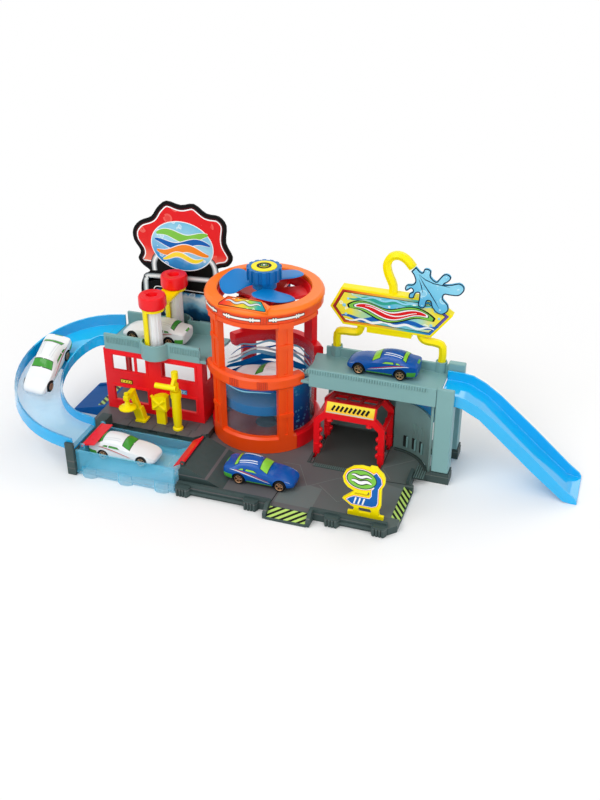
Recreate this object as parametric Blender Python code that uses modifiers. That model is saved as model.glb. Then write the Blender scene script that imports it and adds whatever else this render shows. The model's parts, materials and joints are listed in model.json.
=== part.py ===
"""Toy car wash playset with a water tower, two decks, a tub, tracks and small cars.

Metres, +Z up. The origin lies on the tower's axis at the surface the set stands on.
+X runs from the curved track towards the straight exit ramp, +Y from front to back.
"""
import math

import bmesh
import bpy
from mathutils import Matrix, Vector

# Clearances and details shared by all pieces
GAP = 0.0003
RUNNING_GAP = 0.0005
OVERRUN = 0.001
SINK = 0.0006
INSET = 0.0004
WALL = 0.0022
THIN_WALL = 0.0016
MERGE = 0.00002
FULL_TURN = 2.0 * math.pi

# Levels
TRAY_TOP = 0.008
TRAY_SKIN = 0.0026
WORKSHOP_TOP = 0.016
DECK_TOP = 0.091
DECK_SKIN = 0.003
PARAPET_RISE = 0.0143
PARAPET_TOP = DECK_TOP + PARAPET_RISE
PARAPET_DROP = 0.005

# Round sizes of the tower; its neighbours keep their distance from them
TANK_RADIUS = 0.050
TOWER_PLAY = 0.0006
TOWER_SHELL = 0.0064
TOWER_LEDGE = 0.0035
TOWER_INNER = TANK_RADIUS + TOWER_PLAY
TOWER_OUTER = TOWER_INNER + TOWER_SHELL
TOWER_RIM = TOWER_OUTER + TOWER_LEDGE
CROWN_LEDGE = 0.0030
CROWN_STEP = 0.0012
CROWN_WIDTH = 0.0130
CROWN_OUTER = TOWER_OUTER + CROWN_LEDGE
CROWN_BAND = CROWN_OUTER - CROWN_STEP
CROWN_INNER = CROWN_OUTER - CROWN_WIDTH

# Base tray, as seen from above
TRAY_LEFT = -0.162
TRAY_RIGHT = 0.174
TRAY_FRONT = -0.134
TRAY_BACK = 0.032
TRAY_CORNER = 0.007
WORKSHOP_LEFT = -0.174
WORKSHOP_RIGHT = -0.047
WORKSHOP_FRONT = -0.061
WORKSHOP_CORNER = 0.012
WORKSHOP_NOTCH = 0.007
ARM_FRONT = -0.038
ARM_WIDTH = 0.016
ARM_TOP = 0.0116
KERB_TOP = 0.0125
KERB_WIDTH = 0.004
KERB_SPAN_SHARES = ((0.35, 0.63), (0.76, 0.975))
BUMP_DEPTH = 0.006
BUMP_WIDTH = 0.015
BUMP_TOP = 0.0105
BUMP_SHARES = (0.37, 0.58, 0.82, 0.955)
BUMP_RIB = 0.0012
PIPE_RADIUS = 0.0016
STUB_SPAN_SHARES = (0.635, 0.755)
STUB_RUN = 0.013
STUB_LIP = 0.0025
SLOPE_RUN = 0.009
SLOPE_SPAN_SHARES = (0.10, 0.42)
FLOOR_GROOVE = 0.0005
UNDER_RIB = 0.002
FOOT_RADIUS = 0.012
FOOT_FLAT = 0.0

# Tub, the block it meets and the hump behind its exit
TUB_LEFT = -0.152
TUB_RIGHT = -0.046
TUB_FRONT = -0.136
TUB_BACK = -0.073
TUB_TOP = 0.028
TUB_BACK_TOP = 0.019
TUB_FLOOR = 0.009
TUB_SIDE_TOP = 0.0165
TUB_RAMP_RUN = 0.017
TUB_BUMP_SHARES = (0.13, 0.5, 0.87)
BLOCK_TOP = 0.0262
BLOCK_CHEEK_TOP = 0.037
CHEEK_WIDTH = 0.003
HUMP_END = 0.002
HUMP_PEAK = 0.0253
HUMP_EDGE = 0.0215
HUMP_FRONT = -0.1262
HUMP_BACK = -0.0688
HUMP_PEAK_RUN = 0.0045
HUMP_FLAT = 0.005
FLAP_LENGTH = 0.0125
FLAP_THICKNESS = 0.0016
FLAP_BARREL = 0.0013
FLAP_PIN = 0.0009
FLAP_DROP = math.radians(32.0)
ENTRY_FLAP_DROP = math.radians(-8.5)
FLAP_EAR = 0.0026
EXIT_FLAP_WIDTH = 0.048
EXIT_FLAP_CENTRE_Y = -0.0965
ENTRY_FLAP_WIDTH = 0.040
ENTRY_FLAP_CENTRE_Y = -0.1045
ENTRY_FLAP_Z = 0.0282
EXIT_FLAP_RISE = 0.0272

# Side ramp at the workshop's left edge
SIDE_RAMP_LENGTH = 0.043
SIDE_RAMP_FRONT = -0.030
SIDE_RAMP_BACK = 0.030
SIDE_RAMP_TOP = 0.012
SIDE_RAMP_LIP = 0.0012

# Building under the left deck
BUILDING_LEFT = -0.1696
BUILDING_PLAY = 0.0008
BUILDING_RIGHT = -(TOWER_OUTER + BUILDING_PLAY)
BUILDING_FRONT = -0.0322
BUILDING_BACK = 0.0205
BUILDING_WALL = 0.0024
WINDOW_LOW_SHARES = (0.16, 0.39)
WINDOW_HIGH_SHARES = (0.67, 0.92)
WINDOW_LEFT_SHARES = (0.085, 0.43)
WINDOW_RIGHT_SHARES = (0.585, 0.925)
FRAME_RAISE = 0.0009
FRAME_WIDTH = 0.0022
MULLION = 0.0030

# Left deck
LEFT_DECK_LEFT = -0.167
DECK_FRONT = -0.033
DECK_BACK = 0.025
DECK_WALL = 0.003
LEFT_BACK_RISE = 0.014
LEFT_BACK_TOP = DECK_TOP + LEFT_BACK_RISE
LANE_HALF = 0.023
BAY_RADIUS = 0.0158

# Gate over the left deck
GATE_X = -0.1095
GATE_FRONT_Y = -0.0290
GATE_BACK_Y = 0.0235
ROLLER_RADIUS = 0.0078
ROLLER_FLUTES = 10
ROLLER_FLUTE_DEPTH = 0.0009
ROLLER_SPINDLE = 0.0026
GUARD_RADIUS = 0.0112
GUARD_WALL = 0.0018
GUARD_HALF_ANGLE = math.radians(78.0)
BRIDGE_TOP = 0.1425
BRIDGE_THICKNESS = 0.0026
BRIDGE_RADIUS = 0.0118
KNOB_RADIUS = 0.0142
KNOB_HEIGHT = 0.0135
KNOB_DISH_RADIUS = 0.006
KNOB_DISH_DEPTH = 0.005
KNOB_SIDES = 16

# Backboard behind the left deck
BOARD_LEFT = -0.1620
BOARD_LAP = 0.00614
BOARD_RIGHT = BOARD_LAP - math.sqrt(CROWN_OUTER ** 2 - DECK_BACK ** 2)
BOARD_DROP = 0.0054
BOARD_BOTTOM = DECK_TOP - BOARD_DROP
BOARD_TOP = 0.2296
BOARD_THICKNESS = 0.002
BOARD_SHARES = (
    (0.04, 0.00), (0.04, 0.20), (0.05, 0.33), (0.10, 0.405), (0.15, 0.44), (0.08, 0.48),
    (0.04, 0.53), (0.07, 0.59), (0.01, 0.67), (0.01, 0.75), (0.08, 0.82), (0.20, 0.865),
    (0.27, 0.94), (0.36, 0.995), (0.50, 0.975), (0.63, 0.995), (0.75, 0.935), (0.87, 0.925),
    (0.94, 0.86), (0.93, 0.73), (0.99, 0.63), (0.95, 0.56), (0.85, 0.53), (0.81, 0.48),
    (0.80, 0.33), (0.80, 0.00),
)
BOARD_HARD_SHARES = (0, 25)
HOLDER_SPAN_SHARES = ((0.07, 0.17), (0.64, 0.74))
HOLDER_RISE = 0.0075
HOLDER_TOP = DECK_TOP + HOLDER_RISE

# Tools in the workshop
TOOL_Y = -0.046
POLISHER_X = -0.123
POLISHER_ARM = 0.034
POLISHER_LEAN = math.radians(-16.0)
POLISHER_BAR = 0.0058
POLISHER_HEAD_RADIUS = 0.0092
POLISHER_NECK = 0.0023
POLISHER_REACH = 0.0130
POLISHER_DISC_Z = 0.0375
POLISHER_PIN = 0.0016
PUMP_X = -0.1005
PUMP_WIDTH = 0.0165
PUMP_DEPTH = 0.008
PUMP_TOP = 0.052
PUMP_BASE = 0.034
PUMP_LEG = 0.010
PUMP_BRACE = 0.0016
DRYER_X = -0.0800
DRYER_Y = -0.0505
DRYER_TOP = 0.062
DRYER_RADIUS = 0.0048
DRYER_PIN = 0.0019
DRYER_BAR_RADIUS = 0.0029
DRYER_BAR_LENGTH = 0.023
DRYER_BAR_Z = 0.0705
DRYER_ARM_REACH = 0.009
DRYER_ARM_RISE = 0.012

# Tower, tank and lift
TANK_WALL = 0.002
TANK_FLOOR_SKIN = 0.003
TOWER_BASE_TOP = 0.026
MID_DROP = 0.009
MID_RISE = 0.005
MID_LOW = DECK_TOP - MID_DROP
MID_HIGH = DECK_TOP + MID_RISE
COLUMN_WIDTH = 0.0155
COLUMN_TOP = 0.1553
UPPER_LOW = 0.1500
UPPER_HALF_ANGLE = math.radians(80.0)
COLUMN_ANGLE = math.radians(40.5)
BASE_SEAM_ANGLE = math.radians(52.7)
MID_SEAM_ANGLE = math.radians(59.5)
SEAM_GAP_ANGLE = math.radians(0.5)
TANK_BOSS_RADIUS = 0.011
TANK_BOSS_HOLE = 0.0075
TANK_BOSS_HEIGHT = 0.005
LIFT_TOP = 0.057
LIFT_SKIRT = 0.0105
LIFT_SKIN = 0.0025
LIFT_GAP = 0.0010
SCREW_RADIUS = 0.003
SCREW_COLLAR = 0.0055
SCREW_SOCKET_HEIGHT = 0.004
NUT_LENGTH = 0.007

# Crown, fan and drive
CROWN_LOW = 0.1556
CROWN_TOP = 0.170
CROWN_ROUND = 0.003
CROWN_LIP = 0.1640
SPIDER_RIM = 0.005
SPIDER_LOW_RADIUS = CROWN_INNER - SPIDER_RIM
SPIDER_TOP = 0.1655
SPIDER_ARM_WIDTH = 0.024
SPIDER_ARM_TURN_SHARES = (0.094, 0.25, 0.428, 0.761)
SPIDER_ARM_HEIGHT = 0.004
SPIDER_HUB = 0.009
SHAFT_RADIUS = 0.0032
SHAFT_GAP = 0.0003
DRIVE_TEETH = 36
SCREW_TEETH = 14
SCREW_INSET = 0.010
GEAR_MODULE = (TANK_RADIUS - SCREW_INSET) * 2.0 / (DRIVE_TEETH + SCREW_TEETH)
GEAR_TOP = 0.1535
GEAR_HEIGHT = 0.0055
GEAR_BACKLASH_SHARE = 0.42
GEAR_WEB_HOLES = 5
GEAR_WEB_HOLE_RADIUS = 0.0065
FAN_PLAY = 0.0015
FAN_RADIUS = CROWN_INNER - FAN_PLAY
FAN_HUB = 0.012
FAN_Z = 0.1712
FAN_BLADE = 0.002
FAN_PITCH = math.radians(9.0)
FAN_BLADES = 3
FAN_START = math.radians(67.0)
FAN_BLADE_SHARES = (
    (0.18, -0.15), (0.42, -0.54), (0.72, -0.68), (0.92, -0.50), (1.00, 0.0),
    (0.92, 0.48), (0.72, 0.64), (0.42, 0.44), (0.18, 0.15),
)
CRANK_LOW = 0.1775
CRANK_RADIUS = 0.0175
CRANK_TOP = 0.190
CRANK_FLUTES = 14
CRANK_FLUTE_DEPTH = 0.0013
CAP_RADIUS = 0.01285
CAP_HEIGHT = 0.0016
CAP_HUB_SHARE = 0.36
LABEL_WIDTH = 0.050
LABEL_ANGLE = math.radians(268.0)
LABEL_RISE = 0.0045

# Right deck, its posts and the wash bay below
RIGHT_DECK_RIGHT = 0.1849
RIGHT_DECK_FRONT = -0.037
RIGHT_BACK_RISE = 0.0095
RIGHT_BACK_TOP = DECK_TOP + RIGHT_BACK_RISE
PILLAR_WIDTH = 0.0167
PILLAR_FACE = 0.005
PILLAR_CORE = 0.010
PILLAR_DROP = 0.00174
PILLAR_TUCK = 0.0008
PILLAR_BACK_FRONT = 0.0175
BAY_WALL_X = 0.139
BAY_WALL_Y = -0.045
BAY_WALL_INNER = 0.044
BAY_WALL_END = math.radians(15.5)
BAY_PLAY = 0.004
BAY_BACK_LEFT = TOWER_OUTER + BAY_PLAY
BAY_GRILL_RIBS = 4
BAY_GRILL_START = math.radians(48.0)
BAY_GRILL_STEP = math.radians(5.0)
BAY_GRILL_LOW = 0.026
BAY_GRILL_HIGH = 0.044
WINDOW_PANE = 0.0012
PANE_DROP = 0.006
PANE_HEIGHT = 0.020
PANE_HIGH = DECK_TOP - PANE_DROP
PANE_LOW = PANE_HIGH - PANE_HEIGHT
PANE_START = math.radians(22.0)
PANE_END = math.radians(76.0)
PANE_LAP = 0.0015
PANE_LAP_ANGLE = math.radians(2.0)

# Sliding wash arch
ARCH_PLAY = 0.0065
ARCH_LEFT = TOWER_OUTER + ARCH_PLAY
ARCH_RIGHT = 0.1365
ARCH_FRONT = -0.0365
ARCH_BACK = 0.0050
ARCH_FRAME = 0.0050
ARCH_LEG = 0.0060
ARCH_TOP = 0.0580
ARCH_FOOT = 0.0120
ARCH_BACK_TOP = 0.0620
ARCH_BEAM = 0.0060
ARCH_CHAMFER = 0.0095
ARCH_RAIL = 0.0035
SLOT_WIDTH = 0.0042
SLOT_FRONT = -0.0535
SLOT_BACK = 0.0225
TONGUE_WIDTH = 0.0032
TONGUE_HEAD = 0.0062
TONGUE_HEAD_TOP = 0.0046
TONGUE_LOW = 0.0028
NOZZLE_RADIUS = 0.0022
NOZZLE_LENGTH = 0.0026
NOZZLE_SHARES = (0.16, 0.36, 0.56)
SPRAY_RADIUS = 0.0036
SPRAY_HEIGHT = 0.0030
PANEL_RISE = 0.0115
PANEL_RUN = 0.0070
TOP_SLOT_SHARES = ((0.08, 0.34), (0.40, 0.60), (0.66, 0.92))
PANEL_THICKNESS = 0.0016

# Exit ramp
RAMP_START = 0.1856
RAMP_END = 0.3270
RAMP_FRONT = -0.0313
RAMP_BACK = 0.0168
RAMP_SKIN = 0.0020
RAMP_WALL = 0.0020
RAMP_RISE = 0.0070
RAMP_HEIGHT = DECK_TOP + RAMP_RISE
RAMP_LOW_SHARES = (
    (0.00, 0.880), (0.11, 0.880), (0.17, 0.865), (0.29, 0.775), (0.47, 0.545),
    (0.675, 0.285), (0.905, 0.012), (0.96, 0.0), (1.00, 0.0),
)
RAMP_HIGH_SHARES = (
    (1.00, 0.030), (0.985, 0.065), (0.905, 0.155), (0.65, 0.485), (0.51, 0.655),
    (0.385, 0.810), (0.27, 0.925), (0.18, 0.985), (0.11, 1.000), (0.00, 1.000),
)

# Sign over the right deck, its hose and its splash plate
SIGN_PLAY = 0.0020
SIGN_LEFT = CROWN_OUTER + SIGN_PLAY
SIGN_RIGHT = 0.1850
SIGN_BOTTOM = 0.1290
SIGN_TOP = 0.1700
SIGN_FRONT = 0.0200
SIGN_BACK = 0.0300
SIGN_INSET = 0.0012
SIGN_BORDER = 0.0050
SIGN_SHARES = (
    (0.00, 0.46), (0.09, 1.00), (0.82, 0.98), (1.00, 0.63), (0.84, 0.00), (0.11, 0.02),
)
SIGN_TRAY_DROP = 0.0050
SIGN_TRAY_SHARES = (0.31, 0.68)
LEG_RADIUS = 0.0042
LEG_Y = 0.0250
LEG_PATH_SHARES = ((0.26, 0.10), (0.245, -0.19), (0.20, -0.27), (0.10, -0.29), (0.055, -0.40),
                   (0.055, -1.0))
LEG_RIGHT_PATH_SHARES = ((0.74, 0.10), (0.76, -0.12), (0.80, -0.21), (0.88, -0.23), (0.935, -0.36),
                         (0.935, -1.0))
SOCKET_RADIUS = 0.0060
HOSE_RADIUS = 0.0045
HOSE_RISE = 0.0385
HOSE_TOP = SIGN_TOP + HOSE_RISE
HOSE_PATH_SHARES = (
    (0.505, 0.0), (0.505, 0.26), (0.465, 0.52), (0.448, 0.74), (0.475, 0.93), (0.535, 1.00),
    (0.60, 0.93), (0.655, 0.76),
)
SPLASH_LEFT = 0.1372
SPLASH_RIGHT = 0.1943
SPLASH_BOTTOM = 0.1565
SPLASH_TOP = 0.2026
SPLASH_THICKNESS = 0.0024
SPLASH_SHARES = (
    (0.17, 1.00), (0.25, 0.90), (0.29, 0.90), (0.31, 0.97), (0.37, 0.99), (0.43, 0.94),
    (0.43, 0.82), (0.52, 0.73), (0.57, 0.80), (0.64, 0.91), (0.72, 0.92), (0.77, 0.85),
    (0.73, 0.76), (0.66, 0.69), (0.78, 0.71), (0.91, 0.76), (0.99, 0.70), (1.00, 0.60),
    (0.92, 0.48), (0.78, 0.46), (0.68, 0.46), (0.66, 0.36), (0.75, 0.24), (0.76, 0.10),
    (0.66, 0.00), (0.56, 0.03), (0.48, 0.14), (0.45, 0.26), (0.39, 0.26), (0.37, 0.13),
    (0.31, 0.08), (0.24, 0.14), (0.25, 0.30), (0.25, 0.42), (0.19, 0.40), (0.16, 0.29),
    (0.08, 0.28), (0.08, 0.38), (0.14, 0.44), (0.11, 0.50), (0.03, 0.43), (0.00, 0.50),
    (0.04, 0.58), (0.13, 0.60), (0.17, 0.68), (0.14, 0.80), (0.09, 0.88),
)
SPLASH_HARD_SHARES = (0, 46)

# Arrow sign at the front
ARROW_LEFT = 0.1195
ARROW_RIGHT = 0.1600
ARROW_HEIGHT = 0.0575
ARROW_FRONT = -0.1250
ARROW_THICKNESS = 0.0032
ARROW_SHARES = (
    (0.15, 0.00), (1.00, 0.00), (1.00, 0.07), (0.90, 0.075), (0.88, 0.16), (0.93, 0.26),
    (0.93, 0.60), (1.00, 0.71), (1.00, 0.81), (0.95, 0.89), (0.85, 0.95), (0.80, 1.00),
    (0.66, 1.00), (0.62, 0.965), (0.46, 0.975), (0.26, 0.94), (0.08, 0.84), (0.02, 0.73),
    (0.05, 0.62), (0.14, 0.54), (0.30, 0.485), (0.18, 0.40), (0.02, 0.30), (0.22, 0.19),
    (0.30, 0.17), (0.28, 0.075), (0.15, 0.07),
)
ARROW_HOLE_SHARES = (
    (0.31, 0.42), (0.31, 0.46), (0.60, 0.46), (0.64, 0.52), (0.66, 0.46), (0.60, 0.42),
)
ARROW_FOOT_HOLE_SHARES = ((0.42, 0.08), (0.38, 0.13), (0.42, 0.18), (0.68, 0.18), (0.72, 0.13),
                          (0.68, 0.08))

# Curved track from the left deck down to the tub
TRACK_CENTRE_X = -0.1730
TRACK_CENTRE_Y = -0.0585
TRACK_RADIUS = 0.0540
TRACK_WIDTH = 0.0480
TRACK_SKIN = 0.0020
TRACK_WALL = 0.0020
TRACK_RAIL = 0.0120
TRACK_DROP = 0.0002
TRACK_TOP_Z = DECK_TOP - TRACK_DROP
TRACK_LOW_Z = 0.0288
TRACK_SPLIT_SHARE = 0.40
TRACK_STATIONS = 26
TRACK_BANK = math.radians(7.0)
TRACK_TOP_STRAIGHT = 0.0052
TRACK_LOW_STRAIGHT = 0.0185

# Small cars
CAR_LENGTH = 0.0720
CAR_WIDTH = 0.0290
CAR_HEIGHT = 0.0238
CAR_WHEELBASE = 0.0420
CAR_FRONT_OVERHANG = 0.0135
WHEEL_RADIUS = 0.0058
WHEEL_WIDTH = 0.0040
WHEEL_TRACK = 0.0284
WHEEL_DISH = 0.0006
AXLE_RADIUS = 0.0009
AXLE_GAP = 0.0004
ARCH_GAP = 0.0011
CAR_SECTION_SHARES = (
    (0.00, 0.80, 0.60, 0.70, 0.66, 0.30), (0.04, 0.92, 0.66, 0.80, 0.76, 0.20),
    (0.16, 1.00, 0.70, 0.76, 0.80, 0.13), (0.30, 0.99, 0.66, 0.62, 0.97, 0.13),
    (0.46, 0.97, 0.62, 0.60, 1.00, 0.13), (0.58, 0.97, 0.60, 0.64, 0.90, 0.13),
    (0.70, 1.00, 0.58, 0.78, 0.65, 0.13), (0.86, 0.98, 0.52, 0.74, 0.56, 0.13),
    (0.96, 0.88, 0.42, 0.66, 0.45, 0.16), (1.00, 0.70, 0.34, 0.52, 0.37, 0.20),
)

# Where each car stands: name, x, y, height of its wheels' underside, heading
DECK_CAR_LEFT_X = -0.1215
DECK_CAR_LEFT_Y = -0.00275
DECK_CAR_RIGHT_X = 0.1215
DECK_CAR_RIGHT_Y = 0.0060
FLOOR_CAR_X = 0.0325
FLOOR_CAR_Y = -0.0985
TUB_CAR_X = -0.1115
TUB_CAR_Y = -0.1040
TRACK_CAR_SHARE = 0.47
TRACK_CAR_LIFT = 0.0026

CIRCLE_STEPS = 36
SMALL_STEPS = 12
WHEEL_STEPS = 10

scene = bpy.context.scene
parts = None


def clear_scene():
    """Remove every object of the open scene."""
    for thing in list(bpy.data.objects):
        bpy.data.objects.remove(thing, do_unlink=True)


def between(low, high, share):
    """The place that lies a share of the way from low to high."""
    return low + (high - low) * share


def make_material(name, colour, roughness, alpha=1.0, metallic=0.0):
    """A plain plastic, clear plastic or metal with the piece's own colour."""
    material = bpy.data.materials.new(name)
    material.use_nodes = True
    shader = material.node_tree.nodes["Principled BSDF"]
    shader.inputs["Base Color"].default_value = (*colour, 1.0)
    shader.inputs["Roughness"].default_value = roughness
    shader.inputs["Metallic"].default_value = metallic
    shader.inputs["Alpha"].default_value = alpha
    material.diffuse_color = (*colour, alpha)
    return material


def link(name, mesh):
    """An object that holds the mesh, in the playset's collection."""
    thing = bpy.data.objects.new(name, mesh)
    parts.objects.link(thing)
    return thing


def from_bmesh(name, shape):
    """Turn a bmesh into an object with its faces pointing out."""
    bmesh.ops.recalc_face_normals(shape, faces=shape.faces)
    mesh = bpy.data.meshes.new(name)
    shape.to_mesh(mesh)
    shape.free()
    return link(name, mesh)


def bake(thing):
    """Replace an object's data by its evaluated mesh and drop its modifiers."""
    graph = bpy.context.evaluated_depsgraph_get()
    mesh = bpy.data.meshes.new_from_object(thing.evaluated_get(graph))
    if thing.type == "MESH":
        thing.modifiers.clear()
        thing.data = mesh
        return thing
    shape = bmesh.new()
    shape.from_mesh(mesh)
    bmesh.ops.remove_doubles(shape, verts=shape.verts, dist=MERGE)
    solid = from_bmesh(thing.name, shape)
    solid.matrix_world = thing.matrix_world
    bpy.data.objects.remove(thing, do_unlink=True)
    return solid


def combine(target, others, operation):
    """Add or cut away other solids with exact Boolean modifiers."""
    for other in others:
        modifier = target.modifiers.new(operation, "BOOLEAN")
        modifier.operation = operation
        modifier.solver = "EXACT"
        modifier.object = other
        bake(target)
        bpy.data.objects.remove(other, do_unlink=True)
    return target


def fuse(target, *others):
    """Join solids that overlap into one."""
    return combine(target, others, "UNION")


def cut(target, *others):
    """Cut other solids away from the target."""
    return combine(target, others, "DIFFERENCE")


def keep(target, other):
    """Keep only what lies inside both solids."""
    return combine(target, (other,), "INTERSECT")


def box(low, high, bevel=0.0):
    """A box between two corners, with its edges bevelled where asked."""
    shape = bmesh.new()
    bmesh.ops.create_cube(shape, size=1.0)
    size = [b - a for a, b in zip(low, high)]
    centre = [(a + b) / 2.0 for a, b in zip(low, high)]
    bmesh.ops.scale(shape, vec=size, verts=shape.verts)
    bmesh.ops.translate(shape, vec=centre, verts=shape.verts)
    if bevel:
        bmesh.ops.bevel(shape, geom=list(shape.edges), offset=bevel, segments=1, affect="EDGES")
    return from_bmesh("box", shape)


def rod(start, end, radius, end_radius=None, steps=SMALL_STEPS):
    """A round bar or cone between two points."""
    start = Vector(start)
    end = Vector(end)
    axis = end - start
    shape = bmesh.new()
    bmesh.ops.create_cone(shape, cap_ends=True, segments=steps, radius1=radius,
                          radius2=radius if end_radius is None else end_radius, depth=axis.length)
    turn = Vector((0.0, 0.0, 1.0)).rotation_difference(axis).to_matrix()
    bmesh.ops.rotate(shape, matrix=turn, verts=shape.verts)
    bmesh.ops.translate(shape, vec=(start + end) / 2.0, verts=shape.verts)
    return from_bmesh("rod", shape)


def plate(outline, low, high, across, holes=()):
    """A flat outline given thickness along one axis.

    The outline's two numbers lie along the two other axes, in the order X, Y, Z.
    """
    curve = bpy.data.curves.new("plate", "CURVE")
    curve.dimensions = "2D"
    curve.fill_mode = "BOTH"
    curve.extrude = (high - low) / 2.0
    for loop in (outline, *holes):
        spline = curve.splines.new("POLY")
        spline.points.add(len(loop) - 1)
        for point, (first, second) in zip(spline.points, loop):
            point.co = (first, second, 0.0, 1.0)
        spline.use_cyclic_u = True
    thing = bpy.data.objects.new("plate", curve)
    parts.objects.link(thing)
    middle = (high + low) / 2.0
    turns = {
        "Z": Matrix.Translation((0.0, 0.0, middle)),
        "Y": Matrix.Translation((0.0, middle, 0.0)) @ Matrix.Rotation(FULL_TURN / 4.0, 4, "X"),
        "X": Matrix.Translation((middle, 0.0, 0.0)) @ Matrix(((0, 0, 1, 0), (1, 0, 0, 0), (0, 1, 0, 0),
                                                              (0, 0, 0, 1))),
    }
    thing.matrix_world = turns[across]
    bpy.context.view_layer.update()
    solid = bake(thing)
    apply_place(solid)
    return solid


def apply_place(thing):
    """Move an object's place into its mesh."""
    thing.data.transform(thing.matrix_world)
    thing.matrix_world = Matrix.Identity(4)


def ring_angles(start, end, steps):
    """Evenly spaced angles from start to end, both included."""
    return [between(start, end, index / steps) for index in range(steps + 1)]


def turned(profile, centre=(0.0, 0.0), steps=CIRCLE_STEPS, start=0.0, sweep=FULL_TURN):
    """A profile of (radius, height) points turned about an upright axis."""
    mesh = bpy.data.meshes.new("turned")
    closed = len(profile)
    points = [(radius, 0.0, height) for radius, height in profile]
    on_axis = profile[0][0] == 0.0 and profile[-1][0] == 0.0
    edges = [(index, (index + 1) % closed) for index in range(closed - (1 if on_axis else 0))]
    mesh.from_pydata(points, edges, [])
    thing = link("turned", mesh)
    modifier = thing.modifiers.new("screw", "SCREW")
    modifier.axis = "Z"
    modifier.angle = sweep
    modifier.steps = steps
    modifier.render_steps = steps
    modifier.use_merge_vertices = True
    modifier.merge_threshold = MERGE
    bake(thing)
    if sweep < FULL_TURN:
        close_ends(thing)
    else:
        reface(thing)
    thing.data.transform(Matrix.Translation((*centre, 0.0)) @ Matrix.Rotation(start, 4, "Z"))
    return thing


def close_ends(thing):
    """Fill the two open ends of a part turn."""
    shape = bmesh.new()
    shape.from_mesh(thing.data)
    bmesh.ops.remove_doubles(shape, verts=shape.verts, dist=MERGE)
    bmesh.ops.holes_fill(shape, edges=[edge for edge in shape.edges if edge.is_boundary])
    bmesh.ops.recalc_face_normals(shape, faces=shape.faces)
    shape.to_mesh(thing.data)
    shape.free()


def reface(thing):
    """Weld a full turn and point its faces out."""
    shape = bmesh.new()
    shape.from_mesh(thing.data)
    bmesh.ops.remove_doubles(shape, verts=shape.verts, dist=MERGE)
    bmesh.ops.recalc_face_normals(shape, faces=shape.faces)
    shape.to_mesh(thing.data)
    shape.free()


def loft(sections):
    """A solid through a row of closed sections with equal numbers of points."""
    shape = bmesh.new()
    rows = [[shape.verts.new(point) for point in section] for section in sections]
    for row, following in zip(rows, rows[1:]):
        for index, corner in enumerate(row):
            after = (index + 1) % len(row)
            shape.faces.new((corner, row[after], following[after], following[index]))
    shape.faces.new(rows[0])
    shape.faces.new(rows[-1])
    return from_bmesh("loft", shape)


def tube(points, radius, resolution=2):
    """A round tube with filled caps along a smooth path."""
    curve = bpy.data.curves.new("tube", "CURVE")
    curve.dimensions = "3D"
    curve.bevel_depth = radius
    curve.bevel_resolution = resolution
    curve.use_fill_caps = True
    spline = curve.splines.new("POLY")
    spline.points.add(len(points) - 1)
    for point, place in zip(spline.points, points):
        point.co = (*place, 1.0)
    thing = bpy.data.objects.new("tube", curve)
    parts.objects.link(thing)
    bpy.context.view_layer.update()
    return bake(thing)


def smooth_points(points, steps, closed, hard=()):
    """Points of a curve that passes through all the given ones, kept sharp at the hard ones."""
    count = len(points)
    result = []
    spans = count if closed else count - 1
    for index in range(spans):
        a = Vector(points[(index - 1) % count if closed else max(index - 1, 0)])
        b = Vector(points[index])
        c = Vector(points[(index + 1) % count])
        d = Vector(points[(index + 2) % count if closed else min(index + 2, count - 1)])
        if index in hard:
            a = b
        if (index + 1) % count in hard:
            d = c
        inner = 1 if index in hard and (index + 1) % count in hard else steps
        for step in range(inner):
            t = step / inner
            blend = (2.0 * b + (c - a) * t + (2.0 * a - 5.0 * b + 4.0 * c - d) * t ** 2
                     + (3.0 * b - a - 3.0 * c + d) * t ** 3)
            result.append(tuple(blend / 2.0))
    if not closed:
        result.append(tuple(points[-1]))
    return result


def scaled(shares, left, right, bottom, top):
    """Outline points given as shares of a rectangle."""
    return [(between(left, right, first), between(bottom, top, second)) for first, second in shares]


def finish(thing, name, material, pivot=None, smooth=0.6):
    """Name a solid, give it its material and put its origin on its joint's axis."""
    thing.name = name
    thing.data.name = name
    thing.data.materials.clear()
    thing.data.materials.append(material)
    thing.data.shade_smooth()
    thing.data.set_sharp_from_angle(angle=smooth)
    if pivot is not None:
        thing.data.transform(Matrix.Translation(-Vector(pivot)))
        thing.location = pivot
    return thing


def tray_x(share):
    """A place along the tray's front, as a share of its length."""
    return between(TRAY_LEFT, TRAY_RIGHT, share)


def ribbed_bump(x):
    """A chamfered block with upright ribs that stands out of the tray's front."""
    half = BUMP_WIDTH / 2.0
    front = TRAY_FRONT - BUMP_DEPTH
    block = plate([(x - half, TRAY_FRONT + SINK), (x - half, TRAY_FRONT - BUMP_DEPTH / 3.0),
                   (x - half + BUMP_DEPTH / 3.0, front), (x + half - BUMP_DEPTH / 3.0, front),
                   (x + half, TRAY_FRONT - BUMP_DEPTH / 3.0), (x + half, TRAY_FRONT + SINK)],
                  INSET, BUMP_TOP, "Z")
    for share in (0.3, 0.5, 0.7):
        centre = between(x - half, x + half, share)
        cut(block, box((centre - BUMP_RIB / 2.0, front - OVERRUN, -OVERRUN),
                       (centre + BUMP_RIB / 2.0, front + BUMP_RIB, BUMP_TOP - BUMP_RIB)))
    return block


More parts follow.
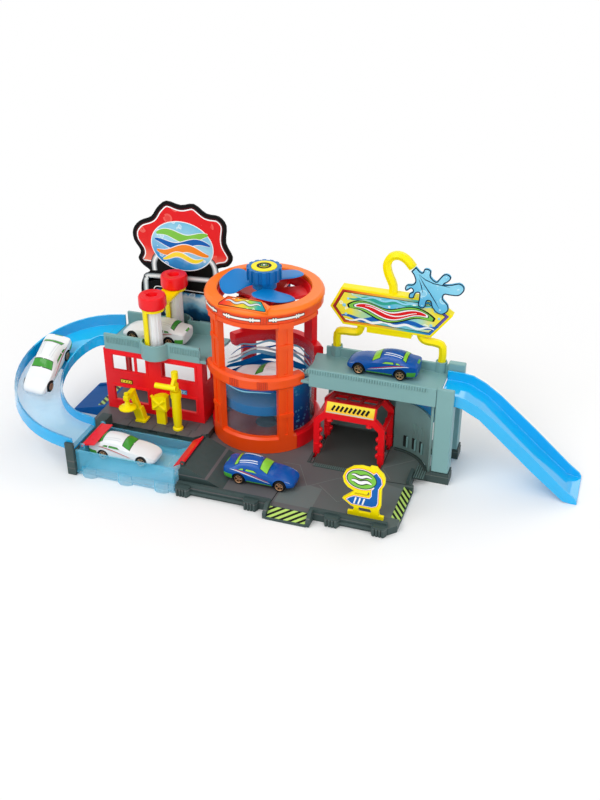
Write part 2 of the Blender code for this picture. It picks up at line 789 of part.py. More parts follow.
def tray_shell():
    """The tray's floor and skirt, hollow beneath."""
    arm_right = RIGHT_DECK_RIGHT + PILLAR_WIDTH + SOCKET_RADIUS / 3.0
    neck = TRAY_RIGHT - KERB_WIDTH
    back_arm = DECK_BACK + OVERRUN - ARM_WIDTH
    outline = [
        (TRAY_LEFT, TRAY_FRONT), (TRAY_RIGHT - TRAY_CORNER, TRAY_FRONT),
        (TRAY_RIGHT, TRAY_FRONT + TRAY_CORNER),
        (TRAY_RIGHT, WORKSHOP_FRONT + OVERRUN), (neck, WORKSHOP_FRONT + KERB_WIDTH), (neck, ARM_FRONT),
        (arm_right, ARM_FRONT), (arm_right, ARM_FRONT + ARM_WIDTH), (neck, ARM_FRONT + ARM_WIDTH),
        (neck, back_arm), (arm_right, back_arm), (arm_right, back_arm + ARM_WIDTH),
        (neck, back_arm + ARM_WIDTH),
        (neck, TRAY_BACK), *tower_lobe(), (WORKSHOP_LEFT, TRAY_BACK), (WORKSHOP_LEFT, WORKSHOP_FRONT),
        (TRAY_LEFT, WORKSHOP_FRONT),
    ]
    return plate(outline, 0.0, TRAY_TOP, "Z")


def tower_lobe():
    """The round of the tray's back edge that reaches behind the tower."""
    reach = TOWER_OUTER + WALL
    start = math.asin(TRAY_BACK / reach)
    return [(reach * math.cos(angle), reach * math.sin(angle))
            for angle in ring_angles(start, math.pi - start, 12)]


def hollow(body, low_x, high_x, low_y, high_y, top):
    """A pocket in the tray's underside."""
    cut(body, box((low_x, low_y, -OVERRUN), (high_x, high_y, top - TRAY_SKIN)))


def make_base_tray(material):
    """Tray with kerbs, slots, raised workshop floor, end block and exit hump."""
    body = tray_shell()
    seat = TOWER_OUTER + RUNNING_GAP
    left = WORKSHOP_LEFT + INSET
    front = WORKSHOP_FRONT + INSET
    back = TRAY_BACK - INSET
    plinth = plate([(left, front), (WORKSHOP_RIGHT - WORKSHOP_CORNER, front),
                    (WORKSHOP_RIGHT, front + WORKSHOP_CORNER),
                    (WORKSHOP_RIGHT, back), (left, back)], TRAY_TOP - SINK, WORKSHOP_TOP, "Z")
    cut(plinth, rod((0.0, 0.0, TRAY_TOP - OVERRUN), (0.0, 0.0, WORKSHOP_TOP + OVERRUN), seat,
                    steps=CIRCLE_STEPS))
    for share in (0.12, 0.33, 0.54, 0.75):
        x = between(WORKSHOP_LEFT, WORKSHOP_RIGHT, share)
        cut(plinth, plate([(x - WORKSHOP_NOTCH, WORKSHOP_FRONT - OVERRUN),
                           (x + WORKSHOP_NOTCH, WORKSHOP_FRONT - OVERRUN),
                           (x + WORKSHOP_NOTCH / 2.0, WORKSHOP_FRONT + WORKSHOP_NOTCH / 2.0),
                           (x - WORKSHOP_NOTCH / 2.0, WORKSHOP_FRONT + WORKSHOP_NOTCH / 2.0)],
                          between(TRAY_TOP, WORKSHOP_TOP, 0.45), WORKSHOP_TOP + OVERRUN, "Z"))
    fuse(body, plinth)
    block_left = TRAY_LEFT + INSET
    block_right = TUB_LEFT + OVERRUN
    fuse(body, box((block_left, TRAY_FRONT + INSET, TRAY_TOP - SINK),
                   (block_right, WORKSHOP_FRONT + SINK, BLOCK_TOP)))
    cheek_front = TRACK_CENTRE_Y - TRACK_RADIUS - TRACK_WIDTH / 2.0 - GAP - CHEEK_WIDTH
    fuse(body, box((block_left + INSET, cheek_front, INSET),
                   (block_right - INSET, cheek_front + CHEEK_WIDTH, BLOCK_CHEEK_TOP)))
    fuse(body, box((block_left + SINK, cheek_front + SINK, INSET * 2.0),
                   (block_right - SINK, TRAY_FRONT + SINK, BLOCK_TOP - INSET)))
    hump_left = TUB_RIGHT + GAP
    hump = plate([(hump_left - OVERRUN, TRAY_TOP - SINK), (hump_left - OVERRUN, HUMP_EDGE - SINK),
                  (hump_left + HUMP_PEAK_RUN, HUMP_PEAK),
                  (hump_left + HUMP_PEAK_RUN + HUMP_FLAT, HUMP_PEAK), (HUMP_END, TRAY_TOP - SINK)],
                 HUMP_FRONT, HUMP_BACK, "Y")
    cut(hump, rod((0.0, 0.0, TRAY_TOP - OVERRUN), (0.0, 0.0, HUMP_PEAK + OVERRUN),
                  TOWER_OUTER + RUNNING_GAP * 2.0,
                  steps=CIRCLE_STEPS))
    fuse(body, hump)
    for low_share, high_share in KERB_SPAN_SHARES:
        fuse(body, box((tray_x(low_share), TRAY_FRONT + SINK, TRAY_TOP - SINK),
                       (tray_x(high_share), TRAY_FRONT + KERB_WIDTH, KERB_TOP)))
    fuse(body, box((TRAY_RIGHT - KERB_WIDTH * 2.0, WORKSHOP_FRONT + SINK, TRAY_TOP - SINK),
                   (TRAY_RIGHT - KERB_WIDTH - SINK, ARM_FRONT, KERB_TOP)))
    for share in BUMP_SHARES:
        fuse(body, ribbed_bump(tray_x(share)))
    for low_share, high_share in zip(BUMP_SHARES[0::2], BUMP_SHARES[1::2]):
        fuse(body, rod((tray_x(low_share), TRAY_FRONT - PIPE_RADIUS / 2.0, TRAY_TOP / 2.0),
                       (tray_x(high_share), TRAY_FRONT - PIPE_RADIUS / 2.0, TRAY_TOP / 2.0), PIPE_RADIUS,
                       steps=8))
    cut_tray_edges(body)
    cut_tray_underside(body)
    add_pillar_seats(body)
    add_flap_ears(body, hump_left + FLAP_BARREL * 2.5, EXIT_FLAP_RISE, EXIT_FLAP_CENTRE_Y, EXIT_FLAP_WIDTH,
                  HUMP_EDGE - SINK)
    return finish(body, "base_tray", material)


def cut_tray_edges(body):
    """The tub's notch, the arch's slots, and the sloped way in at the front and the right."""
    cut(body, box((TUB_LEFT - GAP, TRAY_FRONT - BUMP_DEPTH, -OVERRUN),
                  (TUB_RIGHT + GAP, TUB_BACK + GAP, BLOCK_CHEEK_TOP + OVERRUN)))
    stub_left, stub_right = (tray_x(share) for share in STUB_SPAN_SHARES)
    stub_front = TRAY_FRONT - STUB_RUN
    fuse(body, plate([(TRAY_FRONT + SINK, 0.0), (TRAY_FRONT + SINK, TRAY_TOP - SINK / 2.0),
                      (TRAY_FRONT, TRAY_TOP - SINK / 2.0),
                      (stub_front, STUB_LIP), (stub_front, 0.0)], stub_left, stub_right, "X"))
    for low_x, high_x in ((stub_left - CHEEK_WIDTH, stub_left + SINK),
                          (stub_right - SINK, stub_right + CHEEK_WIDTH)):
        fuse(body, plate([(TRAY_FRONT + KERB_WIDTH, INSET), (TRAY_FRONT + KERB_WIDTH, KERB_TOP - INSET),
                          (TRAY_FRONT - KERB_WIDTH, KERB_TOP - INSET),
                          (stub_front + INSET, KERB_TOP / 2.0), (stub_front + INSET, INSET)], low_x, high_x,
                          "X"))
    low_y, high_y = (between(TRAY_FRONT, TRAY_BACK, share) for share in SLOPE_SPAN_SHARES)
    cut(body, plate([(TRAY_RIGHT + OVERRUN, STUB_LIP), (TRAY_RIGHT + OVERRUN, KERB_TOP + OVERRUN),
                     (TRAY_RIGHT - SLOPE_RUN, KERB_TOP + OVERRUN),
                     (TRAY_RIGHT - SLOPE_RUN, TRAY_TOP + SINK / 2.0)],
                    low_y, high_y, "Y"))
    for x in (ARCH_LEFT + ARCH_LEG / 2.0, ARCH_RIGHT - ARCH_LEG / 2.0):
        cut(body, box((x - SLOT_WIDTH / 2.0, SLOT_FRONT, -OVERRUN),
                      (x + SLOT_WIDTH / 2.0, SLOT_BACK, TRAY_TOP + OVERRUN)))


def cut_tray_underside(body):
    """Pockets beneath the floor, with ribs left between them and a round foot under the tower."""
    left = WORKSHOP_LEFT + WALL
    right = TRAY_RIGHT - KERB_WIDTH - WALL
    back = TRAY_BACK - WALL
    tower_left = -TOWER_OUTER - RUNNING_GAP - WALL
    high_front = WORKSHOP_FRONT + WORKSHOP_NOTCH / 2.0 + WALL
    half = UNDER_RIB / 2.0
    for low_x, high_x in ((left, between(left, tower_left, 0.5)),
                          (between(left, tower_left, 0.5), tower_left)):
        hollow(body, low_x + half, high_x - half, high_front, back, WORKSHOP_TOP)
    slot_left = ARCH_LEFT - TONGUE_HEAD
    middle = between(ARCH_LEFT, ARCH_RIGHT, 0.5)
    spans = ((tower_left, -FOOT_RADIUS), (FOOT_RADIUS, slot_left), (slot_left, middle), (middle, right))
    for low_x, high_x in spans:
        hollow(body, low_x + half, high_x - half, WORKSHOP_FRONT + WALL, back, TRAY_TOP)
    front = TRAY_FRONT + WALL + STUB_RUN
    for low_x, high_x in ((TUB_RIGHT + WALL * 2.0, -FOOT_RADIUS), (-FOOT_RADIUS, slot_left),
                          (slot_left, middle), (middle, right)):
        hollow(body, low_x + half, high_x - half, front, WORKSHOP_FRONT - UNDER_RIB, TRAY_TOP)


def add_pillar_seats(body):
    """Raised pads on the arms that carry the two posts at the right."""
    for low_y in (ARM_FRONT, DECK_BACK + OVERRUN - ARM_WIDTH):
        fuse(body, box((RIGHT_DECK_RIGHT, low_y + INSET, TRAY_TOP - SINK),
                       (RIGHT_DECK_RIGHT + PILLAR_WIDTH + SOCKET_RADIUS / 3.0 - INSET,
                        low_y + ARM_WIDTH - INSET, ARM_TOP)))


def add_flap_ears(body, x, z, centre_y, width, foot):
    """Two bored ears that carry a flap's pins."""
    reach = width / 2.0 + RUNNING_GAP
    for side in (-1.0, 1.0):
        near = centre_y + side * reach
        far = centre_y + side * (reach + FLAP_EAR)
        ear = box((x - FLAP_BARREL * 1.6, min(near, far), foot),
                  (x + FLAP_BARREL * 1.6, max(near, far), z + FLAP_BARREL * 1.4))
        cut(ear, rod((x, near - side * OVERRUN, z), (x, far + side * OVERRUN, z), FLAP_PIN + SHAFT_GAP,
                     steps=12))
        fuse(body, ear)


def make_flap(name, material, x, z, centre_y, width, drop, side):
    """A hinged flap that hangs down from its barrel; side is +1 where it points to +X."""
    half = width / 2.0
    body = rod((x, centre_y - half, z), (x, centre_y + half, z), FLAP_BARREL, steps=12)
    run = FLAP_LENGTH * math.cos(drop) * side
    fall = FLAP_LENGTH * math.sin(drop)
    lift = FLAP_THICKNESS / 2.0
    leaf = plate([(x, z + lift), (x, z - lift), (x + run, z - fall - lift / 2.0),
                  (x + run, z - fall + lift / 2.0)],
                 centre_y - half, centre_y + half, "Y")
    fuse(body, leaf)
    pin = rod((x, centre_y - half - FLAP_EAR, z), (x, centre_y + half + FLAP_EAR, z), FLAP_PIN, steps=12)
    fuse(body, pin)
    return finish(body, name, material, (x, centre_y, z))


def make_tub(material):
    """Clear tub with an open top, rails and octagonal bumps on its front, and a ramp to its exit."""
    body = box((TUB_LEFT, TUB_FRONT, 0.0), (TUB_RIGHT, TUB_BACK, TUB_TOP))
    cut(body, box((TUB_LEFT + WALL, TUB_FRONT + WALL, TUB_FLOOR),
                  (TUB_RIGHT - WALL, TUB_BACK - WALL, TUB_TOP + OVERRUN)))
    cut(body, box((TUB_LEFT + WALL, TUB_FRONT + WALL, -OVERRUN),
                  (TUB_RIGHT - WALL, TUB_BACK - WALL, TUB_FLOOR - WALL)))
    cut(body, box((TUB_LEFT - OVERRUN, TUB_BACK - WALL - OVERRUN, TUB_BACK_TOP),
                  (TUB_RIGHT + OVERRUN, TUB_BACK + OVERRUN, TUB_TOP + OVERRUN)))
    cut(body, box((TUB_LEFT - OVERRUN, TUB_FRONT + WALL, BLOCK_TOP - OVERRUN),
                  (TUB_LEFT + WALL + OVERRUN, TUB_BACK + OVERRUN, TUB_TOP + OVERRUN)))
    cut(body, box((TUB_RIGHT - WALL - OVERRUN, TUB_FRONT + WALL, TUB_SIDE_TOP),
                  (TUB_RIGHT + OVERRUN, TUB_BACK + OVERRUN, TUB_TOP + OVERRUN)))
    ramp_top = TUB_RIGHT - WALL + SINK
    fuse(body, plate([(ramp_top - TUB_RAMP_RUN - FLAP_LENGTH / 2.0, TUB_FLOOR - SINK),
                      (ramp_top, TUB_FLOOR - SINK),
                      (ramp_top, TUB_SIDE_TOP), (ramp_top - FLAP_LENGTH / 2.0, TUB_SIDE_TOP)],
                     HUMP_FRONT + WALL, TUB_BACK - WALL * 2.0, "Y"))
    add_tub_rails(body)
    add_flap_ears(body, TUB_LEFT + FLAP_BARREL * 2.0, ENTRY_FLAP_Z, ENTRY_FLAP_CENTRE_Y, ENTRY_FLAP_WIDTH,
                  BLOCK_TOP - OVERRUN * 2.0)
    return finish(body, "splash_tub", material)


def add_tub_rails(body):
    """The moulded pipe and octagonal bumps along the tub's lower front edge."""
    fuse(body, rod((TUB_LEFT, TUB_FRONT, TRAY_TOP / 2.0), (TUB_RIGHT, TUB_FRONT, TRAY_TOP / 2.0),
                   PIPE_RADIUS, steps=8))
    for share in TUB_BUMP_SHARES:
        x = between(TUB_LEFT, TUB_RIGHT, share)
        half = BUMP_WIDTH / 2.0
        fuse(body, plate([(x - half, TUB_FRONT + SINK), (x - half, TUB_FRONT - BUMP_DEPTH / 4.0),
                          (x - half / 2.0, TUB_FRONT - BUMP_DEPTH * 0.7),
                          (x + half / 2.0, TUB_FRONT - BUMP_DEPTH * 0.7),
                          (x + half, TUB_FRONT - BUMP_DEPTH / 4.0), (x + half, TUB_FRONT + SINK)],
                         0.0, BUMP_TOP, "Z"))


def make_side_ramp(material):
    """A wedge that leads up to the workshop floor from the left."""
    right = WORKSHOP_LEFT - GAP
    left = right - SIDE_RAMP_LENGTH
    body = plate([(left, 0.0), (right, 0.0), (right, SIDE_RAMP_TOP), (left, SIDE_RAMP_LIP)],
                 SIDE_RAMP_FRONT, SIDE_RAMP_BACK, "Y")
    cut(body, plate([(right - SIDE_RAMP_LENGTH * 0.7, -OVERRUN), (right - WALL, -OVERRUN),
                     (right - WALL, SIDE_RAMP_TOP - WALL * 1.3),
                     (right - SIDE_RAMP_LENGTH * 0.7, WALL / 2.0)],
                    SIDE_RAMP_FRONT + WALL, SIDE_RAMP_BACK - WALL, "Y"))
    for low_y, high_y in ((SIDE_RAMP_FRONT, SIDE_RAMP_FRONT + WALL * 2.0),
                          (SIDE_RAMP_BACK - WALL * 2.0, SIDE_RAMP_BACK)):
        fuse(body, plate([(left + WALL, 0.0), (right, 0.0), (right, SIDE_RAMP_TOP + WALL),
                          (left + WALL, SIDE_RAMP_LIP + WALL)],
                         low_y, high_y, "Y"))
    return finish(body, "side_ramp", material)


def wall_window(body, low_x, high_x, low_z, high_z, low_y, high_y):
    """A window with a raised frame on the wall's outer side."""
    fuse(body, box((low_x - FRAME_WIDTH, low_y - FRAME_RAISE, low_z - FRAME_WIDTH),
                   (high_x + FRAME_WIDTH, low_y + SINK, high_z + FRAME_WIDTH)))
    cut(body, box((low_x, low_y - FRAME_RAISE - OVERRUN, low_z), (high_x, high_y + OVERRUN, high_z)))


def building_levels():
    """Top and bottom of the building's walls."""
    return WORKSHOP_TOP + GAP, DECK_TOP - DECK_SKIN - GAP


def make_building_front(material):
    """Front wall with four windows, a mullion and a low plinth."""
    low, high = building_levels()
    back = BUILDING_FRONT + BUILDING_WALL
    body = box((BUILDING_LEFT, BUILDING_FRONT, low), (BUILDING_RIGHT, back, high))
    for columns in (WINDOW_LEFT_SHARES, WINDOW_RIGHT_SHARES):
        for rows in (WINDOW_LOW_SHARES, WINDOW_HIGH_SHARES):
            x0, x1 = (between(BUILDING_LEFT, BUILDING_RIGHT, share) for share in columns)
            z0, z1 = (between(low, high, share) for share in rows)
            wall_window(body, x0, x1, z0, z1, BUILDING_FRONT, back)
    x = between(BUILDING_LEFT, BUILDING_RIGHT, between(*WINDOW_LEFT_SHARES, 0.68))
    z0, z1 = (between(low, high, share) for share in WINDOW_HIGH_SHARES)
    fuse(body, box((x - MULLION / 2.0, BUILDING_FRONT + SINK, z0 - SINK),
                   (x + MULLION / 2.0, back - SINK / 2.0, z1 + SINK)))
    cut_bay_clearance(body)
    return finish(body, "building_front_wall", material)


def cut_bay_clearance(body):
    """Room under the deck for the half-round bays that hold the gate's posts."""
    for y in (GATE_FRONT_Y, GATE_BACK_Y):
        cut(body, rod((GATE_X, y, DECK_TOP - DECK_SKIN - RUNNING_GAP * 2.0), (GATE_X, y, PARAPET_TOP),
                      BAY_RADIUS + RUNNING_GAP,
                      steps=CIRCLE_STEPS // 2))


def make_building_rear(material):
    """Rear wall and both end walls in one moulding, with tall openings between posts."""
    low, high = building_levels()
    front = BUILDING_FRONT + BUILDING_WALL + GAP
    inner = BUILDING_BACK - BUILDING_WALL
    body = plate([(BUILDING_LEFT, front), (BUILDING_LEFT + BUILDING_WALL, front),
                  (BUILDING_LEFT + BUILDING_WALL, inner),
                  (BUILDING_RIGHT - BUILDING_WALL, inner), (BUILDING_RIGHT - BUILDING_WALL, front),
                  (BUILDING_RIGHT, front),
                  (BUILDING_RIGHT, BUILDING_BACK), (BUILDING_LEFT, BUILDING_BACK)], low, high, "Z")
    cut_bay_clearance(body)
    z0, z1 = (between(low, high, share) for share in (0.18, 0.92))
    for shares in ((0.03, 0.31), (0.39, 0.78), (0.84, 0.96)):
        x0, x1 = (between(BUILDING_LEFT, BUILDING_RIGHT, share) for share in shares)
        cut(body, box((x0, inner - OVERRUN, z0), (x1, BUILDING_BACK + OVERRUN, z1)))
    z0, z1 = (between(low, high, share) for share in (0.60, 0.88))
    for y_shares in ((0.14, 0.44), (0.60, 0.88)):
        y0, y1 = (between(front, BUILDING_BACK, share) for share in y_shares)
        cut(body, box((BUILDING_RIGHT - BUILDING_WALL - OVERRUN, y0, z0),
                      (BUILDING_RIGHT + OVERRUN, y1, z1)))
    z0, z1 = (between(low, high, share) for share in (0.0, 0.84))
    y0, y1 = (between(front, BUILDING_BACK, share) for share in (0.16, 0.84))
    cut(body, box((BUILDING_LEFT - OVERRUN, y0, z0 - OVERRUN),
                  (BUILDING_LEFT + BUILDING_WALL + OVERRUN, y1, z1)))
    return finish(body, "building_rear_wall", material)


def deck_floor(left, right, front, back, tongue_side):
    """A deck's floor, cut round the tower, with a tongue that reaches the tank's rim."""
    low = DECK_TOP - DECK_SKIN
    floor = box((left, front, low), (right, back, DECK_TOP))
    clear = TOWER_RIM + LIFT_GAP * 1.5
    cut(floor, rod((0.0, 0.0, low - OVERRUN), (0.0, 0.0, DECK_TOP + OVERRUN), clear, steps=CIRCLE_STEPS))
    inner = tongue_side * (TANK_RADIUS - TANK_WALL)
    outer = tongue_side * (clear + WALL)
    tongue = box((min(inner, outer), -LANE_HALF, low), (max(inner, outer), LANE_HALF, DECK_TOP))
    cut(tongue, rod((0.0, 0.0, low - OVERRUN), (0.0, 0.0, DECK_TOP + OVERRUN), TANK_RADIUS + RUNNING_GAP,
                    steps=CIRCLE_STEPS))
    return fuse(floor, tongue)


def cut_tower_room(body):
    """Keep a deck's walls clear of the tower's columns and middle ring."""
    clear = TOWER_RIM + LIFT_GAP * 1.5
    cut(body, rod((0.0, 0.0, DECK_TOP + SINK / 6.0), (0.0, 0.0, PARAPET_TOP + OVERRUN), clear,
                  steps=CIRCLE_STEPS))


def make_left_deck(material):
    """Deck over the building with a parapet and a half-round bay for each post of the gate."""
    low = DECK_TOP - DECK_SKIN
    right = -(TANK_RADIUS - WALL)
    body = deck_floor(LEFT_DECK_LEFT, right, DECK_FRONT + SINK, DECK_BACK - SINK, -1.0)
    wall_right = -TOWER_RIM + LIFT_GAP
    fuse(body, box((LEFT_DECK_LEFT, DECK_FRONT, low), (wall_right, DECK_FRONT + DECK_WALL, PARAPET_TOP)))
    fuse(body, box((LEFT_DECK_LEFT, DECK_BACK - DECK_WALL, low), (wall_right, DECK_BACK, LEFT_BACK_TOP)))
    for y, top in ((GATE_FRONT_Y, PARAPET_TOP - INSET), (GATE_BACK_Y, LEFT_BACK_TOP - INSET)):
        fuse(body, rod((GATE_X, y, low - INSET), (GATE_X, y, top), BAY_RADIUS, steps=CIRCLE_STEPS // 2))
        cut(body, rod((GATE_X, y, DECK_TOP), (GATE_X, y, PARAPET_TOP + OVERRUN), BAY_RADIUS - WALL,
                      steps=CIRCLE_STEPS // 2))
    cut(body, box((GATE_X - BAY_RADIUS - OVERRUN, DECK_FRONT + DECK_WALL, DECK_TOP),
                  (GATE_X + BAY_RADIUS + OVERRUN, DECK_BACK - DECK_WALL, PARAPET_TOP + OVERRUN)))
    cut_tower_room(body)
    add_board_holders(body)
    return finish(body, "left_deck", material)


def board_front():
    """How far back the backboard's face stands, just behind the rear bay."""
    return GATE_BACK_Y + BAY_RADIUS + GAP


def add_board_holders(body):
    """Two slotted brackets behind the rear wall that grip the backboard's foot."""
    front = board_front() - GAP
    back = board_front() + BOARD_THICKNESS + GAP
    floor = BOARD_BOTTOM - GAP
    for low_share, high_share in HOLDER_SPAN_SHARES:
        left, right = (between(BOARD_LEFT, BOARD_RIGHT, share) for share in (low_share, high_share))
        holder = box((left, DECK_BACK - SINK, floor - WALL), (right, back + WALL, HOLDER_TOP))
        cut(holder, box((left - OVERRUN, front, floor), (right + OVERRUN, back, HOLDER_TOP + OVERRUN)))
        cut(holder, box((left + WALL, DECK_BACK + WALL, floor),
                        (right - WALL, front - WALL, HOLDER_TOP + OVERRUN)))
        fuse(body, holder)


def fluted_circle(radius, depth, flutes, centre):
    """A round outline with square flutes."""
    points = []
    for index in range(flutes):
        for share, offset in ((0.0, 0.0), (0.5, 0.0), (0.5, depth), (1.0, depth)):
            angle = FULL_TURN * (index + share * 0.96 + 0.02) / flutes
            reach = radius - offset
            points.append((centre[0] + reach * math.cos(angle), centre[1] + reach * math.sin(angle)))
    return points


def make_gate_arch(material):
    """Two half-round guards and the bridge that joins them over the lane."""
    bridge_low = BRIDGE_TOP - BRIDGE_THICKNESS
    body = box((GATE_X - BRIDGE_RADIUS * 0.8, GATE_FRONT_Y, bridge_low),
               (GATE_X + BRIDGE_RADIUS * 0.8, GATE_BACK_Y, BRIDGE_TOP))
    for y in (GATE_FRONT_Y, GATE_BACK_Y):
        fuse(body, rod((GATE_X, y, bridge_low), (GATE_X, y, BRIDGE_TOP), BRIDGE_RADIUS,
                       steps=CIRCLE_STEPS // 2))
        cut(body, rod((GATE_X, y, bridge_low - OVERRUN), (GATE_X, y, BRIDGE_TOP + OVERRUN),
                      ROLLER_SPINDLE + SHAFT_GAP))
        inner = GUARD_RADIUS - GUARD_WALL
        guard = turned([(inner, DECK_TOP + GAP), (GUARD_RADIUS, DECK_TOP + GAP),
                        (GUARD_RADIUS, bridge_low + SINK),
                        (inner, bridge_low + SINK)], (GATE_X, y), 8, math.pi - GUARD_HALF_ANGLE,
                        GUARD_HALF_ANGLE * 2.0)
        fuse(body, guard)
    return finish(body, "gate_arch", material)


def make_brush_roller(name, material, y):
    """Fluted roller with the spindle that carries its knob."""
    top = BRIDGE_TOP - BRIDGE_THICKNESS - RUNNING_GAP
    body = plate(fluted_circle(ROLLER_RADIUS, ROLLER_FLUTE_DEPTH, ROLLER_FLUTES, (GATE_X, y)),
                 DECK_TOP + GAP, top, "Z")
    fuse(body, rod((GATE_X, y, top - SINK), (GATE_X, y, BRIDGE_TOP + KNOB_HEIGHT / 2.0), ROLLER_SPINDLE))
    return finish(body, name, material, (GATE_X, y, DECK_TOP))


def make_brush_knob(name, material, y):
    """Dished knob that sits on a roller's spindle."""
    low = BRIDGE_TOP + RUNNING_GAP
    high = low + KNOB_HEIGHT
    edge = KNOB_RADIUS * 0.93
    floor = BRIDGE_TOP + KNOB_HEIGHT / 2.0 + GAP
    bore = ROLLER_SPINDLE + GAP
    body = turned([(0.0, floor), (bore, floor), (bore, low), (edge, low), (KNOB_RADIUS, low + WALL),
                   (KNOB_RADIUS, high - WALL), (edge, high), (KNOB_DISH_RADIUS, high),
                   (KNOB_DISH_RADIUS * 0.8, high - KNOB_DISH_DEPTH), (0.0, high - KNOB_DISH_DEPTH)],
                  (GATE_X, y), KNOB_SIDES)
    return finish(body, name, material, (GATE_X, y, low), smooth=0.3)


def make_backboard(material):
    """Die-cut board that stands behind the left deck's rear wall."""
    low = board_front()
    outline = smooth_points(scaled(BOARD_SHARES, BOARD_LEFT, BOARD_RIGHT, BOARD_BOTTOM, BOARD_TOP), 3, True,
                            BOARD_HARD_SHARES)
    return finish(plate(outline, low, low + BOARD_THICKNESS, "Y"), "backboard", material)


def make_polisher_stand(material):
    """Leaning stand with a stepped column and a short bracket at its top."""
    foot = WORKSHOP_TOP + GAP
    half = POLISHER_BAR / 2.0
    body = box((-half * 1.7, -half * 1.4, 0.0), (half * 1.7, half * 1.4, POLISHER_ARM * 0.45), WALL / 4.0)
    fuse(body, box((-half, -half, POLISHER_ARM * 0.4), (half, half, POLISHER_ARM), WALL / 4.0))
    body.data.transform(Matrix.Translation((POLISHER_X, TOOL_Y, foot)) @ Matrix.Rotation(POLISHER_LEAN, 4,
                                                                                         "Y"))
    fuse(body, box((POLISHER_X - POLISHER_BAR, TOOL_Y - POLISHER_BAR, foot),
                   (POLISHER_X + POLISHER_BAR, TOOL_Y + POLISHER_BAR, foot + WALL)))
    cut(body, box((POLISHER_X - POLISHER_ARM, TOOL_Y - POLISHER_ARM, foot - WALL * 2.0),
                  (POLISHER_X + POLISHER_ARM, TOOL_Y + POLISHER_ARM, foot)))
    top_x, top_z = polisher_top()
    fuse(body, box((top_x - half, TOOL_Y - POLISHER_REACH - half, top_z - half),
                   (top_x + half, TOOL_Y + half, top_z + half), WALL / 4.0))
    head_y = TOOL_Y - POLISHER_REACH
    cut(body, rod((top_x, head_y, top_z - POLISHER_BAR), (top_x, head_y, top_z + POLISHER_BAR),
                  POLISHER_PIN + SHAFT_GAP, steps=12))
    return finish(body, "polisher_stand", material)


def polisher_top():
    """Where the polisher's column ends: x and z."""
    lean = POLISHER_ARM * math.sin(POLISHER_LEAN)
    return POLISHER_X + lean, WORKSHOP_TOP + GAP + POLISHER_ARM * math.cos(POLISHER_LEAN)


def make_polisher_head(material):
    """Flared polishing head that turns on an upright pin."""
    top_x, top_z = polisher_top()
    head_y = TOOL_Y - POLISHER_REACH
    under = top_z - POLISHER_BAR / 2.0 - RUNNING_GAP
    crown = top_z + POLISHER_BAR / 2.0 + RUNNING_GAP
    body = turned([(0.0, POLISHER_DISC_Z - WALL), (POLISHER_HEAD_RADIUS, POLISHER_DISC_Z - WALL * 0.5),
                   (POLISHER_HEAD_RADIUS, POLISHER_DISC_Z), (POLISHER_NECK * 1.6, POLISHER_DISC_Z + WALL),
                   (POLISHER_NECK, under - WALL), (POLISHER_NECK, under), (POLISHER_PIN, under),
                   (POLISHER_PIN, crown),
                   (POLISHER_PIN * 1.6, crown), (POLISHER_PIN * 1.6, crown + WALL), (0.0, crown + WALL)],
                  (top_x, head_y), SMALL_STEPS)
    return finish(body, "polisher_head", material, (top_x, head_y, POLISHER_DISC_Z))


def make_pump(material):
    """Pump cabinet with a crossed brace on its face, on a narrower foot."""
    half = PUMP_WIDTH / 2.0
    front = TOOL_Y - PUMP_DEPTH / 2.0
    back = TOOL_Y + PUMP_DEPTH / 2.0
    corner = PUMP_WIDTH * 0.2
    body = plate([(PUMP_X - half, PUMP_BASE), (PUMP_X + half, PUMP_BASE),
                  (PUMP_X + half, PUMP_TOP - corner / 2.0),
                  (PUMP_X + half - corner, PUMP_TOP),
                  (PUMP_X - half + corner * 2.0, PUMP_TOP - corner / 3.0),
                  (PUMP_X - half, PUMP_TOP - corner * 1.3)], front, back, "Y")
    leg = PUMP_LEG / 2.0
    fuse(body, box((PUMP_X - leg, front + WALL, WORKSHOP_TOP + GAP),
                   (PUMP_X + leg, back - WALL / 2.0, PUMP_BASE + SINK)))
    for side in (-1.0, 1.0):
        fuse(body, rod((PUMP_X - side * half * 0.75, front, PUMP_BASE + WALL),
                       (PUMP_X + side * half * 0.75, front, PUMP_TOP - corner * 1.6),
                       PUMP_BRACE, steps=6))
    fuse(body, rod((PUMP_X - half + SINK, TOOL_Y, PUMP_TOP - corner * 2.0),
                   (PUMP_X - half - WALL, TOOL_Y, PUMP_TOP - corner), PUMP_BRACE, steps=8))
    return finish(body, "pump_unit", material)


def make_dryer_post(material):
    """Round post with collars and a socket for the swinging dryer arm."""
    foot = WORKSHOP_TOP + GAP
    r = DRYER_RADIUS
    body = turned([(0.0, foot), (r * 1.15, foot), (r * 1.15, foot + WALL), (r * 0.85, foot + WALL * 1.5),
                   (r, between(foot, DRYER_TOP, 0.35)), (r, between(foot, DRYER_TOP, 0.8)),
                   (r * 1.2, between(foot, DRYER_TOP, 0.84)), (r * 1.2, DRYER_TOP),
                   (DRYER_PIN + SHAFT_GAP, DRYER_TOP),
                   (DRYER_PIN + SHAFT_GAP, between(foot, DRYER_TOP, 0.75)),
                   (0.0, between(foot, DRYER_TOP, 0.75))],
                  (DRYER_X, DRYER_Y), SMALL_STEPS)
    return finish(body, "dryer_post", material)


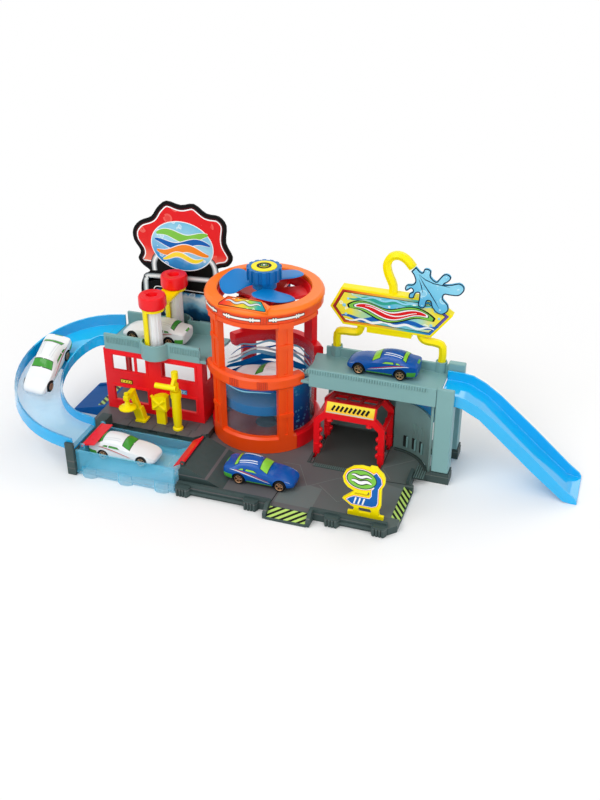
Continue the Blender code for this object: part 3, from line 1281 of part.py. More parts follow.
def make_dryer_arm(material):
    """Arm that swings on the post, with a long blower bar across its end."""
    foot = WORKSHOP_TOP + GAP
    low = between(foot, DRYER_TOP, 0.75) + RUNNING_GAP
    body = rod((DRYER_X, DRYER_Y, low), (DRYER_X, DRYER_Y, DRYER_BAR_Z + DRYER_ARM_RISE), DRYER_PIN)
    fuse(body, rod((DRYER_X, DRYER_Y, DRYER_TOP + RUNNING_GAP), (DRYER_X, DRYER_Y, DRYER_BAR_Z),
                   DRYER_RADIUS * 0.7))
    bar_y = DRYER_Y - DRYER_ARM_REACH
    fuse(body, rod((DRYER_X, DRYER_Y, DRYER_BAR_Z + DRYER_ARM_RISE * 0.55),
                   (DRYER_X, DRYER_Y, DRYER_BAR_Z + DRYER_ARM_RISE + DRYER_PIN), DRYER_BAR_RADIUS * 1.25))
    fuse(body, rod((DRYER_X, DRYER_Y + SINK, DRYER_BAR_Z + DRYER_ARM_RISE * 0.8),
                   (DRYER_X, bar_y, DRYER_BAR_Z), DRYER_PIN))
    fuse(body, rod((DRYER_X - DRYER_BAR_LENGTH * 0.78, bar_y, DRYER_BAR_Z),
                   (DRYER_X + DRYER_BAR_LENGTH * 0.22, bar_y, DRYER_BAR_Z),
                   DRYER_BAR_RADIUS))
    return finish(body, "dryer_arm", material, (DRYER_X, DRYER_Y, DRYER_TOP))


def tower_column(angle):
    """One stepped column with a groove down its face."""
    half = COLUMN_WIDTH / 2.0
    low = TOWER_BASE_TOP - WALL
    body = box((TOWER_INNER, -half, low), (TOWER_OUTER, half, COLUMN_TOP))
    cut(body, box((TOWER_OUTER - FRAME_RAISE, -half * 0.25, TOWER_BASE_TOP + WALL),
                  (TOWER_OUTER + OVERRUN, half * 0.25, MID_LOW - WALL)))
    cut(body, box((TOWER_OUTER - FRAME_RAISE, -half * 0.25, MID_HIGH + WALL),
                  (TOWER_OUTER + OVERRUN, half * 0.25, COLUMN_TOP - WALL * 2.0)))
    for z in (between(TOWER_BASE_TOP, MID_LOW, 0.45), between(MID_HIGH, COLUMN_TOP, 0.55)):
        fuse(body, box((TOWER_OUTER - SINK, -half, z - WALL), (TOWER_OUTER + FRAME_RAISE, half, z + WALL)))
    fuse(body, box((TOWER_OUTER - SINK, -half, COLUMN_TOP - WALL * 3.0),
                   (TOWER_OUTER + WALL, half, COLUMN_TOP)))
    cut(body, rod((0.0, 0.0, low - OVERRUN), (0.0, 0.0, COLUMN_TOP + OVERRUN), TOWER_INNER + SINK,
                  steps=CIRCLE_STEPS))
    body.data.transform(Matrix.Rotation(angle, 4, "Z"))
    return body


def make_tower_frame(name, material, middle, base_half, upper_half):
    """Half of the tower: base ring, two columns, middle ring and, where wanted, an upper ring in one moulding."""
    low = TRAY_TOP + GAP
    start = middle - base_half + SEAM_GAP_ANGLE / 2.0
    sweep = base_half * 2.0 - SEAM_GAP_ANGLE
    steps = max(8, int(CIRCLE_STEPS * sweep / FULL_TURN))
    body = turned([(TOWER_INNER, low), (TOWER_OUTER, low), (TOWER_OUTER, TOWER_BASE_TOP - WALL),
                   (TOWER_OUTER - WALL, TOWER_BASE_TOP),
                   (TOWER_INNER, TOWER_BASE_TOP)], (0.0, 0.0), steps, start, sweep)
    for side in (-1.0, 1.0):
        fuse(body, tower_column(middle + side * COLUMN_ANGLE))
    sweep = MID_SEAM_ANGLE * 2.0
    band = turned([(TOWER_INNER, MID_LOW), (TOWER_OUTER, MID_LOW), (TOWER_RIM, MID_LOW + WALL * 1.5),
                   (TOWER_RIM, MID_HIGH - WALL),
                   (TOWER_RIM - WALL, MID_HIGH), (TOWER_INNER, MID_HIGH)], (0.0, 0.0),
                   int(CIRCLE_STEPS * sweep / FULL_TURN),
                  middle - MID_SEAM_ANGLE, sweep)
    fuse(body, band)
    if upper_half > 0.0:
        rim = TOWER_OUTER + WALL * 0.8
        top = COLUMN_TOP - SINK / 2.0
        steps = int(CIRCLE_STEPS * upper_half * 2.0 / FULL_TURN)
        upper = turned([(TOWER_INNER, UPPER_LOW), (rim - SINK, UPPER_LOW), (rim, UPPER_LOW + SINK),
                        (rim, top), (TOWER_INNER, top)],
                       (0.0, 0.0), steps, middle - upper_half, upper_half * 2.0)
        fuse(body, upper)
    return finish(body, name, material)


def make_tank(material):
    """Clear cup with a ring boss on its floor and a socket for the screw."""
    low = TRAY_TOP + GAP
    floor = low + TANK_FLOOR_SKIN
    inner = TANK_RADIUS - TANK_WALL
    rim = DECK_TOP - GAP
    body = turned([(0.0, low), (TANK_RADIUS, low), (TANK_RADIUS, rim), (inner, rim), (inner, floor),
                   (TANK_BOSS_RADIUS, floor),
                   (TANK_BOSS_RADIUS, floor + TANK_BOSS_HEIGHT), (TANK_BOSS_HOLE, floor + TANK_BOSS_HEIGHT),
                   (TANK_BOSS_HOLE, floor), (0.0, floor)])
    y = screw_y()
    socket = turned([(SCREW_RADIUS + SHAFT_GAP, floor - SINK), (SCREW_COLLAR, floor - SINK),
                     (SCREW_COLLAR, floor + SCREW_SOCKET_HEIGHT),
                     (SCREW_RADIUS + SHAFT_GAP, floor + SCREW_SOCKET_HEIGHT)], (0.0, y), SMALL_STEPS)
    fuse(body, socket)
    return finish(body, "water_tank", material)


def screw_y():
    """How far behind the tower's axis the lift screw stands."""
    return GEAR_MODULE * (DRIVE_TEETH + SCREW_TEETH) / 2.0


def tank_floor():
    """Height of the tank's inner floor."""
    return TRAY_TOP + GAP + TANK_FLOOR_SKIN


def make_lift_platform(material):
    """Round platform with a skirt and the nut that runs on the screw."""
    radius = TANK_RADIUS - TANK_WALL - LIFT_GAP
    under = LIFT_TOP - LIFT_SKIN
    body = turned([(0.0, under), (radius - WALL, under), (radius - WALL, LIFT_TOP - LIFT_SKIRT),
                   (radius, LIFT_TOP - LIFT_SKIRT),
                   (radius, LIFT_TOP), (0.0, LIFT_TOP)])
    y = screw_y()
    fuse(body, rod((0.0, y, LIFT_TOP - NUT_LENGTH), (0.0, y, LIFT_TOP), SCREW_COLLAR))
    cut(body, rod((0.0, y, LIFT_TOP - NUT_LENGTH - OVERRUN), (0.0, y, LIFT_TOP + OVERRUN),
                  SCREW_RADIUS + SHAFT_GAP))
    return finish(body, "lift_platform", material, (0.0, 0.0, LIFT_TOP))


def gear_outline(teeth, module, centre, phase):
    """Straight-sided teeth with tip and root at the usual heights."""
    pitch = module * teeth / 2.0
    tip = pitch + module * 0.9
    root = pitch - module * 1.15
    step = FULL_TURN / teeth
    width = step * GEAR_BACKLASH_SHARE
    points = []
    for index in range(teeth):
        middle = phase + step * index
        for offset, radius in ((-0.78, root), (-0.26, tip), (0.26, tip), (0.78, root)):
            angle = middle + width * offset
            points.append((centre[0] + radius * math.cos(angle), centre[1] + radius * math.sin(angle)))
    return points


def circle_points(radius, centre, steps):
    """Points of a circle."""
    return [(centre[0] + radius * math.cos(FULL_TURN * index / steps),
             centre[1] + radius * math.sin(FULL_TURN * index / steps))
            for index in range(steps)]


def make_drive_gear(material):
    """Large gear on the fan's shaft, lightened by round holes."""
    low = GEAR_TOP - GEAR_HEIGHT
    ring = GEAR_MODULE * DRIVE_TEETH / 4.0
    holes = [circle_points(SHAFT_RADIUS + GAP, (0.0, 0.0), SMALL_STEPS)]
    for index in range(GEAR_WEB_HOLES):
        angle = FULL_TURN * (index + 0.5) / GEAR_WEB_HOLES
        holes.append(circle_points(GEAR_WEB_HOLE_RADIUS, (ring * math.cos(angle), ring * math.sin(angle)),
                                   8))
    body = plate(gear_outline(DRIVE_TEETH, GEAR_MODULE, (0.0, 0.0), FULL_TURN / 4.0), low, GEAR_TOP, "Z",
                 holes)
    return finish(body, "drive_gear", material, (0.0, 0.0, low), smooth=0.3)


def make_lead_screw(material):
    """Upright screw beside the tank's rear wall, with its collar and gear."""
    y = screw_y()
    low = tank_floor() + GAP
    gear_low = GEAR_TOP - GEAR_HEIGHT
    top = CROWN_LOW + SPIDER_ARM_HEIGHT * 0.75
    body = turned([(0.0, low), (SCREW_RADIUS, low), (SCREW_RADIUS, gear_low - WALL),
                   (SCREW_COLLAR, gear_low - WALL),
                   (SCREW_COLLAR, GEAR_TOP + GAP), (SHAFT_RADIUS / 2.0, GEAR_TOP + GAP),
                   (SHAFT_RADIUS / 2.0, top), (0.0, top)],
                  (0.0, y), SMALL_STEPS)
    phase = -FULL_TURN / 4.0 + FULL_TURN / SCREW_TEETH / 2.0
    fuse(body, plate(gear_outline(SCREW_TEETH, GEAR_MODULE, (0.0, y), phase), gear_low, GEAR_TOP, "Z"))
    return finish(body, "lead_screw", material, (0.0, y, low))


def make_crown_spider(material):
    """Tapered ring with broad arms that carries the fan's shaft and the screw's top."""
    low = CROWN_LOW
    outer = CROWN_INNER - GAP
    body = turned([(SPIDER_LOW_RADIUS, low), (outer, low), (outer, SPIDER_TOP),
                   (outer - THIN_WALL, SPIDER_TOP),
                   (SPIDER_LOW_RADIUS, low + WALL)])
    arm_top = low + SPIDER_ARM_HEIGHT
    fuse(body, rod((0.0, 0.0, low), (0.0, 0.0, arm_top + WALL), SPIDER_HUB, steps=CIRCLE_STEPS // 2))
    for share in SPIDER_ARM_TURN_SHARES:
        arm = box((0.0, -SPIDER_ARM_WIDTH / 2.0, low + SINK / 2.0),
                  (SPIDER_LOW_RADIUS + WALL / 2.0, SPIDER_ARM_WIDTH / 2.0, arm_top))
        arm.data.transform(Matrix.Rotation(FULL_TURN * share, 4, "Z"))
        fuse(body, arm)
    cut(body, rod((0.0, 0.0, low - OVERRUN), (0.0, 0.0, arm_top + WALL + OVERRUN),
                  SHAFT_RADIUS + SHAFT_GAP))
    y = screw_y()
    cut(body, rod((0.0, y, low - OVERRUN), (0.0, y, arm_top + OVERRUN), SHAFT_RADIUS / 2.0 + SHAFT_GAP,
                  steps=12))
    return finish(body, "crown_spider", material)


def make_crown(material):
    """Crown ring with a leaning label block on its front left."""
    body = turned([(CROWN_INNER, CROWN_LOW + GAP), (CROWN_BAND, CROWN_LOW),
                   (CROWN_BAND, CROWN_LIP - THIN_WALL), (CROWN_OUTER, CROWN_LIP),
                   (CROWN_OUTER, CROWN_TOP - CROWN_ROUND * 1.5),
                   (CROWN_OUTER - CROWN_ROUND * 0.5, CROWN_TOP - CROWN_ROUND * 0.5),
                   (CROWN_OUTER - CROWN_ROUND * 1.4, CROWN_TOP),
                   (CROWN_INNER + CROWN_ROUND * 0.3, CROWN_TOP),
                   (CROWN_INNER, CROWN_TOP - CROWN_ROUND * 0.3)])
    half = LABEL_WIDTH / 2.0
    chord = math.sqrt(CROWN_OUTER ** 2 - half ** 2)
    back = FAN_RADIUS + RUNNING_GAP + THIN_WALL
    block = plate([(chord + THIN_WALL, CROWN_TOP - CROWN_ROUND), (back, CROWN_TOP + LABEL_RISE),
                   (back - THIN_WALL, CROWN_TOP + LABEL_RISE),
                   (back - THIN_WALL, CROWN_TOP - CROWN_ROUND)], -half, half, "Y")
    corner = LABEL_WIDTH * 0.16
    for side in (-1.0, 1.0):
        cut(block, plate([(side * (half - corner), CROWN_TOP + LABEL_RISE + OVERRUN),
                          (side * (half + OVERRUN), CROWN_TOP + LABEL_RISE + OVERRUN),
                          (side * (half + OVERRUN), CROWN_TOP + LABEL_RISE * 0.1)], 0.0, CROWN_OUTER + WALL,
                          "X"))
    block.data.transform(Matrix.Rotation(LABEL_ANGLE, 4, "Z"))
    fuse(body, block)
    return finish(body, "crown_ring", material)


def make_fan(material):
    """Three broad pitched blades on a hub, with the shaft that drives the gear."""
    low = GEAR_TOP - GEAR_HEIGHT - WALL
    body = turned([(0.0, low), (SHAFT_RADIUS, low), (SHAFT_RADIUS, FAN_Z - WALL * 2.0),
                   (FAN_HUB, FAN_Z - WALL * 1.5),
                   (FAN_HUB, CRANK_LOW - GAP), (SHAFT_RADIUS, CRANK_LOW - GAP),
                   (SHAFT_RADIUS, CRANK_TOP - CAP_HEIGHT * 2.0 - GAP),
                   (0.0, CRANK_TOP - CAP_HEIGHT * 2.0 - GAP)], steps=CIRCLE_STEPS // 2)
    outline = smooth_points([(FAN_RADIUS * reach * math.cos(turn), FAN_RADIUS * reach * math.sin(turn))
                             for reach, turn in FAN_BLADE_SHARES], 2, True, (0, 8))
    for index in range(FAN_BLADES):
        blade = plate(outline, -FAN_BLADE / 2.0, FAN_BLADE / 2.0, "Z")
        turn = Matrix.Rotation(FAN_START + FULL_TURN * index / FAN_BLADES, 4, "Z")
        blade.data.transform(Matrix.Translation((0.0, 0.0, FAN_Z)) @ turn @ Matrix.Rotation(FAN_PITCH, 4,
                                                                                            "X"))
        fuse(body, blade)
    return finish(body, "fan_rotor", material, (0.0, 0.0, FAN_Z))


def make_crank_knob(material):
    """Fluted knob pressed on the fan's shaft, recessed on top for its cap."""
    outline = fluted_circle(CRANK_RADIUS, CRANK_FLUTE_DEPTH, CRANK_FLUTES, (0.0, 0.0))
    body = plate(outline, CRANK_LOW, CRANK_TOP, "Z")
    cut(body, rod((0.0, 0.0, CRANK_TOP - CAP_HEIGHT), (0.0, 0.0, CRANK_TOP + OVERRUN), CAP_RADIUS + GAP,
                  steps=CIRCLE_STEPS // 2))
    cut(body, rod((0.0, 0.0, CRANK_LOW - OVERRUN), (0.0, 0.0, CRANK_TOP), SHAFT_RADIUS + GAP))
    return finish(body, "crank_knob", material, (0.0, 0.0, CRANK_LOW), smooth=0.3)


def make_knob_cap(material):
    """Round cap with a raised ring that closes the knob's recess."""
    low = CRANK_TOP - CAP_HEIGHT + GAP
    high = CRANK_TOP + CAP_HEIGHT / 2.0
    ring = CAP_RADIUS * CAP_HUB_SHARE
    body = turned([(0.0, low), (CAP_RADIUS, low), (CAP_RADIUS, high - GAP), (CAP_RADIUS - GAP * 2.0, high),
                   (ring, high),
                   (ring, high + CAP_HEIGHT / 3.0), (0.0, high + CAP_HEIGHT / 3.0)],
                   steps=CIRCLE_STEPS // 2)
    return finish(body, "knob_cap", material, (0.0, 0.0, CRANK_TOP))


def make_right_deck(material):
    """Deck between the tower and the exit ramp, with sockets for the sign's legs."""
    low = DECK_TOP - DECK_SKIN
    left = TANK_RADIUS - WALL
    body = deck_floor(left, RIGHT_DECK_RIGHT, RIGHT_DECK_FRONT + SINK, DECK_BACK - SINK, 1.0)
    wall_left = TOWER_RIM - WALL
    fuse(body, box((wall_left, RIGHT_DECK_FRONT, low - PARAPET_DROP / 2.0),
                   (RIGHT_DECK_RIGHT, RIGHT_DECK_FRONT + DECK_WALL, PARAPET_TOP)))
    fuse(body, box((wall_left, DECK_BACK - DECK_WALL, low), (RIGHT_DECK_RIGHT, DECK_BACK, RIGHT_BACK_TOP)))
    for x in leg_places():
        fuse(body, rod((x, LEG_Y, low), (x, LEG_Y, RIGHT_BACK_TOP + WALL), SOCKET_RADIUS, steps=8))
        cut(body, rod((x, LEG_Y, RIGHT_BACK_TOP - WALL * 2.0), (x, LEG_Y, RIGHT_BACK_TOP + WALL + OVERRUN),
                      LEG_RADIUS + GAP))
    cut_tower_room(body)
    return finish(body, "right_deck", material)


def leg_places():
    """Where the sign's two legs stand along the deck."""
    return [between(SIGN_LEFT, SIGN_RIGHT, path[-1][0])
            for path in (LEG_PATH_SHARES, LEG_RIGHT_PATH_SHARES)]


def make_pillar(name, material, face_front, face_back, core_front, core_back, tuck):
    """Post with a broad face beside the ramp's mouth and a core below it."""
    left = RIGHT_DECK_RIGHT + GAP
    right = left + PILLAR_WIDTH
    low = ARM_TOP + GAP
    body = box((left, face_front, low), (right, face_back, PARAPET_TOP), FRAME_RAISE)
    fuse(body, box((left - tuck, core_front, low),
                   (right, core_back, RAMP_HEIGHT * RAMP_LOW_SHARES[0][1] - PILLAR_DROP),
                   FRAME_RAISE / 2.0))
    return finish(body, name, material)


def make_bay_wall(material):
    """Back and curved side wall of the wash bay, with a low grille and a high opening."""
    low = TRAY_TOP + GAP
    high = DECK_TOP - DECK_SKIN - GAP
    outer = BAY_WALL_INNER + WALL
    body = turned([(BAY_WALL_INNER, low), (outer, low), (outer, high), (BAY_WALL_INNER, high)],
                  (BAY_WALL_X, BAY_WALL_Y), 12,
                  BAY_WALL_END, FULL_TURN / 4.0 - BAY_WALL_END)
    corner_y = BAY_WALL_Y + BAY_WALL_INNER
    fuse(body, box((BAY_WALL_X - SINK, corner_y, low), (BAY_WALL_X + WALL, DECK_BACK, high)))
    fuse(body, box((BAY_BACK_LEFT, DECK_BACK - WALL, low),
                   (BAY_WALL_X + WALL - SINK / 2.0, DECK_BACK, high)))
    opening = turned([(BAY_WALL_INNER - WALL, PANE_LOW), (outer + WALL, PANE_LOW),
                      (outer + WALL, PANE_HIGH),
                      (BAY_WALL_INNER - WALL, PANE_HIGH)], (BAY_WALL_X, BAY_WALL_Y), 8, PANE_START,
                      PANE_END - PANE_START)
    cut(body, opening)
    for index in range(BAY_GRILL_RIBS):
        angle = BAY_GRILL_START + BAY_GRILL_STEP * index
        foot = (BAY_WALL_X + BAY_WALL_INNER * math.cos(angle),
                BAY_WALL_Y + BAY_WALL_INNER * math.sin(angle))
        fuse(body, rod((*foot, BAY_GRILL_LOW), (*foot, BAY_GRILL_HIGH), FRAME_RAISE, steps=6))
    return finish(body, "wash_bay_wall", material)


def make_bay_window(material):
    """Clear curved pane over the wash bay's high opening."""
    inner = BAY_WALL_INNER + WALL + GAP
    body = turned([(inner, PANE_LOW - PANE_LAP), (inner + WINDOW_PANE, PANE_LOW - PANE_LAP),
                   (inner + WINDOW_PANE, PANE_HIGH + PANE_LAP),
                   (inner, PANE_HIGH + PANE_LAP)], (BAY_WALL_X, BAY_WALL_Y), 10,
                   PANE_START - PANE_LAP_ANGLE,
                  PANE_END - PANE_START + PANE_LAP_ANGLE * 2.0)
    return finish(body, "wash_bay_window", material)


def arch_frame(front, back, top):
    """One upright frame of the wash arch, with chamfered shoulders."""
    foot = TRAY_TOP + GAP
    chamfer = ARCH_CHAMFER
    inner = ARCH_CHAMFER * 0.75
    outline = [(ARCH_LEFT, foot), (ARCH_LEFT + ARCH_LEG, foot),
               (ARCH_LEFT + ARCH_LEG, top - ARCH_BEAM - inner),
               (ARCH_LEFT + ARCH_LEG + inner, top - ARCH_BEAM),
               (ARCH_RIGHT - ARCH_LEG - inner, top - ARCH_BEAM),
               (ARCH_RIGHT - ARCH_LEG, top - ARCH_BEAM - inner), (ARCH_RIGHT - ARCH_LEG, foot),
               (ARCH_RIGHT, foot),
               (ARCH_RIGHT, top - chamfer), (ARCH_RIGHT - chamfer, top), (ARCH_LEFT + chamfer, top),
               (ARCH_LEFT, top - chamfer)]
    body = plate(outline, front, back, "Y")
    for x in (ARCH_LEFT + ARCH_LEG / 2.0, ARCH_RIGHT - ARCH_LEG / 2.0):
        fuse(body, box((x - TONGUE_WIDTH / 2.0, front + SINK, TONGUE_LOW),
                       (x + TONGUE_WIDTH / 2.0, back - SINK, foot + SINK)))
        fuse(body, box((x - TONGUE_HEAD / 2.0, front + SINK, TONGUE_LOW),
                       (x + TONGUE_HEAD / 2.0, back - SINK, TONGUE_HEAD_TOP)))
        bulb = ARCH_LEG * 0.62
        middle = (front + back) / 2.0
        fuse(body, rod((x, middle, foot), (x, middle, foot + bulb), bulb * 0.8, bulb, steps=12))
        fuse(body, rod((x, middle, foot + bulb - SINK / 2.0), (x, middle, foot + ARCH_FOOT), bulb,
                       steps=12))
    for side, wall_x in ((1.0, ARCH_LEFT + ARCH_LEG), (-1.0, ARCH_RIGHT - ARCH_LEG)):
        for share in NOZZLE_SHARES:
            z = between(foot, top, share)
            y = (front + back) / 2.0
            fuse(body, rod((wall_x - side * SINK, y, z), (wall_x + side * NOZZLE_LENGTH, y, z),
                           NOZZLE_RADIUS, NOZZLE_RADIUS * 0.6, steps=6))
    return body


def make_wash_arch(material):
    """Two frames joined by rails and a sloping label panel; its tongues run in the tray's slots."""
    body = arch_frame(ARCH_FRONT, ARCH_FRONT + ARCH_FRAME, ARCH_TOP)
    fuse(body, arch_frame(ARCH_BACK - ARCH_FRAME, ARCH_BACK, ARCH_BACK_TOP))
    near = ARCH_FRONT + ARCH_FRAME - SINK
    far = ARCH_BACK - ARCH_FRAME + SINK
    for x in (ARCH_LEFT + SINK, ARCH_RIGHT - ARCH_RAIL - SINK):
        z = ARCH_TOP - ARCH_CHAMFER - ARCH_RAIL
        fuse(body, box((x, near, z), (x + ARCH_RAIL, far, z + ARCH_RAIL)))
    panel_top = ARCH_TOP + PANEL_RISE - PANEL_THICKNESS
    panel_left = ARCH_LEFT + ARCH_CHAMFER + SINK
    panel_right = ARCH_RIGHT - ARCH_CHAMFER - SINK
    fuse(body, plate([(ARCH_FRONT + SINK, ARCH_TOP - PANEL_THICKNESS), (ARCH_FRONT + PANEL_RUN, panel_top),
                      (ARCH_FRONT + PANEL_RUN + PANEL_THICKNESS * 2.0, panel_top),
                      (ARCH_FRONT + PANEL_RUN + PANEL_THICKNESS * 2.0, panel_top - PANEL_THICKNESS * 1.5),
                      (ARCH_FRONT + PANEL_THICKNESS * 2.0, ARCH_TOP - PANEL_THICKNESS * 2.5)], panel_left,
                      panel_right, "X"))
    ridge = ARCH_FRONT + PANEL_RUN
    roof = plate([(ridge, panel_top - PANEL_THICKNESS * 1.2), (ridge, panel_top - SINK / 2.0),
                  (far, ARCH_BACK_TOP - SINK),
                  (far, ARCH_BACK_TOP - ARCH_RAIL)], panel_left + SINK / 2.0, panel_right - SINK / 2.0, "X")
    for shares in TOP_SLOT_SHARES:
        x0, x1 = (between(panel_left, panel_right, share) for share in shares)
        cut(roof, box((x0, between(ridge, far, 0.38), ARCH_TOP - ARCH_RAIL),
                      (x1, between(ridge, far, 0.80), panel_top + OVERRUN)))
    fuse(body, roof)
    for share in (0.22, 0.78):
        x = between(ARCH_LEFT, ARCH_RIGHT, share)
        y = ARCH_FRONT + ARCH_FRAME / 2.0
        z = ARCH_TOP - ARCH_BEAM
        fuse(body, rod((x, y, z + SINK), (x, y, z - SPRAY_HEIGHT), SPRAY_RADIUS * 0.7, SPRAY_RADIUS,
                       steps=12))
    return finish(body, "wash_arch", material, (between(ARCH_LEFT, ARCH_RIGHT, 0.5), ARCH_FRONT, TRAY_TOP))


def make_exit_ramp(material):
    """Clear channel that curves over from the deck and runs straight down."""
    lower = scaled(RAMP_LOW_SHARES, RAMP_START, RAMP_END, 0.0, RAMP_HEIGHT)
    upper = scaled(RAMP_HIGH_SHARES, RAMP_START, RAMP_END, 0.0, RAMP_HEIGHT)
    body = plate(lower + upper, RAMP_FRONT, RAMP_BACK, "Y")
    raised = [(x, z + RAMP_SKIN) for x, z in lower]
    raised[0] = (RAMP_START - OVERRUN, raised[0][1])
    raised[-1] = (RAMP_END + OVERRUN, raised[-1][1])
    lid = RAMP_HEIGHT + OVERRUN
    cut(body, plate(raised + [(RAMP_END + OVERRUN, lid), (RAMP_START - OVERRUN, lid)],
                    RAMP_FRONT + RAMP_WALL, RAMP_BACK - RAMP_WALL, "Y"))
    return finish(body, "exit_ramp", material)


def shrink(points, amount):
    """An outline drawn in by an amount on every side, for convex outlines."""
    count = len(points)
    area = sum(points[i][0] * points[(i + 1) % count][1] - points[(i + 1) % count][0] * points[i][1]
               for i in range(count))
    turn = 1.0 if area > 0.0 else -1.0
    lines = []
    for index in range(count):
        a = Vector(points[index])
        b = Vector(points[(index + 1) % count])
        along = (b - a).normalized()
        normal = Vector((-along.y, along.x)) * turn
        lines.append((a + normal * amount, along))
    result = []
    for index in range(count):
        (p, u), (q, v) = lines[index - 1], lines[index]
        cross = u.x * v.y - u.y * v.x
        reach = ((q.x - p.x) * v.y - (q.y - p.y) * v.x) / cross
        result.append(tuple(p + u * reach))
    return result


def path_points(shares, low, high, steps):
    """A smooth path in the sign's plane from shares of its width and of a height."""
    flat = [(between(SIGN_LEFT, SIGN_RIGHT, first), between(low, high, second)) for first, second in shares]
    return [(x, LEG_Y, z) for x, z in smooth_points(flat, steps, False)]


def make_sign_board(material):
    """Six-sided sign with a lower tray, two bent legs and a hose over its top."""
    outline = scaled(SIGN_SHARES, SIGN_LEFT, SIGN_RIGHT, SIGN_BOTTOM, SIGN_TOP)
    body = plate(outline, SIGN_FRONT, SIGN_BACK, "Y")
    cut(body, plate(shrink(outline, SIGN_BORDER), SIGN_FRONT - OVERRUN, SIGN_FRONT + SIGN_INSET, "Y"))
    left, right = (between(SIGN_LEFT, SIGN_RIGHT, share) for share in SIGN_TRAY_SHARES)
    fuse(body, box((left, SIGN_FRONT + SINK, SIGN_BOTTOM - SIGN_TRAY_DROP),
                   (right, SIGN_BACK - SINK, SIGN_BOTTOM + SIGN_BORDER)))
    foot = RIGHT_BACK_TOP - WALL * 2.0 + GAP
    for path in (LEG_PATH_SHARES, LEG_RIGHT_PATH_SHARES):
        points = [(x, LEG_Y, z) for x, z in smooth_points(
            [(between(SIGN_LEFT, SIGN_RIGHT, first), SIGN_BOTTOM + (SIGN_BOTTOM - foot) * second) for first,
             second in path], 3, False)]
        fuse(body, tube(points, LEG_RADIUS, 1))
    hose = path_points(HOSE_PATH_SHARES, SIGN_TOP - SIGN_BORDER, HOSE_TOP, 3)
    fuse(body, tube(hose, HOSE_RADIUS, 1))
    splash_back = SIGN_FRONT - GAP
    cut(body, plate(grown_splash(), splash_back - SPLASH_THICKNESS - OVERRUN, splash_back + GAP, "Y"))
    return finish(body, "sign_board", material)


def splash_outline():
    """The splash plate's lobed outline."""
    return smooth_points(scaled(SPLASH_SHARES, SPLASH_LEFT, SPLASH_RIGHT, SPLASH_BOTTOM, SPLASH_TOP), 2,
                         True, SPLASH_HARD_SHARES)


def grown_splash():
    """A rectangle a little larger than the splash plate, which keeps the hose's end clear of it."""
    return [(SPLASH_LEFT - GAP, SPLASH_BOTTOM), (SPLASH_RIGHT, SPLASH_BOTTOM),
            (SPLASH_RIGHT, SPLASH_TOP + OVERRUN),
            (SPLASH_LEFT - GAP, SPLASH_TOP + OVERRUN)]


def make_splash_plate(material):
    """Flat splash shape that leans on the sign's face at the hose's end."""
    back = SIGN_FRONT - GAP
    return finish(plate(splash_outline(), back - SPLASH_THICKNESS, back, "Y"), "splash_plate", material)


def make_arrow_sign(material):
    """Flat direction sign on a foot bar at the tray's front."""
    low = TRAY_TOP + GAP
    high = low + ARROW_HEIGHT
    frame = (ARROW_LEFT, ARROW_RIGHT, low, high)
    body = plate(scaled(ARROW_SHARES, *frame), ARROW_FRONT, ARROW_FRONT + ARROW_THICKNESS, "Y",
                 [scaled(ARROW_HOLE_SHARES, *frame), scaled(ARROW_FOOT_HOLE_SHARES, *frame)])
    return finish(body, "arrow_sign", material)


def track_place(share):
    """Centre, heading, floor height and bank of the curved track at a share of its length."""
    arc = math.pi * TRACK_RADIUS
    total = TRACK_TOP_STRAIGHT + arc + TRACK_LOW_STRAIGHT
    run = share * total
    ease = share * share * (3.0 - 2.0 * share)
    height = between(TRACK_TOP_Z, TRACK_LOW_Z, between(share, ease, 0.55))
    if run < TRACK_TOP_STRAIGHT:
        x = TRACK_CENTRE_X + TRACK_TOP_STRAIGHT - run
        return Vector((x, TRACK_CENTRE_Y + TRACK_RADIUS, height)), FULL_TURN / 4.0, 0.0
    if run > TRACK_TOP_STRAIGHT + arc:
        x = TRACK_CENTRE_X + run - TRACK_TOP_STRAIGHT - arc
        return Vector((x, TRACK_CENTRE_Y - TRACK_RADIUS, height)), FULL_TURN * 0.75, 0.0
    angle = FULL_TURN / 4.0 + (run - TRACK_TOP_STRAIGHT) / TRACK_RADIUS
    centre = Vector((TRACK_CENTRE_X + TRACK_RADIUS * math.cos(angle),
                     TRACK_CENTRE_Y + TRACK_RADIUS * math.sin(angle), height))
    return centre, angle, TRACK_BANK * math.sin(angle - FULL_TURN / 4.0)


def track_section(share):
    """The channel's eight corners at a share of the track's length."""
    centre, angle, bank = track_place(share)
    out = Vector((math.cos(angle), math.sin(angle), 0.0)) * math.cos(bank) + Vector((0.0, 0.0,
                                                                                     1.0)) * math.sin(bank)
    up = Vector((0.0, 0.0, 1.0)) * math.cos(bank) - Vector((math.cos(angle), math.sin(angle),
                                                            0.0)) * math.sin(bank)
    half = TRACK_WIDTH / 2.0
    inner = half - TRACK_WALL
    corners = [(-half, -TRACK_SKIN), (half, -TRACK_SKIN), (half, TRACK_RAIL), (inner, TRACK_RAIL),
               (inner, 0.0),
               (-inner, 0.0), (-inner, TRACK_RAIL * 0.8), (-half, TRACK_RAIL * 0.8)]
    return [centre + out * across + up * rise for across, rise in corners]


def make_track(name, material, low_share, high_share):
    """A length of the curved channel."""
    count = max(4, round(TRACK_STATIONS * (high_share - low_share)))
    shares = [between(low_share, high_share, index / count) for index in range(count + 1)]
    return finish(loft([track_section(share) for share in shares]), name, material)


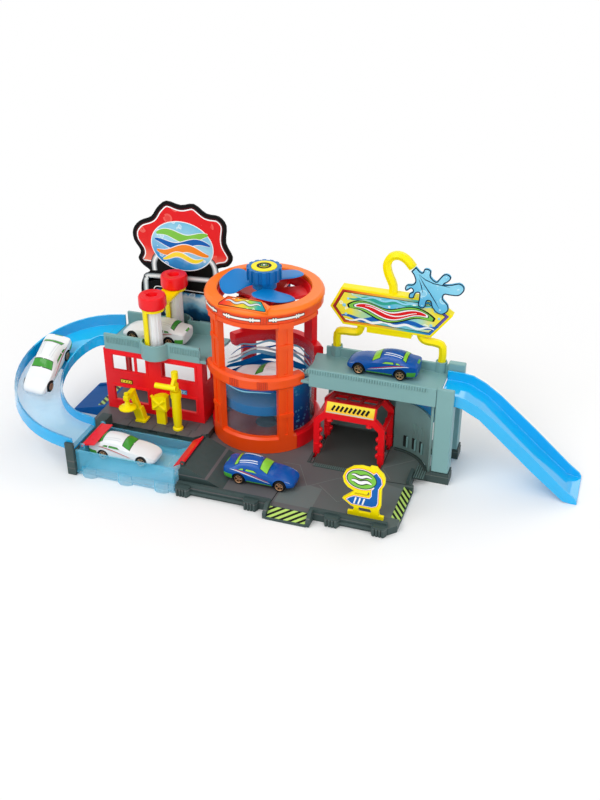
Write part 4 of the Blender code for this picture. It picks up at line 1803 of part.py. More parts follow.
def car_body_mesh():
    """A low coupe body with wheel arches, made once and shared by every car."""
    rear = -(CAR_LENGTH - CAR_FRONT_OVERHANG - CAR_WHEELBASE)
    sections = []
    for along, width, belt, roof, top, under in CAR_SECTION_SHARES:
        x = rear + CAR_LENGTH * along
        half = CAR_WIDTH / 2.0 * width
        z = CAR_HEIGHT
        side = [(half * 0.88, z * under), (half, z * between(under, belt, 0.5)), (half * 0.95, z * belt),
                (half * roof, z * between(belt, top, 0.82)), (half * roof * 0.7, z * top)]
        ring = [(x, -y, height) for y, height in side] + [(x, y, height) for y, height in reversed(side)]
        sections.append(ring)
    body = loft(sections)
    outer = CAR_WIDTH / 2.0 + OVERRUN
    inner = WHEEL_TRACK / 2.0 - WHEEL_WIDTH - ARCH_GAP
    for x in (0.0, CAR_WHEELBASE):
        for side in (-1.0, 1.0):
            cut(body, rod((x, side * inner, WHEEL_RADIUS), (x, side * outer, WHEEL_RADIUS),
                          WHEEL_RADIUS + ARCH_GAP, steps=8))
        cut(body, rod((x, -outer, WHEEL_RADIUS), (x, outer, WHEEL_RADIUS), AXLE_RADIUS + AXLE_GAP, steps=6))
    body.data.name = "car_body"
    mesh = body.data
    bpy.data.objects.remove(body, do_unlink=True)
    return mesh


def wheel_set_mesh():
    """Two wheels and their axle, turned about the axle."""
    outer = WHEEL_TRACK / 2.0
    inner = outer - WHEEL_WIDTH
    rim = WHEEL_RADIUS
    half = [(0.0, outer), (rim * 0.9, outer), (rim, outer - WHEEL_DISH), (rim, inner), (AXLE_RADIUS, inner)]
    profile = half + [(radius, -height) for radius, height in reversed(half)]
    wheels = turned(profile, steps=WHEEL_STEPS)
    wheels.data.transform(Matrix.Rotation(FULL_TURN / 4.0, 4, "X"))
    wheels.data.name = "wheel_set"
    mesh = wheels.data
    bpy.data.objects.remove(wheels, do_unlink=True)
    return mesh


def place_car(name, body_mesh, wheel_mesh, paint, tyre, place):
    """One car: its body and two wheel sets, parented to an empty at its rear axle's ground point."""
    holder = bpy.data.objects.new(name + "_place", None)
    parts.objects.link(holder)
    holder.matrix_world = place
    pieces = ((name + "_body", body_mesh, paint, (0.0, 0.0, 0.0)),
              (name + "_rear_wheels", wheel_mesh, tyre, (0.0, 0.0, WHEEL_RADIUS)),
              (name + "_front_wheels", wheel_mesh, tyre, (CAR_WHEELBASE, 0.0, WHEEL_RADIUS)))
    for piece, mesh, material, offset in pieces:
        thing = link(piece, mesh.copy())
        thing.parent = holder
        thing.location = offset
        thing.data.materials.clear()
        thing.data.materials.append(material)
        thing.data.shade_smooth()
        thing.data.set_sharp_from_angle(angle=0.5)


def level_place(x, y, z, heading):
    """A car's frame on a level floor, given the middle between its axles."""
    turn = Matrix.Rotation(heading, 4, "Z")
    return Matrix.Translation((x, y, z + GAP)) @ turn @ Matrix.Translation((-CAR_WHEELBASE / 2.0, 0.0, 0.0))


def track_car_place():
    """The frame of the car that is running down the curved track."""
    reach = CAR_WHEELBASE / 2.0 / (math.pi * TRACK_RADIUS)
    behind = track_place(TRACK_CAR_SHARE - reach)[0]
    ahead = track_place(TRACK_CAR_SHARE + reach)[0]
    middle, angle, bank = track_place(TRACK_CAR_SHARE)
    forward = (ahead - behind).normalized()
    out = Vector((math.cos(angle), math.sin(angle), 0.0)) * math.cos(bank) + Vector((0.0, 0.0,
                                                                                     1.0)) * math.sin(bank)
    left = (-out - forward * (-out).dot(forward)).normalized()
    up = forward.cross(left)
    if up.z < 0.0:
        left = -left
        up = -up
    turn = Matrix((forward, left, up)).transposed().to_4x4()
    centre = (ahead + behind) / 2.0
    seat = centre + up * (TRACK_CAR_LIFT + GAP)
    return Matrix.Translation(seat) @ turn @ Matrix.Translation((-CAR_WHEELBASE / 2.0, 0.0, 0.0))



def make_cars(white, blue, tyre):
    """Six cars on the decks, the floor, the tub, the track and the lift."""
    body_mesh = car_body_mesh()
    wheel_mesh = wheel_set_mesh()
    back = math.pi
    place_car("left_deck_car", body_mesh, wheel_mesh, white, tyre,
              level_place(DECK_CAR_LEFT_X, DECK_CAR_LEFT_Y, DECK_TOP, back))
    place_car("right_deck_car", body_mesh, wheel_mesh, blue, tyre,
              level_place(DECK_CAR_RIGHT_X, DECK_CAR_RIGHT_Y, DECK_TOP, back))
    place_car("floor_car", body_mesh, wheel_mesh, blue, tyre,
              level_place(FLOOR_CAR_X, FLOOR_CAR_Y, TRAY_TOP, 0.0))
    place_car("tub_car", body_mesh, wheel_mesh, white, tyre,
              level_place(TUB_CAR_X, TUB_CAR_Y, TUB_FLOOR, 0.0))
    place_car("lift_car", body_mesh, wheel_mesh, white, tyre, level_place(0.0, 0.0, LIFT_TOP, back))
    place_car("track_car", body_mesh, wheel_mesh, white, tyre, track_car_place())


def make_palette():
    """One material for each plastic of the set."""
    return {
        "dark_base": make_material("dark_base", (0.060, 0.066, 0.066), 0.45),
        "tub_clear": make_material("tub_clear", (0.25, 0.75, 0.85), 0.08, 0.45),
        "red": make_material("red", (0.72, 0.008, 0.012), 0.3),
        "navy": make_material("navy", (0.0, 0.055, 0.36), 0.35),
        "deck": make_material("deck", (0.27, 0.42, 0.41), 0.4),
        "yellow": make_material("yellow", (1.0, 0.72, 0.01), 0.3),
        "brush": make_material("brush", (0.8, 0.82, 0.82), 0.45),
        "board": make_material("board", (0.75, 0.03, 0.02), 0.35),
        "orange": make_material("orange", (1.0, 0.13, 0.012), 0.3),
        "tank_clear": make_material("tank_clear", (0.75, 0.88, 0.95), 0.05, 0.25),
        "lift_blue": make_material("lift_blue", (0.0, 0.16, 0.45), 0.3),
        "fan_blue": make_material("fan_blue", (0.0, 0.15, 0.58), 0.3),
        "gear_white": make_material("gear_white", (0.8, 0.8, 0.78), 0.4),
        "window_blue": make_material("window_blue", (0.0, 0.35, 0.75), 0.05, 0.45),
        "track_blue": make_material("track_blue", (0.0, 0.42, 0.92), 0.08, 0.6),
        "track_pale": make_material("track_pale", (0.35, 0.72, 0.95), 0.08, 0.5),
        "car_white": make_material("car_white", (0.85, 0.86, 0.88), 0.2),
        "car_blue": make_material("car_blue", (0.0, 0.05, 0.5), 0.2),
        "tyre": make_material("tyre", (0.02, 0.018, 0.016), 0.6),
    }


def make_left_side(paint):
    """Tray, tub, building, left deck and all that stands on them."""
    make_base_tray(paint["dark_base"])
    make_tub(paint["tub_clear"])
    make_flap("exit_flap", paint["red"], TUB_RIGHT + GAP + FLAP_BARREL * 2.5, EXIT_FLAP_RISE,
              EXIT_FLAP_CENTRE_Y, EXIT_FLAP_WIDTH,
              FLAP_DROP, -1.0)
    make_flap("entry_flap", paint["red"], TUB_LEFT + FLAP_BARREL * 2.0, ENTRY_FLAP_Z, ENTRY_FLAP_CENTRE_Y,
              ENTRY_FLAP_WIDTH,
              ENTRY_FLAP_DROP, 1.0)
    make_side_ramp(paint["navy"])
    make_building_front(paint["red"])
    make_building_rear(paint["red"])
    make_left_deck(paint["deck"])
    make_backboard(paint["board"])
    make_gate_arch(paint["yellow"])
    for side, y in (("front", GATE_FRONT_Y), ("rear", GATE_BACK_Y)):
        make_brush_roller(side + "_brush_roller", paint["brush"], y)
        make_brush_knob(side + "_brush_knob", paint["red"], y)
    make_polisher_stand(paint["yellow"])
    make_polisher_head(paint["yellow"])
    make_pump(paint["yellow"])
    make_dryer_post(paint["yellow"])
    make_dryer_arm(paint["yellow"])
    make_track("upper_track", paint["track_blue"], 0.0, TRACK_SPLIT_SHARE)
    seam = GAP / (math.pi * TRACK_RADIUS)
    make_track("lower_track", paint["track_pale"], TRACK_SPLIT_SHARE + seam, 1.0)


def make_tower(paint):
    """Tower frames, tank, lift, drive and crown."""
    front = FULL_TURN * 0.75
    make_tower_frame("tower_front_frame", paint["orange"], front, BASE_SEAM_ANGLE, UPPER_HALF_ANGLE)
    make_tower_frame("tower_rear_frame", paint["red"], FULL_TURN / 4.0, math.pi - BASE_SEAM_ANGLE, 0.0)
    make_tank(paint["tank_clear"])
    make_lift_platform(paint["lift_blue"])
    make_lead_screw(paint["navy"])
    make_drive_gear(paint["gear_white"])
    make_crown(paint["orange"])
    make_crown_spider(paint["red"])
    make_fan(paint["fan_blue"])
    make_crank_knob(paint["fan_blue"])
    make_knob_cap(paint["yellow"])


def make_right_side(paint):
    """Right deck, its posts, the wash bay, the exit ramp and the signs."""
    make_right_deck(paint["deck"])
    front_back = RIGHT_DECK_FRONT + PILLAR_FACE
    make_pillar("front_pillar", paint["deck"], RIGHT_DECK_FRONT, front_back, front_back - SINK,
                front_back + PILLAR_CORE,
                PILLAR_TUCK + GAP)
    make_pillar("rear_pillar", paint["deck"], PILLAR_BACK_FRONT, DECK_BACK,
                PILLAR_BACK_FRONT - PILLAR_CORE * 0.8,
                PILLAR_BACK_FRONT + SINK, 0.0)
    make_bay_wall(paint["deck"])
    make_bay_window(paint["window_blue"])
    make_wash_arch(paint["red"])
    make_exit_ramp(paint["track_blue"])
    make_sign_board(paint["yellow"])
    make_splash_plate(paint["window_blue"])
    make_arrow_sign(paint["yellow"])


def main():
    """Build the whole playset."""
    global parts
    clear_scene()
    parts = bpy.data.collections.new("car_wash_playset")
    scene.collection.children.link(parts)
    paint = make_palette()
    make_left_side(paint)
    make_tower(paint)
    make_right_side(paint)
    make_cars(paint["car_white"], paint["car_blue"], paint["tyre"])


main()
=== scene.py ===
"""Toy car wash playset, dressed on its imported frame.

Lengths are millimetres up to the point where a mesh or a shader is made, which turns them into metres. +Z is up,
the tower's axis stands on the origin, +X runs to the exit ramp and +Y to the back. Each sub-assembly is a class
with the list of its mouldings and with methods that build what lies on them.
"""
import json
import logging
import math
from collections.abc import Callable, Mapping, Sequence
from dataclasses import dataclass
from enum import Enum
from typing import Optional, Union

import bmesh
import bpy
import numpy as np
from mathutils import Matrix, Vector

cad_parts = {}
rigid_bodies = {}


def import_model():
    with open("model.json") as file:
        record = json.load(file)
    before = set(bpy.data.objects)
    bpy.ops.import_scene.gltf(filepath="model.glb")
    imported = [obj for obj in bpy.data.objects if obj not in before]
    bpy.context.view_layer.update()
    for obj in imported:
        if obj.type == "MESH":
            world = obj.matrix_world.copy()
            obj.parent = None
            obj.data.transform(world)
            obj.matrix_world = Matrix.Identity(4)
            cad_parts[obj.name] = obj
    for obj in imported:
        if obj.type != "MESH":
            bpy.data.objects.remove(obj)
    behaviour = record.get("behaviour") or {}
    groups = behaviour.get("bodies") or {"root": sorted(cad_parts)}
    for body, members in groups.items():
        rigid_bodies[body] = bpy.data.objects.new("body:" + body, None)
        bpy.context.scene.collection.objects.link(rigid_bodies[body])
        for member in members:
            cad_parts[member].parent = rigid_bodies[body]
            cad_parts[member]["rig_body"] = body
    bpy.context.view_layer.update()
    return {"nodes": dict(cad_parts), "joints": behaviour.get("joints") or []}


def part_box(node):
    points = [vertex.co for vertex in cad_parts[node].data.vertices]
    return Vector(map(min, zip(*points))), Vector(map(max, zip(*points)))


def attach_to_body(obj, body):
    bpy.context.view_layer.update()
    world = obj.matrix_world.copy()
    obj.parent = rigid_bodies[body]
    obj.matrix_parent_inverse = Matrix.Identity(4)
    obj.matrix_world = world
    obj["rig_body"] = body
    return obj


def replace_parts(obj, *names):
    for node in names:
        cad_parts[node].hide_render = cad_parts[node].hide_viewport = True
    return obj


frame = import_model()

LOG = logging.getLogger("playset")
MM = 0.001
TURN = 2.0 * math.pi
MERGE = 0.002
PRINT_BACK = 0.02
PRINT_BACK_STEP = 0.003
COS_STEEP = 0.5
Array = np.ndarray
Point = tuple[float, float]
Triple = tuple[float, float, float]
Rule = Callable[[Array], Array]


# Shader graph

def operator(operation: str, swapped: bool = False) -> Callable[["Value", "Operand"], "Value"]:
    """A method that adds one Math node.

    Args:
        operation: the node's operation.
        swapped: puts the other operand first, as a reflected form needs.
    Returns:
        The method.
    """
    def method(self: "Value", other: "Operand") -> "Value":
        """Adds the node."""
        pair = (other, self) if swapped else (self, other)
        return self.graph.node("ShaderNodeMath", {"operation": operation}, dict(enumerate(pair)))
    return method


@dataclass(frozen=True)
class Value:
    """A shader socket that takes part in arithmetic; each operator adds one Math node."""

    graph: "Graph"
    socket: bpy.types.NodeSocket

    def math(self, operation: str, *others: "Operand") -> "Value":
        """One Math node with this value first and the others after it."""
        return self.graph.node("ShaderNodeMath", {"operation": operation}, dict(enumerate((self, *others))))

    def __abs__(self) -> "Value":
        """Magnitude."""
        return self.math("ABSOLUTE")

    __add__ = __radd__ = operator("ADD")
    __mul__ = __rmul__ = operator("MULTIPLY")
    __sub__, __rsub__ = operator("SUBTRACT"), operator("SUBTRACT", True)
    __truediv__, __rtruediv__ = operator("DIVIDE"), operator("DIVIDE", True)
    __gt__, __lt__ = operator("GREATER_THAN"), operator("LESS_THAN")


Operand = Union[Value, int, float]
Input = Union[Value, float, Sequence[float]]


def tone(code: str, share: float = 1.0) -> tuple[float, float, float, float]:
    """A colour picked by its six hex digits, as the shader's linear numbers.

    Args:
        code: two hex digits each for red, green and blue.
        share: what each part is multiplied by.
    Returns:
        Linear red, green and blue, at most one, and a full alpha.
    """
    parts = np.array([int(code[at:at + 2], 16) for at in (0, 2, 4)]) / 255.0
    linear = np.where(parts <= 0.04045, parts / 12.92, ((parts + 0.055) / 1.055) ** 2.4) * share
    return (*map(float, np.minimum(linear, 1.0)), 1.0)


class Graph:
    """The node tree of a material or of the world."""

    def __init__(self, owner: Union[bpy.types.Material, bpy.types.World],
                 output: str = "ShaderNodeOutputMaterial") -> None:
        """Empties the owner's tree down to an output node.

        Args:
            owner: the material or world.
            output: the output node's type.
        """
        owner.use_nodes = True
        self.owner, self.tree = owner, owner.node_tree
        self.tree.nodes.clear()
        self.output = self.tree.nodes.new(output)

    def node(self, kind: str, settings: Optional[Mapping[str, object]] = None,
             inputs: Optional[Mapping[Union[int, str], Input]] = None, output: Union[int, str] = 0) -> Value:
        """Adds one node.

        Args:
            kind: the node's type.
            settings: its properties, set first; stops gives a ramp's places and colours.
            inputs: values or links by socket name or number.
            output: the socket that is returned.
        Returns:
            The chosen output.
        """
        made = self.tree.nodes.new(kind)
        for key, setting in (settings or {}).items():
            if key == "stops":
                self.fill_ramp(made.color_ramp, setting)
            else:
                setattr(made, key, setting)
        for key, given in (inputs or {}).items():
            if isinstance(given, Value):
                self.tree.links.new(given.socket, made.inputs[key])
            else:
                made.inputs[key].default_value = given
        return Value(self, made.outputs[output])

    @staticmethod
    def fill_ramp(ramp: bpy.types.ColorRamp, stops: Sequence[tuple[float, str]]) -> None:
        """Sets a ramp's stops.

        Args:
            ramp: the ramp, with its two first stops.
            stops: place and colour code of each.
        """
        while len(ramp.elements) < len(stops):
            ramp.elements.new(1.0)
        for element, (place, code) in zip(ramp.elements, stops):
            element.position, element.color = place, tone(code)

    def axes(self) -> tuple[Value, Value, Value]:
        """Splits the object coordinates.

        Returns:
            X, Y and Z in millimetres.
        """
        place = self.node("ShaderNodeTexCoord", output="Object")
        outputs = self.node("ShaderNodeSeparateXYZ", inputs={0: place}).socket.node.outputs
        return tuple(Value(self, outputs[at]) / MM for at in range(3))

    def along(self, axis: Triple) -> Value:
        """The three parts in millimetres, each times its share of an axis, summed."""
        x, y, z = (part * share for part, share in zip(self.axes(), axis))
        return x + y + z

    def texture(self, kind: str, **inputs: Input) -> Value:
        """A texture node that reads the object coordinates."""
        place = self.node("ShaderNodeTexCoord", output="Object")
        return self.node(kind, inputs={"Vector": place, **inputs})

    def noise(self, scale: float, detail: float = 2.0) -> Value:
        """Soft noise from 0 to 1, with so many cells per metre and so many octaves."""
        return self.texture("ShaderNodeTexNoise", Scale=scale, Detail=detail)

    def mix(self, factor: Input, first: Input, second: Input) -> Value:
        """Colour between two colours by a factor, which is clamped."""
        settings = {"data_type": "RGBA", "clamp_factor": True}
        return self.node("ShaderNodeMix", settings, {0: factor, 6: first, 7: second}, output=2)

    def bump(self, height: Value, depth: float, strength: float = 1.0) -> Value:
        """A normal raised by a height.

        Args:
            height: from 0 to 1.
            depth: millimetres for a height of 1.
            strength: share of the effect.
        Returns:
            The normal.
        """
        return self.node("ShaderNodeBump", inputs={"Strength": strength, "Distance": depth * MM, "Height": height})

    def surface(self, **inputs: Input) -> Value:
        """The principled shader, with underscores for the spaces in its sockets' names."""
        return self.node("ShaderNodeBsdfPrincipled",
                         inputs={key.replace("_", " "): given for key, given in inputs.items()})

    def finish(self, shader: Value) -> Union[bpy.types.Material, bpy.types.World]:
        """Sends a shader to the output and returns the owner."""
        self.tree.links.new(shader.socket, self.output.inputs["Surface"])
        return self.owner


# Finishes

@dataclass(frozen=True)
class Finish:
    """What a surface is made of."""

    label: str

    def paint(self, graph: Graph) -> Value:
        """The finish's shader."""
        raise NotImplementedError

    def material(self) -> bpy.types.Material:
        """Makes the finish's material at its first use.

        Returns:
            The material.
        """
        name = "finish_" + self.label
        known = bpy.data.materials.get(name)
        if known:
            return known
        graph = Graph(bpy.data.materials.new(name))
        return graph.finish(self.paint(graph))


@dataclass(frozen=True)
class Plastic(Finish):
    """Moulded plastic: a slow drift of its colour, a fine skin and a mottled gloss."""

    colour: str
    roughness: float = 0.36
    drift: float = 0.10
    skin: float = 0.05
    grain: float = 1400.0
    slow: float = 26.0
    specular: float = 0.34
    mottle: float = 0.10

    def coloured(self, graph: Graph) -> Value:
        """The colour between a darker and a lighter form of itself, by a slow noise."""
        dark, light = tone(self.colour, 1.0 - self.drift), tone(self.colour, 1.0 + self.drift)
        return graph.mix(graph.noise(self.slow, 3.0), dark, light)

    def paint(self, graph: Graph) -> Value:
        """Drifting colour, gloss that varies with the grain, and a low bump.

        Args:
            graph: the material's nodes.
        Returns:
            The shader.
        """
        grain = graph.noise(self.grain)
        gloss = (grain + graph.noise(self.slow * 3.0)) * self.mottle + (self.roughness - self.mottle)
        return graph.surface(Base_Color=self.coloured(graph), Roughness=gloss, Specular_IOR_Level=self.specular,
                             Normal=graph.bump(grain, self.skin, 0.5))


@dataclass(frozen=True)
class Split(Plastic):
    """Plastic that turns to a second colour above a level."""

    other: str = "ffffff"
    level: float = 0.0
    blend: float = 2.0
    ragged: float = 0.4

    def coloured(self, graph: Graph) -> Value:
        """The drifting colour, mixed with the other one by a soft, ragged step of the height.

        Args:
            graph: the material's nodes.
        Returns:
            The colour.
        """
        height = graph.axes()[2]
        past = (height - self.level) / self.blend + 0.5 + (graph.noise(90.0) - 0.5) * self.ragged
        return graph.mix(past, super().coloured(graph), tone(self.other))


@dataclass(frozen=True)
class Ground(Plastic):
    """The tray's plastic: its flat tops are greyer than its kerbs and turn greener to the right."""

    kerb: str = "324341"
    worn: str = "46595a"
    right: str = "56625f"
    top: float = 8.0
    shop: float = 16.3
    turn_from: float = 60.0
    turn_over: float = 110.0

    def coloured(self, graph: Graph) -> Value:
        """The floors' colour where the point lies at a floor's height, else the kerbs'.

        Args:
            graph: the material's nodes.
        Returns:
            The colour.
        """
        x, _, z = graph.axes()
        flat = (abs(z - self.top) < 0.35) + (abs(z - self.shop) < 0.6)
        greener = (x - self.turn_from) / self.turn_over + (graph.noise(22.0, 3.0) - 0.5) * 0.5
        floor = graph.mix(greener, super().coloured(graph), tone(self.right))
        edge = graph.mix(graph.noise(180.0, 4.0) * 0.5, tone(self.kerb), tone(self.worn))
        return graph.mix(flat, edge, floor)


@dataclass(frozen=True)
class Clear(Plastic):
    """Tinted see-through plastic whose edges read deeper than its faces."""

    cover: float = 0.30
    rim: float = 0.75
    haze: float = 0.10

    def paint(self, graph: Graph) -> Value:
        """Alpha from a facing falloff and a little cloudiness, under a smooth coat.

        Args:
            graph: the material's nodes.
        Returns:
            The shader.
        """
        facing = graph.node("ShaderNodeLayerWeight", inputs={"Blend": 0.35}, output="Facing")
        cloud = graph.noise(60.0, 3.0)
        cover = facing * self.rim + self.cover + cloud * 0.03 + graph.noise(9.0) * self.haze
        return graph.surface(Base_Color=self.coloured(graph), Roughness=cloud * 0.06 + 0.06, Alpha=cover,
                             Coat_Weight=0.6, Coat_Roughness=0.04)


@dataclass(frozen=True)
class Metal(Finish):
    """Plated plastic with a fine grain."""

    colour: str
    roughness: float = 0.25

    def paint(self, graph: Graph) -> Value:
        """Colour and gloss vary with two noises.

        Args:
            graph: the material's nodes.
        Returns:
            The shader.
        """
        fine = graph.noise(2600.0)
        colour = graph.mix(graph.noise(240.0, 3.0), tone(self.colour), tone(self.colour, 0.7))
        return graph.surface(Base_Color=colour, Metallic=0.9, Roughness=fine * 0.14 + self.roughness,
                             Normal=graph.bump(fine, 0.04, 0.4))


@dataclass(frozen=True)
class Hazard(Finish):
    """A sticker of slanting stripes in two colours."""

    period: float
    axis: Triple
    share: float = 0.5
    first: str = "050803"
    second: str = "b9da6c"
    dust: str = "70715f"

    def paint(self, graph: Graph) -> Value:
        """A sawtooth of the distance along the axis decides the colour.

        Args:
            graph: the material's nodes.
        Returns:
            The shader.
        """
        stripe = (graph.along(self.axis) / self.period).math("FRACT") > self.share
        worn = graph.noise(500.0, 3.0)
        colour = graph.mix(stripe, tone(self.first), tone(self.second))
        return graph.surface(Base_Color=graph.mix(worn * 0.06, colour, tone(self.dust)), Roughness=worn * 0.12 + 0.32,
                             Specular_IOR_Level=0.18, Normal=graph.bump(worn, 0.03, 0.4))


@dataclass(frozen=True)
class Gradient(Finish):
    """A printed fade along one direction with scattered bubbles."""

    stops: tuple[tuple[float, str], ...]
    axis: Triple
    start: float
    end: float
    bubbles: float = 0.0
    bubble_colour: str = "e9f7fb"
    waviness: float = 0.0

    def paint(self, graph: Graph) -> Value:
        """The distance along the axis picks the ramp's colour; rings and hearts of a cell pattern lighten it.

        Args:
            graph: the material's nodes.
        Returns:
            The shader.
        """
        wave = (graph.noise(70.0) - 0.5) * self.waviness
        spot = (graph.along(self.axis) + wave - self.start) / (self.end - self.start)
        colour = graph.node("ShaderNodeValToRGB", {"stops": self.stops}, {0: spot})
        if self.bubbles:
            cells = graph.texture("ShaderNodeTexVoronoi", Scale=self.bubbles)
            bubble = (cells < 0.34) * (cells > 0.24) * 0.75 + (cells < 0.24) * 0.35
            colour = graph.mix(bubble * (graph.noise(42.0) > 0.5), colour, tone(self.bubble_colour))
        gloss = graph.noise(900.0)
        return graph.surface(Base_Color=colour, Roughness=gloss * 0.1 + 0.25, Specular_IOR_Level=0.22,
                             Normal=graph.bump(gloss, 0.02, 0.4))


class Slot(Enum):
    """The record's material slots."""

    DARK = "dark_base"
    TUB = "tub_clear"
    RED = "red"
    NAVY = "navy"
    DECK = "deck"
    YELLOW = "yellow"
    BRUSH = "brush"
    BOARD = "board"
    ORANGE = "orange"
    TANK = "tank_clear"
    LIFT = "lift_blue"
    FAN = "fan_blue"
    GEAR = "gear_white"
    WINDOW = "window_blue"
    TRACK = "track_blue"
    PALE = "track_pale"
    WHITE = "car_white"
    BLUE = "car_blue"
    TYRE = "tyre"


DARK = Ground("dark_tray", "605f61", 0.50, 0.10, 0.12, 1500.0)
TILE = Plastic("shop_tile", "57585a", 0.55, 0.16, 0.12, 900.0)
KERB = Plastic("kerb", "33423f", 0.46, 0.16, 0.08)
SEAM = Plastic("floor_seam", "787f7e", 0.5, 0.12)
GRIP = Plastic("floor_grip", "5d7370", 0.5, 0.14)
SLAB = Plastic("floor_slab", "666f6e", 0.5, 0.10, 0.1)
# Dark slab on the bay's floor: painted shade under the deck and the arch.
BAY_PAINTED_SHADE = Plastic("bay_painted_shade", "424644", 0.52, 0.16, 0.1)
# Near-black for the floor's dark seams and the bay's grill slots: painted shade in grooves and slots.
GROOVE_SHADE = Plastic("floor_groove", "141c1c", 0.6, 0.2)
TUB_CLEAR = Clear("tub_clear", "62cdf0", 0.1, cover=0.10, rim=0.80, haze=0.06)
RED = Plastic("red", "ef101c", 0.30)
BUILDING_RED = Plastic("building_red", "f2141f")
NAVY = Plastic("navy", "0059a2", 0.5, specular=0.1)
DECK = Plastic("deck", "7fabac", 0.42, 0.06, 0.08)
# Darker deck colour behind the parapet's ribs: painted shade.
DECK_SHADE = Plastic("deck_shade", "64898a", 0.5, 0.08)
BAY_GREY = Split("bay_grey", "6c8886", 0.42, 0.10, 0.08, other="84aeae", level=48.0, blend=30.0)
YELLOW = Plastic("yellow", "ffe800", 0.30, 0.05, specular=0.2)
BRUSH = Plastic("brush_white", "eef1f3", 0.5, 0.05)
CARD_BLACK = Plastic("card_black", "060607", 0.42, specular=0.12)
# Darker orange behind the tower's ribs: painted shade.
ORANGE_SHADE = Plastic("orange_shade", "b8330a", 0.4)
ORANGE = Split("orange", "fb4e0e", 0.32, 0.07, other="f4540e", level=80.0, blend=50.0)
CROWN_ORANGE = Split("crown_orange", "ee460c", 0.32, 0.07, other="ff7a16", level=165.0, blend=2.5)
TANK = Clear("tank_clear", "9fd4f0", 0.1, cover=0.0, rim=0.16, haze=0.01)
LIFT_BLUE = Plastic("lift_blue", "0069a8")
FAN_BLUE = Plastic("fan_blue", "007cc6", 0.36, 0.06, specular=0.24)
KNOB_BLUE = Plastic("knob_blue", "006db4", 0.36, 0.06, specular=0.24)
GEAR_RED = Plastic("gear_red", "b5141a", 0.42)
WINDOW_BLUE = Clear("window_blue", "1f9be4", 0.1, cover=0.62)
RAMP_BLUE = Clear("ramp_blue", "00b4f2", 0.1, 0.05, cover=0.90, rim=0.4)
TRACK_BLUE = Clear("track_blue", "18bef2", 0.1, cover=0.70)
TRACK_WALL = Clear("track_wall", "04b0ee", 0.1, cover=0.72)
TRACK_PALE = Clear("track_pale", "7fd2f6", 0.1, cover=0.12, rim=0.6, haze=0.16)
TYRE = Plastic("tyre", "151516", 0.62, 0.15, specular=0.2)
COPPER = Metal("copper", "e0b088")
CAR_WHITE = Plastic("car_white", "eef1f2", 0.22, 0.03, 0.01)
CAR_BLUE = Plastic("car_blue", "0653a8", 0.22, 0.08, 0.01, specular=0.3)
CAR_GREEN = Plastic("car_green", "4da63a", 0.24, 0.12, 0.01)
GLASS_GREEN = Plastic("glass_green", "3f9c34", 0.12, 0.25, 0.01)
GLASS_LIME = Plastic("glass_lime", "8ccf3c", 0.12, 0.20, 0.01)
STREAK_RED = Plastic("streak_red", "c0302c", 0.3)
STREAK_PALE = Plastic("streak_pale", "d9dde0", 0.3)
STREAK_WHITE = Plastic("streak_white", "dfe8f4", 0.3)
SEAL_GREEN = Plastic("seal_green", "1e4a22", 0.3)
SEAL_BLUE = Plastic("seal_blue", "06284a", 0.3, specular=0.2)
# Black for the arch wells, the dish behind the spokes and the axles: painted shade.
WELL_SHADE = Plastic("wheel_well_painted_shade", "0c0c0d", 0.6, specular=0.15)
PRINT_WHITE = Plastic("print_white", "f6f8f8", 0.3, 0.03)
PRINT_BLACK = Plastic("print_black", "040506", 0.34, 0.2, specular=0.12)
PRINT_WINE = Plastic("print_wine", "4a0c12", 0.34, 0.2, specular=0.15)
PRINT_RED = Plastic("print_red", "dc0c16", 0.3, 0.08, specular=0.2)
PRINT_ORANGE = Plastic("print_orange", "f58a16", 0.3, 0.08)
PRINT_YELLOW = Plastic("print_yellow", "fbe233", 0.3, 0.06)
PRINT_GREEN = Plastic("print_green", "7cc641", 0.3, 0.10)
PRINT_PINE = Plastic("print_pine", "0f4a38", 0.3, 0.12)
PRINT_BLUE = Plastic("print_blue", "0560b4", 0.3, 0.10, specular=0.2)
PRINT_SKY = Plastic("print_sky", "8fd3ee", 0.3, 0.08)
PRINT_TEAL = Plastic("print_teal", "1fa08c", 0.3, 0.10)
PRINT_GREY = Plastic("print_grey", "7d8488", 0.3, 0.14)
PRINT_SILVER = Plastic("print_silver", "d3d9dc", 0.25, 0.08)
PIPE_WHITE = Plastic("pipe_white", "f4f1ea", 0.3, 0.04)
SPLASH_BLUE = Plastic("splash_blue", "4fb4dc", 0.26, 0.08)
SPLASH_DROP = Plastic("splash_drop", "b4e2f4", 0.2, 0.05)
SPLASH_EDGE = Plastic("splash_edge", "0b2f4a", 0.3, specular=0.15)


# Outlines, as arrays of points in a plane

def loop(points: Sequence[Point], steps: int = 6, hard: Sequence[int] = ()) -> Array:
    """A closed curve through points: each span is the cubic whose end slopes are half the chord
    between its neighbours, and at a hard point both slopes are zero.

    Args:
        points: the points in order.
        steps: samples in each span.
        hard: numbers of the points that stay corners.
    Returns:
        The samples, one row each.
    """
    base = np.asarray(points, float)
    slope = (np.roll(base, -1, 0) - np.roll(base, 1, 0)) / 2.0
    slope[list(hard)] = 0.0
    t = (np.arange(steps) / steps)[None, :, None]
    a, b = base[:, None], np.roll(base, -1, 0)[:, None]
    da, db = slope[:, None], np.roll(slope, -1, 0)[:, None]
    curve = (2 * t**3 - 3 * t**2 + 1) * a + (t**3 - 2 * t**2 + t) * da + (3 * t**2 - 2 * t**3) * b + (t**3 - t**2) * db
    return curve.reshape(-1, 2)


def ellipse(x: float, y: float, across: float, up: float, steps: int = 32) -> Array:
    """Points of an ellipse: centre plus its half axes times cosine and sine."""
    turn = np.arange(steps) / steps * TURN
    return np.stack([x + across * np.cos(turn), y + up * np.sin(turn)], 1)


